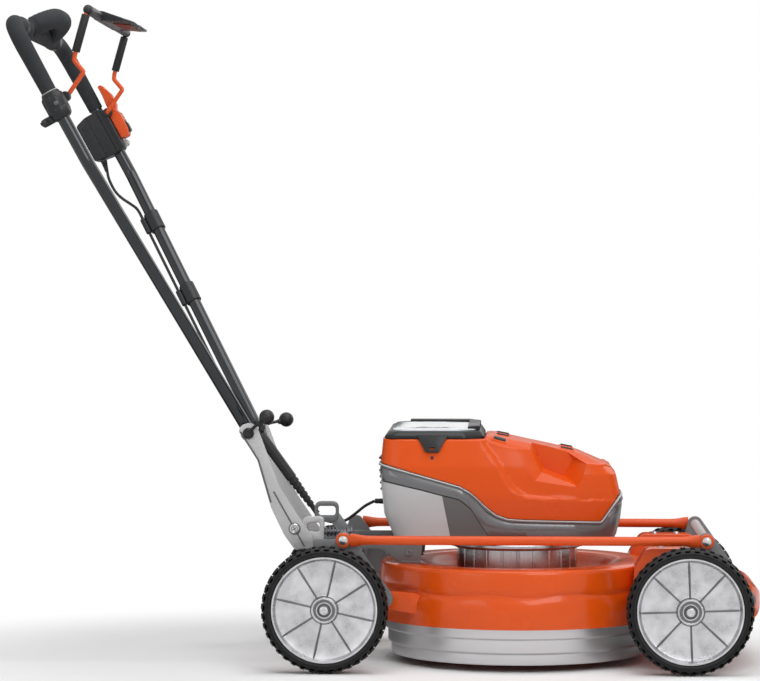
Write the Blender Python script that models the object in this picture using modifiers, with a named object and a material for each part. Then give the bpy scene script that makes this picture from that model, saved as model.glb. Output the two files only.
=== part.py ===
"""Cordless lawn mower: round steel deck, battery motor, cranked wheels and a folding V handle.

Metres, +Z up, +X towards the front, +Y towards the mower's left. The origin lies on the ground,
at the middle of the mower's length. Right-hand pieces lie at -Y.
"""

from math import ceil, cos, pi, radians, sin, sqrt, tan

import bmesh
import bpy
from mathutils import Matrix, Vector
from mathutils.geometry import convex_hull_2d

# Clearances and common walls
GAP = 0.0003
RUNNING_GAP = 0.0006
SHEET_STEEL = 0.0025
MOULDED_WALL = 0.003

# Wheels
WHEEL_RADIUS = 0.110
WHEELBASE = 0.631
REAR_AXLE_X = -0.106
TRACK_HALF = 0.2425
TYRE_WIDTH = 0.045
RIM_RADIUS = 0.093
RIM_WIDTH = 0.036
RIM_LIP = 0.0045
RIM_WEB = 0.004
HUB_RADIUS = 0.0225
BEARING_RADIUS = 0.01225
SPOKE_COUNT = 8
SPOKE_WIDTH = 0.006
TREAD_LUGS = 17
TREAD_DEPTH = 0.0035
AXLE_RADIUS = 0.006
AXLE_NUT_RADIUS = 0.0095

# Height linkage: places are measured from each axle
ROD_PIN_OFFSET = (0.030, 0.117)
DECK_PIVOT_OFFSET = (0.099, 0.014)
CROSS_TUBE_OFFSET = (0.046, 0.080)
CRANK_INNER_Y = 0.186
CRANK_THICKNESS = 0.008
CRANK_EDGE = 0.014
CROSS_TUBE_RADIUS = 0.010
PIVOT_PIN_RADIUS = 0.006
ROD_PIN_RADIUS = 0.005
ROD_RADIUS = 0.008
ROD_EYE_RADIUS = 0.013
ROD_EYE_THICKNESS = 0.010
ROD_Y = 0.204
TAB_INNER_Y = 0.176
TAB_THICKNESS = 0.006
LEVER_HALF = 0.007
LEVER_LOOP_LOW = (-0.1400, 0.2430)
LEVER_LOOP_HIGH = (-0.0965, 0.2805)
BOLT_RADIUS = 0.005

# Deck, skirt and nose
DECK_X = 0.225
DECK_RADIUS = 0.2525
DECK_RIM_Z = 0.076
DECK_CREASE_Z = 0.134
DECK_CREST_Z = 0.178
DECK_FLOOR_Z = 0.150
BASIN_RADIUS = 0.158
SPINDLE_RADIUS = 0.010
SKIRT_LOW_Z = 0.012
SKIRT_RADII = (0.226, 0.232, 0.238)
SKIRT_GROOVES_Z = (0.0317, 0.0573)
NOSE_FRONT_X = 0.656
NOSE_REAR_X = 0.430
NOSE_LOW_Z = 0.0865
NOSE_TOP_Z = 0.150
NOSE_HALF_WIDTH = 0.183
TOWER_TOP_Z = 0.2125
TOWER_INNER_Y = 0.118

# Blade and motor
BLADE_RADIUS = 0.212
BLADE_Z = 0.030
BLADE_WIDTH = 0.052
BLADE_THICKNESS = 0.003
DRUM_RADIUS = 0.108
DRUM_FIN_DEPTH = 0.004
DRUM_FINS = 24
DRUM_TOP_Z = 0.205
FLANGE_RADIUS = 0.1265
FLANGE_TOP_Z = 0.212
DRUM_CAVITY_RADIUS = 0.084
ROTOR_RADIUS = 0.078

# Housing
HOUSING_REAR_X = -0.0165
HOUSING_FRONT_X = 0.412
HOUSING_LOW_Z = 0.223
HOUSING_SEAT_Z = 0.3987
HOUSING_HALF_WIDTH = 0.127
PLINTH_RADIUS = 0.118
LID_LENGTH = 0.177
LID_REAR_X = -0.009
LID_HEIGHT = 0.0195
LID_PANEL_HEIGHT = 0.0055
LID_HALF_WIDTH = 0.107
BATTERY_SIZE = (0.120, 0.120, 0.096)
BATTERY_X = 0.080
BATTERY_GAP = 0.0015
BAY_FLOOR_Z = 0.300
LOUVRE_TEETH = 6
CABLE_ENTRY_Z = 0.277
SCOOP_CENTRE_X = 0.285
SCOOP_FLOOR_Y = 0.078
LATCH_BARREL = 0.0032
LATCH_X = 0.076
LATCH_TOP_WIDTH = 0.056
LATCH_FOOT_WIDTH = 0.026
LATCH_DROP = 0.030
LATCH_LEAN = radians(20)

# Handle
FOLD_X = -0.251
FOLD_Z = 0.408
HANDLE_ANGLE = radians(61.3)
TUBE_RADIUS = 0.0112
FOOT_HALF_SPACING = 0.080
GRIP_HALF_SPACING = 0.289
SPREAD_START_Z = 0.4165
SPREAD_SLOPE = 0.4484
HANDLE_TOP_Z = 1.125
TOP_BEND_RADIUS = 0.048
FOAM_RADIUS = 0.015
FOAM_START_Z = 1.0035
CENTRE_GRIP_RADIUS = 0.019
CENTRE_GRIP_HALF = 0.105
BRACKET_Y = 0.098
BRACKET_THICKNESS = 0.004
CAP_PLACE = (-0.1690, 0.2385)
LUG_BOX = (-0.1600, -0.1165, 0.2070, 0.2600)
LUG_THICKNESS = 0.012
CAM_BOLT_RADIUS = 0.004
KNOB_RADIUS = 0.0135
KNOB_OFFSETS = {"right": (0.035, 0.030), "left": (0.049, 0.014)}
SPRING_RADIUS = 0.00875
SPRING_WIRE = 0.003
SPRING_TURNS = 7
SPRING_Z = 0.2326
SPRING_END_X = -0.070

# Grip clamp, control box and bail
CLAMP_Z = 0.980
CLAMP_RADIUS = 0.0205
CLAMP_LENGTH = 0.050
BOX_Z = 0.955
BOX_LOW_S = -0.038
BOX_HIGH_S = 0.050
BOX_REAR_N = -0.047
BOX_FRONT_N = 0.0175
BOX_HALF_WIDTH = 0.026
BAIL_X = -0.5515
BAIL_Z = 0.997
BAIL_HALF_SPACING = 0.256
BAIL_WIRE_RADIUS = 0.004
BAIL_SLEEVE_RADIUS = 0.006
PADDLE_HALF_WIDTH = 0.120
EAR_RADIUS = 0.009
EAR_GAP = 0.0048
EAR_DEPTH = 0.0120
BOW_REACH = (0.040, 0.026)

# Cable
CABLE_RADIUS = 0.0027
BOOT_Y = 0.055
CLIP_HEIGHTS = (0.790, 0.655)
CLIP_LENGTH = 0.040


def clear_scene():
    """Removes what the start-up file holds."""
    for thing in list(bpy.data.objects):
        bpy.data.objects.remove(thing, do_unlink=True)


clear_scene()
PARTS = bpy.data.collections.new("cordless_lawn_mower")
CUTTERS = bpy.data.collections.new("cutters")
bpy.context.scene.collection.children.link(PARTS)
bpy.context.scene.collection.children.link(CUTTERS)


def finish(name, colour, roughness, metallic=0.0):
    """A material with one Principled shader."""
    made = bpy.data.materials.new(name)
    made.use_nodes = True
    shader = made.node_tree.nodes["Principled BSDF"]
    shader.inputs["Base Color"].default_value = (*colour, 1.0)
    shader.inputs["Roughness"].default_value = roughness
    shader.inputs["Metallic"].default_value = metallic
    return made


ORANGE = finish("orange_paint", (0.75, 0.10, 0.012), 0.35)
ROD_ORANGE = finish("orange_powder_coat", (0.80, 0.13, 0.025), 0.45)
BRUSHED = finish("brushed_steel", (0.60, 0.60, 0.61), 0.32, 1.0)
CAST = finish("cast_aluminium", (0.52, 0.52, 0.53), 0.45, 1.0)
GREY = finish("grey_plastic", (0.36, 0.38, 0.39), 0.45)
SILVER = finish("silver_plastic", (0.52, 0.53, 0.54), 0.35)
DARK = finish("dark_plastic", (0.035, 0.036, 0.038), 0.5)
GLOSS = finish("light_gloss_plastic", (0.70, 0.73, 0.75), 0.15)
RUBBER = finish("tyre_rubber", (0.022, 0.022, 0.024), 0.75)
FOAM = finish("black_foam", (0.030, 0.031, 0.034), 0.9)
TUBE = finish("dark_tube", (0.045, 0.047, 0.052), 0.35, 0.6)
ZINC = finish("zinc_plate", (0.72, 0.72, 0.72), 0.3, 1.0)
STEEL = finish("spring_steel", (0.16, 0.16, 0.17), 0.35, 1.0)


def add_mesh(name, mesh, material=None, cutter=False):
    """A mesh object in the collection that it belongs to."""
    made = bpy.data.objects.new(name, mesh)
    (CUTTERS if cutter else PARTS).objects.link(made)
    if cutter:
        made.hide_render = True
        made.display_type = "WIRE"
    if material:
        mesh.materials.clear()
        mesh.materials.append(material)
    return made


def baked(thing, name=None, merge=0.00001):
    """The object with its modifiers or its curve turned to a plain welded mesh in world places."""
    bpy.context.view_layer.update()
    shape = thing.evaluated_get(bpy.context.evaluated_depsgraph_get())
    mesh = bpy.data.meshes.new_from_object(shape)
    mesh.transform(thing.matrix_world)
    edit = bmesh.new()
    edit.from_mesh(mesh)
    bmesh.ops.remove_doubles(edit, verts=edit.verts, dist=merge)
    bmesh.ops.dissolve_degenerate(edit, edges=edit.edges, dist=merge)
    bmesh.ops.recalc_face_normals(edit, faces=edit.faces)
    edit.to_mesh(mesh)
    edit.free()
    kept = name or thing.name
    bpy.data.objects.remove(thing, do_unlink=True)
    return add_mesh(kept, mesh)


def aimed(direction):
    """The turn that carries +Z to a direction."""
    return Vector((0, 0, 1)).rotation_difference(Vector(direction)).to_matrix().to_4x4()


def lathe(name, profile, centre=(0, 0, 0), axis=(0, 0, 1), steps=28, ring=False):
    """A turned solid: the profile holds (radius, height) and runs down its outer side."""
    mesh = bpy.data.meshes.new(name)
    edges = [(i, i + 1) for i in range(len(profile) - 1)]
    if ring:
        edges.append((len(profile) - 1, 0))
    mesh.from_pydata([(r, 0, z) for r, z in profile], edges, [])
    thing = add_mesh(name, mesh)
    screw = thing.modifiers.new("turn", "SCREW")
    screw.steps = steps
    screw.render_steps = steps
    screw.use_merge_vertices = True
    screw.merge_threshold = 0.00001
    thing.matrix_world = Matrix.Translation(centre) @ aimed(axis)
    return baked(thing)


def cylinder(name, radius, start, end, steps=14):
    """A round bar between two points."""
    start, end = Vector(start), Vector(end)
    length = (end - start).length
    profile = [(0, length), (radius, length), (radius, 0), (0, 0)]
    return lathe(name, profile, start, end - start, steps)


def drill(name, radius, start, end, steps=14):
    """A cutter for a round hole: its flats, not its corners, stand at the radius."""
    return cylinder(name, radius / cos(pi / steps), start, end, steps)


def prism(name, outline, low, high, plane="XZ"):
    """A flat outline given a thickness: along Y for an XZ outline, along Z for an XY one."""
    curve = bpy.data.curves.new(name, "CURVE")
    curve.dimensions = "2D"
    curve.fill_mode = "BOTH"
    curve.extrude = (high - low) / 2
    line = curve.splines.new("POLY")
    line.points.add(len(outline) - 1)
    for point, (a, b) in zip(line.points, outline):
        point.co = (a, b, 0, 1)
    line.use_cyclic_u = True
    thing = bpy.data.objects.new(name, curve)
    PARTS.objects.link(thing)
    middle = (low + high) / 2
    if plane == "XZ":
        thing.matrix_world = Matrix.Translation((0, middle, 0)) @ Matrix.Rotation(pi / 2, 4, "X")
    else:
        thing.location = (0, 0, middle)
    return baked(thing)


def block(name, low, high):
    """A box between two corners."""
    outline = [(low[0], low[2]), (high[0], low[2]), (high[0], high[2]), (low[0], high[2])]
    return prism(name, outline, low[1], high[1])


def tube(name, points, radius, resolution=2):
    """A round tube along a line of points."""
    curve = bpy.data.curves.new(name, "CURVE")
    curve.dimensions = "3D"
    curve.bevel_depth = radius
    curve.bevel_resolution = resolution
    curve.use_fill_caps = True
    line = curve.splines.new("POLY")
    line.points.add(len(points) - 1)
    for point, place in zip(line.points, points):
        point.co = (*place, 1)
    thing = bpy.data.objects.new(name, curve)
    PARTS.objects.link(thing)
    return baked(thing)


def boolean(thing, others, operation):
    """The result of Boolean joins or cuts, with the other solids used up."""
    for other in others:
        name = thing.name
        change = thing.modifiers.new(operation.lower(), "BOOLEAN")
        change.operation = operation
        change.solver = "EXACT"
        change.object = other
        thing = baked(thing, name)
        bpy.data.objects.remove(other, do_unlink=True)
        thing.name = name
    return thing


def cut(thing, *others):
    """The solid without the others."""
    return boolean(thing, others, "DIFFERENCE")


def join(thing, *others):
    """The solid with the others welded on."""
    return boolean(thing, others, "UNION")


def common(thing, *others):
    """What the solids share."""
    return boolean(thing, others, "INTERSECT")


def copy_of(thing, name, mirrored=False):
    """A copy, turned over to the other side of the mower if mirrored."""
    mesh = thing.data.copy()
    if mirrored:
        mesh.transform(Matrix.Scale(-1, 4, (0, 1, 0)))
        mesh.flip_normals()
    return add_mesh(name, mesh)


def rounded(points, radius, steps=3):
    """A closed outline with each corner turned to an arc."""
    made = []
    count = len(points)
    for i, corner in enumerate(points):
        corner = Vector(corner)
        before = Vector(points[i - 1]) - corner
        after = Vector(points[(i + 1) % count]) - corner
        reach = min(radius, before.length * 0.45, after.length * 0.45)
        start = corner + before.normalized() * reach
        end = corner + after.normalized() * reach
        for k in range(steps + 1):
            t = k / steps
            made.append(start * (1 - t) ** 2 + corner * 2 * t * (1 - t) + end * t**2)
    return [tuple(p) for p in made]


def bent(points, radius, steps=4):
    """An open route in space with each inner corner turned to an arc."""
    points = [Vector(p) for p in points]
    made = [points[0]]
    for before, corner, after in zip(points, points[1:], points[2:]):
        a = (before - corner).normalized()
        b = (after - corner).normalized()
        half = a.angle(b) / 2
        reach = radius / tan(half)
        centre = corner + (a + b).normalized() * (radius / sin(half))
        start = corner + a * reach - centre
        end = corner + b * reach - centre
        swing = start.angle(end)
        for k in range(steps + 1):
            t = k / steps
            made.append(centre + (start * sin((1 - t) * swing) + end * sin(t * swing)) / sin(swing))
    made.append(points[-1])
    return made


def flowing(points, step):
    """A smooth curve through the route's points, read at even steps."""
    points = [Vector(p) for p in points]
    ends = [points[0] * 2 - points[1]] + points + [points[-1] * 2 - points[-2]]
    made = [points[0]]
    for a, b, c, d in zip(ends, ends[1:], ends[2:], ends[3:]):
        count = max(1, ceil((c - b).length / step))
        for k in range(1, count + 1):
            t = k / count
            made.append(
                (b * 2 + (c - a) * t + (a * 2 - b * 5 + c * 4 - d) * t**2 + (b * 3 - a - c * 3 + d) * t**3) / 2
            )
    return made


def shifted(points, distance):
    """An open line moved sideways, to the left of its run, with mitred corners."""
    points = [Vector(p) for p in points]
    sides = [Vector((a.y - b.y, b.x - a.x)).normalized() for a, b in zip(points, points[1:])]
    made = []
    for i, point in enumerate(points):
        first = sides[max(i - 1, 0)]
        second = sides[min(i, len(sides) - 1)]
        middle = (first + second).normalized()
        made.append(tuple(point + middle * (distance / max(middle.dot(first), 0.3))))
    return made


def round_hull(circles, steps=14):
    """The outline that a band round several circles takes: each is (x, z, radius)."""
    cloud = [
        Vector((x + r * cos(2 * pi * k / steps), z + r * sin(2 * pi * k / steps)))
        for x, z, r in circles
        for k in range(steps)
    ]
    return [tuple(cloud[i]) for i in convex_hull_2d(cloud)]


def dressed(thing, material, smooth=True):
    """The finished node: its material and its shading."""
    thing.data.materials.clear()
    thing.data.materials.append(material)
    if smooth:
        thing.data.shade_smooth()
        thing.data.set_sharp_from_angle(angle=radians(32))
    return thing


def hang_on(name, place, things):
    """Puts a moving piece's objects under an empty that stands on its joint's axis."""
    axis = bpy.data.objects.new(name, None)
    PARTS.objects.link(axis)
    axis.location = place
    bpy.context.view_layer.update()
    for thing in things:
        thing.parent = axis
        thing.matrix_parent_inverse = axis.matrix_world.inverted()
    return axis


# Wheels

def make_rim(name, centre, out):
    """A dished cast disc with a lip at both sides, a hub and ribs on its outer face."""
    half = RIM_WIDTH / 2
    bore = AXLE_RADIUS + RUNNING_GAP
    inside = RIM_RADIUS - RIM_LIP
    dish = half - 0.011
    profile = [
        (RIM_RADIUS, half),
        (RIM_RADIUS, -half),
        (inside, -half),
        (inside, dish - RIM_WEB),
        (HUB_RADIUS, dish - RIM_WEB),
        (HUB_RADIUS, -half),
        (bore, -half),
        (bore, half + 0.002),
        (HUB_RADIUS * 0.8, half + 0.002),
        (HUB_RADIUS, dish),
        (inside, dish),
        (inside, half),
    ]
    rim = lathe(name, profile, centre, out, 20, ring=True)
    for k in range(SPOKE_COUNT):
        rib = block("rib", (HUB_RADIUS - 0.002, -SPOKE_WIDTH / 2, dish - 0.001), (RIM_RADIUS - 0.002,
                    SPOKE_WIDTH / 2, half - 0.004))
        turn = Matrix.Rotation(2 * pi * (k + 0.35) / SPOKE_COUNT, 4, "Z")
        rib.data.transform(Matrix.Translation(centre) @ aimed(out) @ turn)
        rim = join(rim, rib)
    return dressed(rim, CAST)


def make_tyre(name, centre, out):
    """A ring of rubber whose tread stands up in two rows of staggered lugs."""
    half = TYRE_WIDTH / 2
    seat = (RIM_RADIUS + GAP) / cos(pi / (TREAD_LUGS * 2))
    base = WHEEL_RADIUS - TREAD_DEPTH
    shoulder = half - 0.005
    profile = [(base, shoulder), (base, 0), (base, -shoulder), (base - 0.006, -half), (seat, -half + 0.002),
               (seat, half - 0.002), (base - 0.006, half)]
    mesh = bpy.data.meshes.new(name)
    edit = bmesh.new()
    steps = TREAD_LUGS * 2
    rings = []
    for k in range(steps):
        angle = 2 * pi * k / steps
        rings.append([edit.verts.new((r * cos(angle), r * sin(angle), z)) for r, z in profile])
    for k, ring in enumerate(rings):
        following = rings[(k + 1) % steps]
        for j in range(len(profile)):
            m = (j + 1) % len(profile)
            corners = (ring[j], ring[m], following[m], following[j])
            if j == k % 2:
                top = [edit.verts.new(v.co) for v in corners]
                middle = sum((v.co for v in corners), Vector()) / 4
                lift = Vector((middle.x, middle.y, 0)).normalized() * TREAD_DEPTH
                for v in top:
                    v.co = middle + (v.co - middle) * 0.86 + lift
                for a, b, c, d in zip(corners, corners[1:] + corners[:1], top[1:] + top[:1], top):
                    edit.faces.new((a, b, c, d))
                edit.faces.new(top)
            else:
                edit.faces.new(corners)
    bmesh.ops.recalc_face_normals(edit, faces=edit.faces)
    bmesh.ops.transform(edit, matrix=Matrix.Translation(centre) @ aimed(out), verts=edit.verts)
    edit.to_mesh(mesh)
    edit.free()
    return dressed(add_mesh(name, mesh), RUBBER)


def make_wheel(end, side, axle_x):
    """One wheel's tyre and rim, under an empty on its axle."""
    sign = -1 if side == "right" else 1
    centre = (axle_x, sign * TRACK_HALF, WHEEL_RADIUS)
    out = (0, sign, 0)
    rim = make_rim(f"rim_{end}_{side}", centre, out)
    tyre = make_tyre(f"tyre_{end}_{side}", centre, out)
    hang_on(f"axle_{end}_{side}", centre, [rim, tyre])


# Height linkage

def crank_points(axle_x):
    """The axle, rod pin, deck pivot and cross tube of one crank, as (x, z)."""
    places = ((0, 0), ROD_PIN_OFFSET, DECK_PIVOT_OFFSET, CROSS_TUBE_OFFSET)
    return [(axle_x + dx, WHEEL_RADIUS + dz) for dx, dz in places]


def make_crank(end, axle_x):
    """The right-hand crank: a plate with its stub axle and nut, its rod pin and, at the rear, its pivot pin."""
    axle, rod_pin, pivot, _ = crank_points(axle_x)
    outline = round_hull([(*axle, CRANK_EDGE + 0.002), (*rod_pin, CRANK_EDGE), (*pivot, CRANK_EDGE + 0.003)])
    outer = CRANK_INNER_Y + CRANK_THICKNESS
    crank = prism(f"crank_{end}_right", outline, -outer, -CRANK_INNER_Y)
    nut_in = TRACK_HALF + RIM_WIDTH / 2 + 0.002 + RUNNING_GAP
    hub_in = TRACK_HALF - RIM_WIDTH / 2 - RUNNING_GAP
    pins = [
        cylinder("axle", AXLE_RADIUS, (axle[0], -outer + 0.004, axle[1]), (axle[0], -nut_in - 0.004, axle[1]), 10),
        cylinder("collar", AXLE_RADIUS + 0.005, (axle[0], -outer + 0.004, axle[1]), (axle[0], -hub_in, axle[1]), 10),
        cylinder("nut", AXLE_NUT_RADIUS, (axle[0], -nut_in, axle[1]), (axle[0], -nut_in - 0.006, axle[1]), 6),
        cylinder("rod_pin", ROD_PIN_RADIUS, (rod_pin[0], -outer + 0.004, rod_pin[1]),
                 (rod_pin[0], -ROD_Y - ROD_EYE_THICKNESS / 2 - 0.002, rod_pin[1]), 10),
        cylinder("rod_pin_head", ROD_PIN_RADIUS + 0.003,
                 (rod_pin[0], -ROD_Y - ROD_EYE_THICKNESS / 2 - RUNNING_GAP, rod_pin[1]),
                 (rod_pin[0], -ROD_Y - ROD_EYE_THICKNESS / 2 - 0.003, rod_pin[1]), 10),
    ]
    if end == "rear":
        pins.append(cylinder("pivot_pin", PIVOT_PIN_RADIUS, (pivot[0], -outer + 0.004, pivot[1]),
                             (pivot[0], -TAB_INNER_Y + 0.002, pivot[1]), 10))
    return join(crank, *pins)


def make_cross_tube(end, place):
    """The torsion tube between a pair of cranks."""
    reach = CRANK_INNER_Y - GAP
    return cylinder(f"cross_tube_{end}", CROSS_TUBE_RADIUS, (place[0], -reach, place[1]),
                    (place[0], reach, place[1]), 16)


def make_height_lever(tube_place):
    """A loop grip on an arm that is clamped round the rear cross tube."""
    x, z = tube_place
    collar = cylinder("height_lever", CROSS_TUBE_RADIUS + 0.006, (x, -LEVER_HALF, z), (x, LEVER_HALF, z), 16)
    low, high = LEVER_LOOP_LOW, LEVER_LOOP_HIGH
    arm = prism("arm", [(x - 0.012, z + 0.004), (x + 0.004, z + 0.010), (high[0] + 0.002, high[1] - 0.022),
                        (high[0] - 0.012, low[1] + 0.002)], -LEVER_HALF * 0.7, LEVER_HALF * 0.7)
    loop = prism("loop", rounded([low, (high[0], low[1]), high, (low[0], high[1])], 0.012),
                 -LEVER_HALF, LEVER_HALF)
    slot = prism("slot", rounded([(low[0] + 0.0055, low[1] + 0.012), (high[0] - 0.0055, low[1] + 0.012),
                                  (high[0] - 0.0055, high[1] - 0.010), (low[0] + 0.0055, high[1] - 0.010)],
                                 0.006), -0.05, 0.05)
    bore = drill("bore", CROSS_TUBE_RADIUS + GAP, (x, -0.05, z), (x, 0.05, z), 16)
    return cut(join(collar, arm, loop), slot, bore)


def make_side_rod():
    """The right-hand rod: a round bar whose flattened ends have eyes."""
    rear = crank_points(REAR_AXLE_X)[1]
    front = crank_points(REAR_AXLE_X + WHEELBASE)[1]
    y = -ROD_Y
    half = ROD_EYE_THICKNESS / 2
    rod = cylinder("side_rod_right", ROD_RADIUS, (rear[0] + 0.012, y, rear[1]), (front[0] - 0.012, y, front[1]), 10)
    for x, z in (rear, front):
        rod = join(rod, cylinder("eye", ROD_EYE_RADIUS, (x, y - half, z), (x, y + half, z), 14))
    for x, z in (rear, front):
        rod = cut(rod, drill("hole", ROD_PIN_RADIUS + RUNNING_GAP, (x, y - 0.03, z), (x, y + 0.03, z), 12))
    return rod


def make_linkage():
    """Cranks, cross tubes and rods, the left-hand ones turned over from the right-hand ones."""
    for end, axle_x in (("rear", REAR_AXLE_X), ("front", REAR_AXLE_X + WHEELBASE)):
        pivot, tube_place = crank_points(axle_x)[2:]
        right = make_crank(end, axle_x)
        left = copy_of(right, f"crank_{end}_left", mirrored=True)
        # The front tube lies on the pivot itself, and the rear one passes behind the deck.
        cross = make_cross_tube(end, pivot if end == "front" else tube_place)
        pieces = [dressed(right, GREY), dressed(left, GREY), dressed(cross, DARK)]
        if end == "rear":
            pieces.append(dressed(make_height_lever(tube_place), GREY))
        hang_on(f"{end}_carrier_axis", (pivot[0], 0, pivot[1]), pieces)
    rod = make_side_rod()
    other = copy_of(rod, "side_rod_left", mirrored=True)
    rear = crank_points(REAR_AXLE_X)[1]
    for piece, y in ((rod, -ROD_Y), (other, ROD_Y)):
        hang_on(piece.name + "_axis", (rear[0], y, rear[1]), [dressed(piece, ROD_ORANGE)])


# Deck and what hangs from it

def deck_line():
    """The deck's outer line, from the spindle hole out over the crest and down to the rim."""
    r = DECK_RADIUS
    return [
        (SPINDLE_RADIUS + RUNNING_GAP, DECK_FLOOR_Z),
        (BASIN_RADIUS, DECK_FLOOR_Z),
        (BASIN_RADIUS + 0.013, DECK_FLOOR_Z + 0.005),
        (BASIN_RADIUS + 0.024, DECK_CREST_Z - 0.005),
        (BASIN_RADIUS + 0.032, DECK_CREST_Z),
        (r - 0.0200, DECK_CREST_Z),
        (r - 0.0115, DECK_CREST_Z - 0.0050),
        (r - 0.0070, DECK_CREST_Z - 0.0200),
        (r - 0.0055, DECK_CREASE_Z + 0.0060),
        (r - 0.0080, DECK_CREASE_Z),
        (r - 0.0040, DECK_CREASE_Z - 0.0070),
        (r, DECK_CREASE_Z - 0.0290),
        (r - 0.0020, DECK_RIM_Z),
    ]


def deck_form(name, rise):
    """A solid as wide as the deck with its outer line moved out by a clearance, open below for a cutter."""
    line = shifted(deck_line(), rise)
    top = [(0, line[0][1])] + line
    foot = [(line[-1][0], 0.0), (0, 0.0)]
    return lathe(name, top + foot, (DECK_X, 0, 0))


def make_deck():
    """The pressed shell, with two tabs that carry the rear cranks."""
    line = deck_line()
    inner = shifted([p for k, p in enumerate(line) if k not in (3, 6, 7, 10)], -SHEET_STEEL)
    hole = line[0][0]
    outer_solid = [(0, line[0][1])] + line + [(0, line[-1][1])]
    deck = lathe("deck", outer_solid, (DECK_X, 0, 0))
    pivot = crank_points(REAR_AXLE_X)[2]
    wall_x = DECK_X - sqrt((DECK_RADIUS - 0.004) ** 2 - TAB_INNER_Y**2)
    outline = [(pivot[0] - 0.016, pivot[1] - 0.014), (wall_x + 0.010, pivot[1] - 0.030),
               (wall_x + 0.010, pivot[1] + 0.008), (pivot[0] - 0.016, pivot[1] + 0.014)]
    for sign in (-1, 1):
        ys = sorted((sign * TAB_INNER_Y, sign * (TAB_INNER_Y + TAB_THICKNESS)))
        deck = join(deck, prism("tab", rounded(outline, 0.012, 2), *ys))
    chamber = [(0, inner[0][1])] + inner[1:] + [(inner[-1][0], DECK_RIM_Z - 0.01), (0, DECK_RIM_Z - 0.01)]
    bore = drill("bore", hole, (DECK_X, 0, 0.1), (DECK_X, 0, 0.2))
    deck = cut(deck, lathe("chamber", chamber, (DECK_X, 0, 0)), bore)
    pin_hole = drill("pin_hole", PIVOT_PIN_RADIUS + RUNNING_GAP, (pivot[0], -0.3, pivot[1]),
                        (pivot[0], 0.3, pivot[1]), 16)
    return dressed(cut(deck, pin_hole), ORANGE)


def make_nose():
    """The front cover with its two towers, hollow and open below, shaped to the deck behind it."""
    x, low, top = NOSE_FRONT_X, NOSE_LOW_Z, NOSE_TOP_Z
    line = [(NOSE_REAR_X, low), (x - 0.008, low), (x, low + 0.019), (x - 0.0015, low + 0.044),
            (x - 0.018, top - 0.0045), (x - 0.056, top), (NOSE_REAR_X, top)]
    tower_rear = NOSE_REAR_X + 0.004
    tower = [(tower_rear, top - 0.02), (tower_rear + 0.118, top - 0.02), (tower_rear + 0.140, top - 0.001),
             (tower_rear + 0.114, TOWER_TOP_Z - 0.004), (tower_rear + 0.104, TOWER_TOP_Z),
             (tower_rear + 0.040, TOWER_TOP_Z), (tower_rear + 0.030, TOWER_TOP_Z - 0.004),
             (tower_rear, DECK_CREST_Z + 0.004)]
    wall = MOULDED_WALL
    nose = prism("nose", rounded(line, 0.008, 2), -NOSE_HALF_WIDTH, NOSE_HALF_WIDTH)
    for sign in (-1, 1):
        ys = sorted((sign * TOWER_INNER_Y, sign * (NOSE_HALF_WIDTH - 0.001)))
        nose = join(nose, prism("tower", tower, *ys))
    centre = sum((Vector(p) for p in line), Vector((0, 0))) / len(line)
    inside = [(p[0] + (wall if p[0] < centre.x else -wall), p[1] - wall if p[1] > centre.y else low - 0.02)
              for p in line]
    inner_reach = NOSE_HALF_WIDTH - wall
    nose = cut(nose, prism("inside", inside, -inner_reach, inner_reach))
    pivot = crank_points(REAR_AXLE_X + WHEELBASE)[2]
    hole = drill("hole", CROSS_TUBE_RADIUS + RUNNING_GAP, (pivot[0], -0.3, pivot[1]), (pivot[0], 0.3, pivot[1]))
    return dressed(cut(nose, deck_form("deck_form", GAP), hole), ORANGE)


def make_skirt():
    """The brushed ring under the deck: three stepped bands and a flange that seats inside the deck's wall."""
    low, mid, high = SKIRT_RADII
    first, second = SKIRT_GROOVES_Z
    flange = DECK_RADIUS - 0.0018 - SHEET_STEEL - 2 * GAP
    top = DECK_RIM_Z + 0.006
    outer = [(flange, top), (flange, top - 0.0025), (high, top - 0.005), (high, second + 0.003),
             (mid, second - 0.001), (mid, first + 0.003), (low, first - 0.001), (low, SKIRT_LOW_Z)]
    wall = SHEET_STEEL
    inner = [(low - wall, SKIRT_LOW_Z), (low - wall, first), (mid - wall, second), (high - wall, top)]
    return dressed(lathe("skirt", outer + inner, (DECK_X, 0, 0), ring=True), BRUSHED)


def make_blade():
    """A flat bar blade, its back edges turned up as air lifts, and the bolt that holds it to the spindle."""
    half = BLADE_WIDTH / 2
    low, high = BLADE_Z, BLADE_Z + BLADE_THICKNESS
    r = BLADE_RADIUS
    outline = [(-r, -half), (r * 0.55, -half), (r, -half + 0.010), (r, half), (-r * 0.55, half), (-r, half - 0.010)]
    blade = prism("blade", outline, low, high, plane="XY")
    for sign in (-1, 1):
        fin = prism("fin", [(sign * half, low), (sign * half * 0.72, low), (sign * (half + 0.002), high + 0.014),
                            (sign * (half + 0.005), high + 0.014)], -0.030, 0.030)
        fin.data.transform(Matrix.Translation((sign * (r - 0.034), 0, 0)) @ Matrix.Rotation(pi / 2, 4, "Z"))
        blade = join(blade, fin)
    blade.data.transform(Matrix.Translation((DECK_X, 0, 0)))
    hole = drill("hole", BOLT_RADIUS + RUNNING_GAP, (DECK_X, 0, 0), (DECK_X, 0, 0.1), 16)
    blade = dressed(cut(blade, hole), STEEL)
    head = [(0, low - GAP), (0.011, low - GAP), (0.013, low - 0.002), (0.010, low - 0.009), (0, low - 0.009)]
    bolt = join(lathe("blade_bolt", head, (DECK_X, 0, 0), steps=12),
                cylinder("shank", BOLT_RADIUS, (DECK_X, 0, low - 0.004), (DECK_X, 0, high + 0.016), 12))
    return [blade, dressed(bolt, STEEL)]


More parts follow.
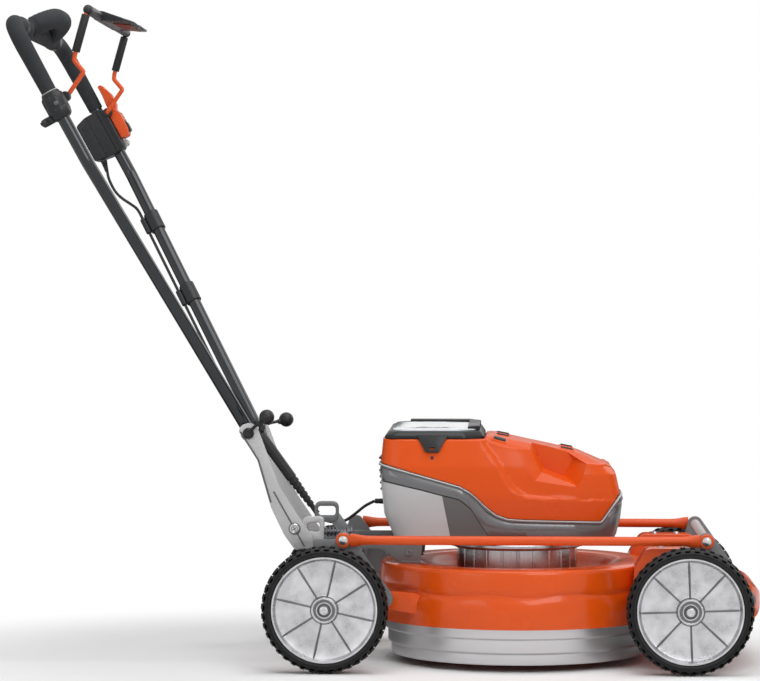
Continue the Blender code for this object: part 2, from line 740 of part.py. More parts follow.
def make_motor():
    """The finned drum with its flange, and the rotor on its spindle inside."""
    base, top, rim = DECK_FLOOR_Z + GAP, DRUM_TOP_Z, FLANGE_TOP_Z
    steps = DRUM_FINS * 2
    outline = []
    for k in range(steps):
        radius = DRUM_RADIUS - (DRUM_FIN_DEPTH if k % 2 else 0)
        angle = 2 * pi * k / steps
        outline.append((DECK_X + radius * cos(angle), radius * sin(angle)))
    drum = prism("motor_drum", outline, base, top + 0.001, plane="XY")
    flange = lathe("flange", [(0, rim), (FLANGE_RADIUS, rim), (FLANGE_RADIUS, top), (0, top)], (DECK_X, 0, 0), steps=28)
    cavity = cylinder("cavity", DRUM_CAVITY_RADIUS, (DECK_X, 0, base - 0.01), (DECK_X, 0, top - 0.012), 20)
    drum = dressed(cut(join(drum, flange), cavity), CAST)
    high = BLADE_Z + BLADE_THICKNESS
    profile = [(0, top - 0.016), (0.020, top - 0.016), (ROTOR_RADIUS, top - 0.020), (ROTOR_RADIUS, base + 0.006),
               (0.022, base + 0.004), (SPINDLE_RADIUS, base + 0.002), (SPINDLE_RADIUS, high + 0.030),
               (0.024, high + 0.018), (0.024, high + GAP), (0, high + GAP)]
    rotor = lathe("motor_rotor", profile, (DECK_X, 0, 0), steps=16)
    bolt_bore = drill("bolt_bore", BOLT_RADIUS + GAP, (DECK_X, 0, 0), (DECK_X, 0, high + 0.020), 12)
    return drum, dressed(cut(rotor, bolt_bore), STEEL)


# Housing, battery and lid

def plan_outline(half_width):
    """The housing seen from above at one level: round rear corners, bowed sides and a narrower front."""
    rear, front, w = HOUSING_REAR_X - 0.006, HOUSING_FRONT_X + 0.006, half_width
    side = [(rear, -w * 0.80), (rear + 0.020, -w * 0.96), (rear + 0.080, -w), (rear + 0.200, -w),
            (rear + 0.300, -w * 0.93), (front - 0.045, -w * 0.78), (front - 0.008, -w * 0.60), (front, -w * 0.45)]
    return side + [(x, -y) for x, y in reversed(side)]


def housing_sides(name):
    """A loft of plan outlines: widest at the belt, drawn in towards the top."""
    levels = ((0.200, 0.93), (HOUSING_LOW_Z + 0.02, 0.97), (0.300, 1.0), (0.350, 0.975), (HOUSING_SEAT_Z, 0.88),
              (0.440, 0.74))
    edit = bmesh.new()
    rings = []
    for z, share in levels:
        rings.append([edit.verts.new((x, y, z)) for x, y in plan_outline(HOUSING_HALF_WIDTH * share)])
    for low, high in zip(rings, rings[1:]):
        for k in range(len(low)):
            m = (k + 1) % len(low)
            edit.faces.new((low[k], low[m], high[m], high[k]))
    edit.faces.new(rings[0][::-1])
    edit.faces.new(rings[-1])
    bmesh.ops.recalc_face_normals(edit, faces=edit.faces)
    mesh = bpy.data.meshes.new(name)
    edit.to_mesh(mesh)
    edit.free()
    return add_mesh(name, mesh)


def housing_silhouette():
    """The housing seen from the side, with the step in front of the lid."""
    rear, front, low, seat = HOUSING_REAR_X, HOUSING_FRONT_X, HOUSING_LOW_Z, HOUSING_SEAT_Z
    step = LID_REAR_X + LID_LENGTH + 0.0025
    return [(rear + 0.004, seat), (rear, seat - 0.042), (rear + 0.003, 0.310), (rear + 0.008, 0.265),
            (rear + 0.025, low + 0.003), (rear + 0.036, low), (front - 0.018, low), (front - 0.010, low + 0.006),
            (front, low + 0.065), (front - 0.007, low + 0.112), (front - 0.0195, low + 0.128),
            (front - 0.081, low + 0.152), (front - 0.117, low + 0.160), (step + 0.038, seat + 0.0055),
            (step + 0.006, seat + 0.0130), (step, seat + 0.0115), (step, seat)]


def cover_border():
    """The lower edge of the orange cover, from the rear to the front."""
    return [(-0.040, 0.3625), (-0.0126, 0.3554), (0.0562, 0.3360), (0.1250, 0.3166), (0.1444, 0.3060),
            (0.1690, 0.2830), (0.1885, 0.2670), (0.2096, 0.2584), (0.3737, 0.2531), (0.4054, 0.2972), (0.440, 0.330)]


def band_border():
    """The lower edge of the silver band, from the rear down to the housing's base."""
    return [(-0.040, 0.3310), (0.0006, 0.3220), (0.0562, 0.3096), (0.0968, 0.2990), (0.1250, 0.2920),
            (0.1444, 0.2760), (0.1620, 0.2478), (0.1760, 0.2267), (0.1850, 0.190)]


def scoop(sign):
    """The cutter for one carry recess, a hollow in the cover's flank that is open at its top."""
    outline = [(0.2125, 0.430), (0.2125, 0.3865), (0.2430, 0.3450), (0.2600, 0.3290), (0.3300, 0.3150),
               (0.3536, 0.3545), (0.3300, 0.3720), (0.3255, 0.430)]
    shape = prism("scoop", rounded(outline, 0.010, 2), 0, 0.08)
    for vert in shape.data.vertices:
        if vert.co.y < 0.04:
            vert.co.x = SCOOP_CENTRE_X + (vert.co.x - SCOOP_CENTRE_X) * 0.72
    shape.data.transform(Matrix.Translation((0, SCOOP_FLOOR_Y, 0)))
    if sign < 0:
        shape.data.transform(Matrix.Scale(-1, 4, (0, 1, 0)))
        shape.data.flip_normals()
    return shape


def make_housing():
    """The cover, the silver band and the lower shell, cut from one form along their borders."""
    form = common(housing_sides("form"), prism("silhouette", housing_silhouette(), -0.2, 0.2))
    plinth = cylinder("plinth", PLINTH_RADIUS, (DECK_X, 0, FLANGE_TOP_Z + GAP), (DECK_X, 0, HOUSING_LOW_Z + 0.004), 28)
    form = join(form, plinth)
    size_x, size_y, _ = BATTERY_SIZE
    gap = BATTERY_GAP
    bay = block("bay", (BATTERY_X - size_x / 2 - gap, -size_y / 2 - gap, BAY_FLOOR_Z),
                (BATTERY_X + size_x / 2 + gap, size_y / 2 + gap, 0.5))
    form = cut(form, bay)
    cover_line, band_line = cover_border(), band_border()
    above = [(0.5, 0.6), (-0.1, 0.6)]
    below = [(0.5, 0.1), (-0.1, 0.1)]
    cover_region = shifted(cover_line, GAP / 2) + above
    band_region = shifted(cover_line, -GAP / 2) + [(0.5, 0.1)] + shifted(band_line, GAP / 2)[::-1]
    lower_region = shifted(band_line, -GAP / 2) + [below[1]]
    cover = common(copy_of(form, "housing_cover"), prism("region", cover_region, -0.3, 0.3))
    cover = cut(cover, scoop(-1), scoop(1))
    band = common(copy_of(form, "housing_band"), prism("region", band_region, -0.3, 0.3))
    form.name = "housing_lower"
    lower = common(form, prism("region", lower_region, -0.3, 0.3))
    rear_wall = HOUSING_REAR_X + 0.006
    relief = lathe("relief", [(0, 0.030), (0.0042, 0.030), (0.0062, 0.012), (0.0085, 0.010), (0.0085, 0), (0, 0)],
                   (rear_wall + 0.006, BOOT_Y, CABLE_ENTRY_Z), (-1, 0, 0), 14)
    lower = join(lower, relief)
    return [dressed(cover, ORANGE), dressed(band, SILVER), dressed(lower, GREY)]


def make_louvre():
    """A comb of dark slats on the rear wall."""
    top, foot = 0.3640, 0.2975
    rear = HOUSING_REAR_X - GAP - 0.0002
    pitch = (top - foot) / LOUVRE_TEETH
    line = [(rear, top)]
    for k in range(LOUVRE_TEETH):
        z = top - k * pitch
        lean = 0.003 * min(1, (top - z + pitch) / 0.05)
        line.append((rear - 0.0045 + lean * 0.3, z - 0.001))
        line.append((rear - 0.0040 + lean * 0.3, z - pitch * 0.45))
        line.append((rear - 0.0012 + lean * 0.3, z - pitch * 0.70))
    line.append((rear + 0.0012, foot))
    return dressed(prism("louvre", line, -0.045, 0.045), DARK)


def make_battery():
    """The pack: a rounded block with two long ribs on its top."""
    size_x, size_y, size_z = BATTERY_SIZE
    low = BAY_FLOOR_Z + GAP
    outline = rounded([(BATTERY_X - size_x / 2, -size_y / 2), (BATTERY_X + size_x / 2, -size_y / 2),
                       (BATTERY_X + size_x / 2, size_y / 2), (BATTERY_X - size_x / 2, size_y / 2)], 0.010, 2)
    pack = prism("battery", outline, low, low + size_z - 0.004, plane="XY")
    for sign in (-1, 1):
        y = sign * size_y * 0.28
        rib = block("rib", (BATTERY_X - size_x * 0.38, y - 0.008, low + size_z - 0.010),
                    (BATTERY_X + size_x * 0.38, y + 0.008, low + size_z))
        pack = join(pack, rib)
    return dressed(pack, DARK)


def lid_outline(inset):
    """The lid seen from above, drawn in by an inset."""
    rear, front, half = LID_REAR_X + inset, LID_REAR_X + LID_LENGTH - inset, LID_HALF_WIDTH - inset
    points = [(rear, -half + 0.012), (rear + 0.012, -half), (front - 0.030, -half), (front, -half + 0.022)]
    return rounded(points + [(x, -y) for x, y in reversed(points)], 0.010, 2)


def make_lid():
    """The dark lid, hollow below, with the light panel on top, and the latch on its near edge."""
    low = HOUSING_SEAT_Z + GAP
    top = low + LID_HEIGHT
    lid = prism("battery_lid", lid_outline(0), low, top, plane="XY")
    hollow = prism("hollow", lid_outline(0.005), low - 0.01, top - 0.003, plane="XY")
    lid = dressed(cut(lid, hollow), DARK)
    panel = prism("lid_panel", lid_outline(0.007), top + GAP, top + GAP + LID_PANEL_HEIGHT, plane="XY")
    for vert in panel.data.vertices:
        if vert.co.z > top + LID_PANEL_HEIGHT / 2:
            vert.co.x = BATTERY_X + (vert.co.x - BATTERY_X) * 0.97
            vert.co.y *= 0.97
    dressed(panel, GLOSS)
    barrel_z = low + 0.0045
    barrel_y = -LID_HALF_WIDTH - GAP - LATCH_BARREL
    half = (LATCH_TOP_WIDTH / 2, LATCH_FOOT_WIDTH / 2)
    drop = LATCH_DROP
    middle = LATCH_X
    plate = prism("plate", [(middle - half[0], 0), (middle - half[1] - 0.003, -drop * 0.9), (middle - half[1], -drop),
                            (middle + half[1], -drop), (middle + half[1] + 0.003, -drop * 0.9),
                            (middle + half[0], 0)], -LATCH_BARREL, LATCH_BARREL * 0.1)
    slot = block("slot", (middle - 0.005, -0.05, -drop * 0.82), (middle + 0.005, 0.05, -drop * 0.82 + 0.0045))
    plate = cut(plate, slot)
    lean = Matrix.Rotation(-LATCH_LEAN, 4, "X")
    plate.data.transform(Matrix.Translation((0, barrel_y, barrel_z)) @ lean)
    barrel = cylinder("lid_latch", LATCH_BARREL, (middle - half[0] + 0.002, barrel_y, barrel_z),
                      (middle + half[0] - 0.002, barrel_y, barrel_z), 14)
    latch = dressed(join(barrel, plate), DARK)
    hang_on("lid_hinge", (0, LID_HALF_WIDTH + GAP, low), [lid, panel])
    hang_on("latch_hinge", (middle, barrel_y, barrel_z), [latch])


# Rear brackets

def make_brackets():
    """Two bracket plates that stand on the deck's crest; the right-hand one also carries the slotted lug."""
    foot_low, foot_top = DECK_CREST_Z + GAP, 0.2200
    arch = crank_points(REAR_AXLE_X)[3][1] + CROSS_TUBE_RADIUS + 0.0035
    outline = [(FOLD_X - 0.018, FOLD_Z + 0.004), (FOLD_X - 0.013, FOLD_Z + 0.014), (FOLD_X, FOLD_Z + 0.019),
               (FOLD_X + 0.013, FOLD_Z + 0.014), (FOLD_X + 0.020, FOLD_Z), (-0.1965, 0.3140), (-0.1715, 0.2740),
               (-0.1370, foot_top + 0.004), (-0.1300, foot_top), (DECK_X - 0.172, foot_top),
               (DECK_X - 0.166, foot_top - 0.006), (DECK_X - 0.170, foot_low), (DECK_X - 0.205, foot_low),
               (DECK_X - 0.240, arch), (-0.1560, arch), (-0.1675, arch - 0.004), (-0.1875, 0.2270),
               (-0.2110, 0.2760), (-0.2135, 0.2850), (-0.2355, 0.3610)]
    outer = BRACKET_Y + BRACKET_THICKNESS
    right = prism("bracket_right", rounded(outline, 0.006, 2), -outer, -BRACKET_Y)
    cap = cylinder("cap", 0.009, (CAP_PLACE[0], -outer + 0.001, CAP_PLACE[1]), (CAP_PLACE[0], -outer - 0.003,
                   CAP_PLACE[1]), 16)
    right = join(right, cap)
    left = copy_of(right, "bracket_left", mirrored=True)
    low_x, high_x, low_z, high_z = LUG_BOX
    lug = prism("lug", rounded([(low_x, low_z), (high_x, low_z), (high_x, high_z), (low_x, high_z)], 0.009),
                -BRACKET_Y - 0.002, -BRACKET_Y + LUG_THICKNESS)
    slot = prism("slot", rounded([(low_x + 0.014, low_z + 0.022), (high_x - 0.009, low_z + 0.022),
                                  (high_x - 0.009, high_z - 0.012), (low_x + 0.014, high_z - 0.012)], 0.007),
                 -0.2, 0.0)
    pin_y = -BRACKET_Y + LUG_THICKNESS / 2
    pin = cylinder("pin", SPRING_RADIUS - SPRING_WIRE - 0.0008, (high_x - 0.004, pin_y, SPRING_Z),
                   (SPRING_END_X + 0.004, pin_y, SPRING_Z), 12)
    head = cylinder("head", SPRING_RADIUS, (SPRING_END_X + GAP, pin_y, SPRING_Z),
                    (SPRING_END_X + 0.004, pin_y, SPRING_Z), 16)
    right = join(right, cut(lug, slot), pin, head)
    made = []
    for bracket in (right, left):
        bolt_hole = drill("bolt_hole", CAM_BOLT_RADIUS + RUNNING_GAP, (FOLD_X, -0.3, FOLD_Z), (FOLD_X, 0.3, FOLD_Z), 16)
        made.append(dressed(cut(bracket, bolt_hole), ZINC))
    spring = make_spring(high_x + GAP, SPRING_END_X, pin_y, SPRING_Z)
    return made + [spring]


def make_spring(start, end, y, z):
    """The coil spring on the lug's guide pin: one wire wound by a formula."""
    wire = SPRING_WIRE / 2
    radius = SPRING_RADIUS - wire
    per_turn = 8
    count = SPRING_TURNS * per_turn
    length = end - start - 2 * wire
    points = []
    for k in range(count + 1):
        angle = 2 * pi * k / per_turn
        points.append((start + wire + length * k / count, y + radius * cos(angle), z + radius * sin(angle)))
    least = length / SPRING_TURNS - SPRING_WIRE
    print(f"spring: {SPRING_TURNS} turns, least gap between turns {least * 1000:.2f} mm")
    return dressed(tube("coil_spring", points, wire, 1), STEEL)


def make_cam_lever(side):
    """A cam lever: its bolt passes through the bracket and the tube's eye, and its arm ends in a ball knob."""
    sign = -1 if side == "right" else 1
    outer = BRACKET_Y + BRACKET_THICKNESS + GAP
    bolt = cylinder(f"cam_lever_{side}", CAM_BOLT_RADIUS, (FOLD_X, sign * (FOOT_HALF_SPACING - 0.017), FOLD_Z),
                    (FOLD_X, sign * (outer + 0.004), FOLD_Z), 14)
    cam = cylinder("cam", 0.010, (FOLD_X, sign * outer, FOLD_Z), (FOLD_X, sign * (outer + 0.009), FOLD_Z), 14)
    dx, dz = KNOB_OFFSETS[side]
    ball_y = sign * (BRACKET_Y + 0.032)
    ball = (FOLD_X + dx, ball_y, FOLD_Z + dz)
    arm = cylinder("arm", 0.0036, (FOLD_X, sign * (outer + 0.005), FOLD_Z), ball, 10)
    half = [(KNOB_RADIUS * sin(pi * k / 7), KNOB_RADIUS * cos(pi * k / 7)) for k in range(8)]
    knob = lathe("knob", [(0, half[0][1])] + half[1:-1] + [(0, half[-1][1])], ball, (dx, 0, dz), 10)
    lever = dressed(join(bolt, cam, arm, knob), DARK)
    hang_on(f"cam_axis_{side}", (FOLD_X, sign * outer, FOLD_Z), [lever])


# Handle

ALONG = Vector((-cos(HANDLE_ANGLE), 0, sin(HANDLE_ANGLE)))
OUTWARD = Vector((sin(HANDLE_ANGLE), 0, cos(HANDLE_ANGLE)))
SPREAD_END_Z = SPREAD_START_Z + (GRIP_HALF_SPACING - FOOT_HALF_SPACING) / SPREAD_SLOPE
TUBE_END_Y = GRIP_HALF_SPACING - TOP_BEND_RADIUS - 0.002


def spread(z):
    """Half the distance between the two tubes at a height."""
    return min(max(FOOT_HALF_SPACING + (z - SPREAD_START_Z) * SPREAD_SLOPE, FOOT_HALF_SPACING), GRIP_HALF_SPACING)


def on_handle(z, s=0.0, n=0.0, y=None, sign=1):
    """A point by the tube's centre line at a height, moved along the tube and out from the handle's front."""
    base = Vector((FOLD_X - (z - FOLD_Z) / tan(HANDLE_ANGLE), 0, z))
    place = base + ALONG * s + OUTWARD * n
    place.y = sign * (spread(place.z) if y is None else y)
    return place


def tube_route():
    """The right-hand tube's centre line from its foot, up and round the top bend to the crossbar."""
    foot = on_handle(FOLD_Z - 0.016, sign=-1)
    corners = [on_handle(SPREAD_START_Z, sign=-1), on_handle(SPREAD_END_Z, sign=-1), on_handle(HANDLE_TOP_Z, sign=-1)]
    end = Vector((corners[-1].x, -TUBE_END_Y, HANDLE_TOP_Z))
    return bent([foot] + corners + [end], TOP_BEND_RADIUS, 4)


def make_tubes():
    """The two dark tubes with the eyes at their feet, and the foam grips that sleeve their top ends."""
    route = tube_route()
    eye_in, eye_out = FOOT_HALF_SPACING - 0.012, BRACKET_Y - GAP
    bar = tube("tube_right", route, TUBE_RADIUS, 2)
    eye = cylinder("eye", 0.0150, (FOLD_X, -eye_in, FOLD_Z), (FOLD_X, -eye_out, FOLD_Z), 14)
    bore = drill("bore", CAM_BOLT_RADIUS + RUNNING_GAP, (FOLD_X, -0.2, FOLD_Z), (FOLD_X, 0.0, FOLD_Z), 14)
    right = cut(join(bar, eye), bore)
    upper = [on_handle(FOAM_START_Z, sign=-1)] + [p for p in route if p.z > FOAM_START_Z + 0.02]
    grip = tube("grip_right", upper, FOAM_RADIUS, 2)
    past = upper[-1] + Vector((0, 0.006, 0))
    core = tube("core", [upper[0] - ALONG * 0.006] + upper[1:-1] + [past], TUBE_RADIUS + GAP, 2)
    grip = cut(grip, core)
    pairs = [right, grip, copy_of(right, "tube_left", mirrored=True), copy_of(grip, "grip_left", mirrored=True)]
    for thing, material in zip(pairs, (TUBE, FOAM, TUBE, FOAM)):
        dressed(thing, material)
    return pairs


def make_crossbar():
    """The foam-covered bar between the grips and the bowed grip that stands forward of it."""
    x, z = on_handle(HANDLE_TOP_Z).x, HANDLE_TOP_Z
    reach = TUBE_END_Y - GAP
    bar = cylinder("crossbar", FOAM_RADIUS, (x, -reach, z), (x, reach, z), 14)
    half = CENTRE_GRIP_HALF
    forward, up = BOW_REACH
    shape = ((half * 1.40, 0.10), (half * 1.05, 0.55), (half * 0.55, 0.93), (0, 1.0))
    side = [(x + forward * share, -y, z + up * share) for y, share in shape]
    route = side + [(px, -py, pz) for px, py, pz in side[-2::-1]]
    bow = tube("centre_grip", flowing(route, 0.022), CENTRE_GRIP_RADIUS, 2)
    bore = drill("bore", FOAM_RADIUS + GAP, (x, -0.3, z), (x, 0.3, z), 14)
    return [dressed(bar, FOAM), dressed(cut(bow, bore), FOAM)]


def make_clamp():
    """The grip clamp on the right-hand tube, with an ear for the bail, and its knob."""
    centre = on_handle(CLAMP_Z, sign=-1)
    half = CLAMP_LENGTH / 2
    r = CLAMP_RADIUS
    profile = [(0, half), (r * 0.80, half), (r * 0.95, half - 0.006), (r, half - 0.014), (r, -half + 0.014),
               (r * 0.84, -half + 0.002), (r * 0.70, -half), (0, -half)]
    clamp = lathe("grip_clamp", profile, centre, ALONG, 16)
    ear = cylinder("ear", EAR_RADIUS, (BAIL_X, -BAIL_HALF_SPACING - EAR_GAP, BAIL_Z), (BAIL_X, -GRIP_HALF_SPACING, BAIL_Z), 14)
    seat = on_handle(CLAMP_Z, -half + 0.008, 0, sign=-1)
    boss = cylinder("boss", 0.0075, seat, seat - OUTWARD * (r + 0.004), 14)
    clamp = join(clamp, ear, boss)
    end = half + 0.01
    bore = drill("bore", TUBE_RADIUS + GAP, centre - ALONG * end, centre + ALONG * end, 14)
    trunnion = drill("trunnion", BAIL_WIRE_RADIUS + RUNNING_GAP, (BAIL_X, -BAIL_HALF_SPACING, BAIL_Z),
                        (BAIL_X, -BAIL_HALF_SPACING - EAR_DEPTH, BAIL_Z), 14)
    clamp = cut(clamp, bore, trunnion)
    start = seat - OUTWARD * (r + 0.004 + GAP)
    knob = cylinder("clamp_knob", 0.0075, start, start - OUTWARD * 0.012, 14)
    wing = block("wing", (-0.0025, -0.015, 0.002), (0.0025, 0.015, 0.012))
    wing.data.transform(Matrix.Translation(start) @ aimed(-OUTWARD))
    knob = dressed(join(knob, wing), DARK)
    hang_on("clamp_knob_axis", start, [knob])
    return dressed(clamp, DARK)


def handle_prism(name, outline, low_y, high_y):
    """A prism across the handle: its outline is (along, outward) from the control box's middle."""
    origin = on_handle(BOX_Z)
    flat = [(origin.x + (ALONG * s + OUTWARD * n).x, origin.z + (ALONG * s + OUTWARD * n).z) for s, n in outline]
    return prism(name, flat, low_y, high_y)


def make_control_box():
    """The clamshell round the left-hand tube: two dark halves, the orange panel, its lever and its button."""
    low, high = BOX_LOW_S, BOX_HIGH_S
    y_in, y_out = GRIP_HALF_SPACING - BOX_HALF_WIDTH, GRIP_HALF_SPACING + BOX_HALF_WIDTH
    rear_n, front_n = BOX_REAR_N, BOX_FRONT_N
    rear = handle_prism("control_box_rear", rounded([(low + 0.005, rear_n), (high - 0.007, rear_n),
                        (high, rear_n + 0.022), (high, -GAP / 2), (low, -GAP / 2), (low, rear_n + 0.030)], 0.005, 2),
                        y_in, y_out)
    front = handle_prism("control_box_front", [(low, GAP / 2), (high, GAP / 2), (high, front_n - 0.006),
                         (high - 0.009, front_n), (low + 0.006, front_n), (low, front_n - 0.008)], y_in, y_out)
    ear = cylinder("ear", EAR_RADIUS, (BAIL_X, BAIL_HALF_SPACING + EAR_GAP, BAIL_Z), (BAIL_X, y_in + 0.006, BAIL_Z), 16)
    neck = handle_prism("neck", [(low + 0.070, 0.006), (low + 0.084, 0.006), (low + 0.084, front_n + 0.004),
                                 (low + 0.070, front_n + 0.004)], y_in, y_in + 0.006)
    front = join(front, ear, neck)
    trunnion = drill("trunnion", BAIL_WIRE_RADIUS + RUNNING_GAP, (BAIL_X, BAIL_HALF_SPACING, BAIL_Z),
                        (BAIL_X, BAIL_HALF_SPACING + EAR_DEPTH, BAIL_Z), 14)
    front = cut(front, trunnion)
    centre = on_handle(BOX_Z)
    halves = []
    for half in (rear, front):
        bore = drill("bore", TUBE_RADIUS + GAP, centre - ALONG * 0.08, centre + ALONG * 0.08, 14)
        halves.append(dressed(cut(half, bore), DARK))
    panel_in, panel_out = y_in + 0.0075, y_out - 0.002
    base = front_n + GAP
    panel = handle_prism("control_panel", rounded([(-0.018, base), (0.046, base), (0.046, 0.0300), (0.026, 0.0390),
                                                   (-0.008, 0.0380), (-0.018, 0.0320)], 0.004, 2), panel_in, panel_out)
    button_s, mid_y = -0.002, (panel_in + panel_out) / 2
    pocket = handle_prism("pocket", [(button_s - 0.0106, 0.0310), (button_s + 0.0106, 0.0310),
                                     (button_s + 0.0106, 0.06), (button_s - 0.0106, 0.06)], mid_y - 0.0126, mid_y + 0.0126)
    notch = handle_prism("notch", [(0.0335, 0.0203), (0.06, 0.0203), (0.06, 0.06), (0.0335, 0.06)],
                         panel_in + 0.006, panel_out - 0.006)
    panel = dressed(cut(panel, pocket, notch), ORANGE)
    button = handle_prism("start_button", [(button_s - 0.010, 0.0345), (button_s + 0.010, 0.0345),
                          (button_s + 0.010, 0.0402), (button_s + 0.006, 0.0415), (button_s - 0.006, 0.0415),
                          (button_s - 0.010, 0.0402)], mid_y - 0.012, mid_y + 0.012)
    lever = handle_prism("thumb_lever", rounded([(0.0345, 0.0235), (0.050, 0.0215), (0.072, 0.0240), (0.092, 0.0240),
                         (0.0915, 0.0315), (0.066, 0.0405), (0.046, 0.0400), (0.0345, 0.0330)], 0.003, 2),
                         panel_in + 0.0065, panel_out - 0.0065)
    axle = origin_on_box(0.0385, 0.0272)
    pin = cylinder("pin", 0.0028, (axle.x, panel_in + 0.004, axle.z), (axle.x, panel_out - 0.004, axle.z), 12)
    sockets = drill("sockets", 0.0034, (axle.x, panel_in + 0.003, axle.z), (axle.x, panel_out - 0.003, axle.z), 12)
    panel = cut(panel, sockets)
    hang_on("thumb_lever_axis", axle, [dressed(join(lever, pin), ROD_ORANGE)])
    hang_on("start_button_axis", origin_on_box(button_s, 0.0400), [dressed(button, DARK)])
    return halves + [panel]


def origin_on_box(s, n):
    """A point of the control box, in the middle of the tube's width."""
    place = on_handle(BOX_Z) + ALONG * s + OUTWARD * n
    place.y = GRIP_HALF_SPACING
    return place


def make_bail():
    """The bail: a kneed wire and a black sleeve at each side, and the wide paddle that joins them."""
    y = BAIL_HALF_SPACING
    knee = [(BAIL_X, BAIL_Z), (-0.5220, 1.0400), (-0.5385, 1.0594), (-0.5375, 1.0690)]
    corner = (-0.5155, 1.1480)
    inner = PADDLE_HALF_WIDTH - 0.010
    pieces = []
    legs = [(x, -y, z) for x, z in knee[1:]]
    route = bent([(BAIL_X, -y - EAR_DEPTH + 0.0015, BAIL_Z), (BAIL_X, -y, BAIL_Z)] + legs
                 + [(corner[0], -y, corner[1]), (corner[0], -inner, corner[1])], 0.0045, 3)
    wire = tube("bail_wire_right", route, BAIL_WIRE_RADIUS, 2)
    start = Vector((knee[3][0], -y, knee[3][1]))
    rise = (Vector((corner[0], -y, corner[1])) - start).normalized()
    low, high = start + rise * 0.006, Vector((corner[0], -y, corner[1])) - rise * 0.010
    sleeve = cylinder("bail_sleeve_right", BAIL_SLEEVE_RADIUS, low, high, 12)
    core = drill("core", BAIL_WIRE_RADIUS + GAP, low - rise * 0.004, high + rise * 0.004, 12)
    sleeve = cut(sleeve, core)
    dressed(wire, ROD_ORANGE)
    dressed(sleeve, DARK)
    pieces += [wire, sleeve, copy_of(wire, "bail_wire_left", mirrored=True),
               copy_of(sleeve, "bail_sleeve_left", mirrored=True)]
    x, z = corner
    outline = [(x - 0.0090, z - 0.0070), (x - 0.0095, z + 0.0050), (x - 0.0030, z + 0.0095), (x + 0.0080, z + 0.0085),
               (x + 0.0600, z - 0.0085), (x + 0.0640, z - 0.0120), (x + 0.0600, z - 0.0140), (x + 0.0100, z - 0.0085)]
    half = PADDLE_HALF_WIDTH
    paddle = prism("bail_paddle", rounded(outline, 0.003, 2), -half, half)
    for vert in paddle.data.vertices:
        if vert.co.x > x + 0.02 and abs(vert.co.y) > half * 0.9:
            vert.co.y *= 0.80
    ends = cylinder("ends", 0.0085, (x, -half - 0.012, z), (x, half + 0.012, z), 14)
    bore = drill("bore", BAIL_WIRE_RADIUS + GAP, (x, -half - 0.03, z), (x, half + 0.03, z), 12)
    paddle = dressed(cut(join(paddle, ends), bore), DARK)
    hang_on("bail_axis", (BAIL_X, 0, BAIL_Z), pieces + [paddle])


# Cable

def cable_route():
    """The control cable on the left-hand tube: points chosen by hand as (height, along, outward, Y)."""
    behind = -(TUBE_RADIUS + CABLE_RADIUS + 0.0006)
    y = GRIP_HALF_SPACING - 0.006
    free = [
        on_handle(BOX_Z, BOX_LOW_S - GAP, -0.033, y),
        on_handle(BOX_Z, BOX_LOW_S - 0.016, -0.0335, y),
        on_handle(BOX_Z, BOX_LOW_S - 0.036, -0.0310, y - 0.006),
        on_handle(BOX_Z, BOX_LOW_S - 0.060, -0.0240, y - 0.014),
        on_handle(BOX_Z, BOX_LOW_S - 0.085, behind - 0.003),
    ]
    held = [on_handle(z, 0, behind) for z in (0.800, CLIP_HEIGHTS[0], 0.740, 0.690, CLIP_HEIGHTS[1], 0.600, 0.540, 0.500)]
    foot = [
        on_handle(0.470, 0, behind - 0.001, spread(0.470) - 0.010),
        on_handle(0.440, 0, -0.0130, BOOT_Y + 0.006),
        on_handle(0.424, 0, -0.0040, BOOT_Y),
        on_handle(FOLD_Z, 0.0045, 0.0, BOOT_Y),
    ]
    return free, held, foot


def make_cable():
    """The stretch on the handle with its two clips, and the stretch behind the housing with its boot."""
    free, held, foot = cable_route()
    handle_part = tube("cable_upper", flowing(free + held + foot, 0.022), CABLE_RADIUS, 2)
    pieces = [dressed(handle_part, DARK)]
    for name, z in zip(("clip_upper", "clip_lower"), CLIP_HEIGHTS):
        run = (on_handle(z + 0.02) - on_handle(z - 0.02)).normalized()
        centre = on_handle(z)
        wire_at = on_handle(z, 0, -(TUBE_RADIUS + CABLE_RADIUS + 0.0006))
        half = CLIP_LENGTH / 2
        clip = cylinder(name, TUBE_RADIUS + 0.0030, centre - run * half, centre + run * half, 12)
        hump = cylinder("hump", CABLE_RADIUS + 0.0028, wire_at - run * half * 0.8, wire_at + run * half * 0.8, 10)
        bore = drill("bore", TUBE_RADIUS + GAP, centre - run * 0.05, centre + run * 0.05, 12)
        lead = drill("lead", CABLE_RADIUS + GAP + 0.0002, wire_at - run * 0.05, wire_at + run * 0.05, 10)
        pieces.append(dressed(cut(join(clip, hump), bore, lead), DARK))
    start, end = Vector((FOLD_X, BOOT_Y, FOLD_Z)), Vector((-0.139, BOOT_Y, 0.254))
    run = (end - start).normalized()
    begin = start + run * 0.0125
    length = (end - begin).length
    profile = [(0, 0), (0.0085, 0), (0.0098, -0.010), (0.0098, -length * 0.70), (0.0065, -length + 0.012),
               (0.0052, -length), (0, -length)]
    boot = dressed(lathe("cable_boot", profile, begin, -run, 14), RUBBER)
    rear = [end + run * RUNNING_GAP, end + run * 0.010, (-0.1150, BOOT_Y, 0.2405), (-0.0930, BOOT_Y, 0.2425),
            (-0.0730, BOOT_Y, 0.2513), (-0.0560, BOOT_Y, 0.2640), (-0.0460, BOOT_Y, CABLE_ENTRY_Z - 0.001),
            (HOUSING_REAR_X + 0.012 - 0.030 - GAP, BOOT_Y, CABLE_ENTRY_Z)]
    rear_part = tube("cable_rear", flowing(rear, 0.008), CABLE_RADIUS, 2)
    return pieces + [boot, dressed(rear_part, DARK)]


# Assembly

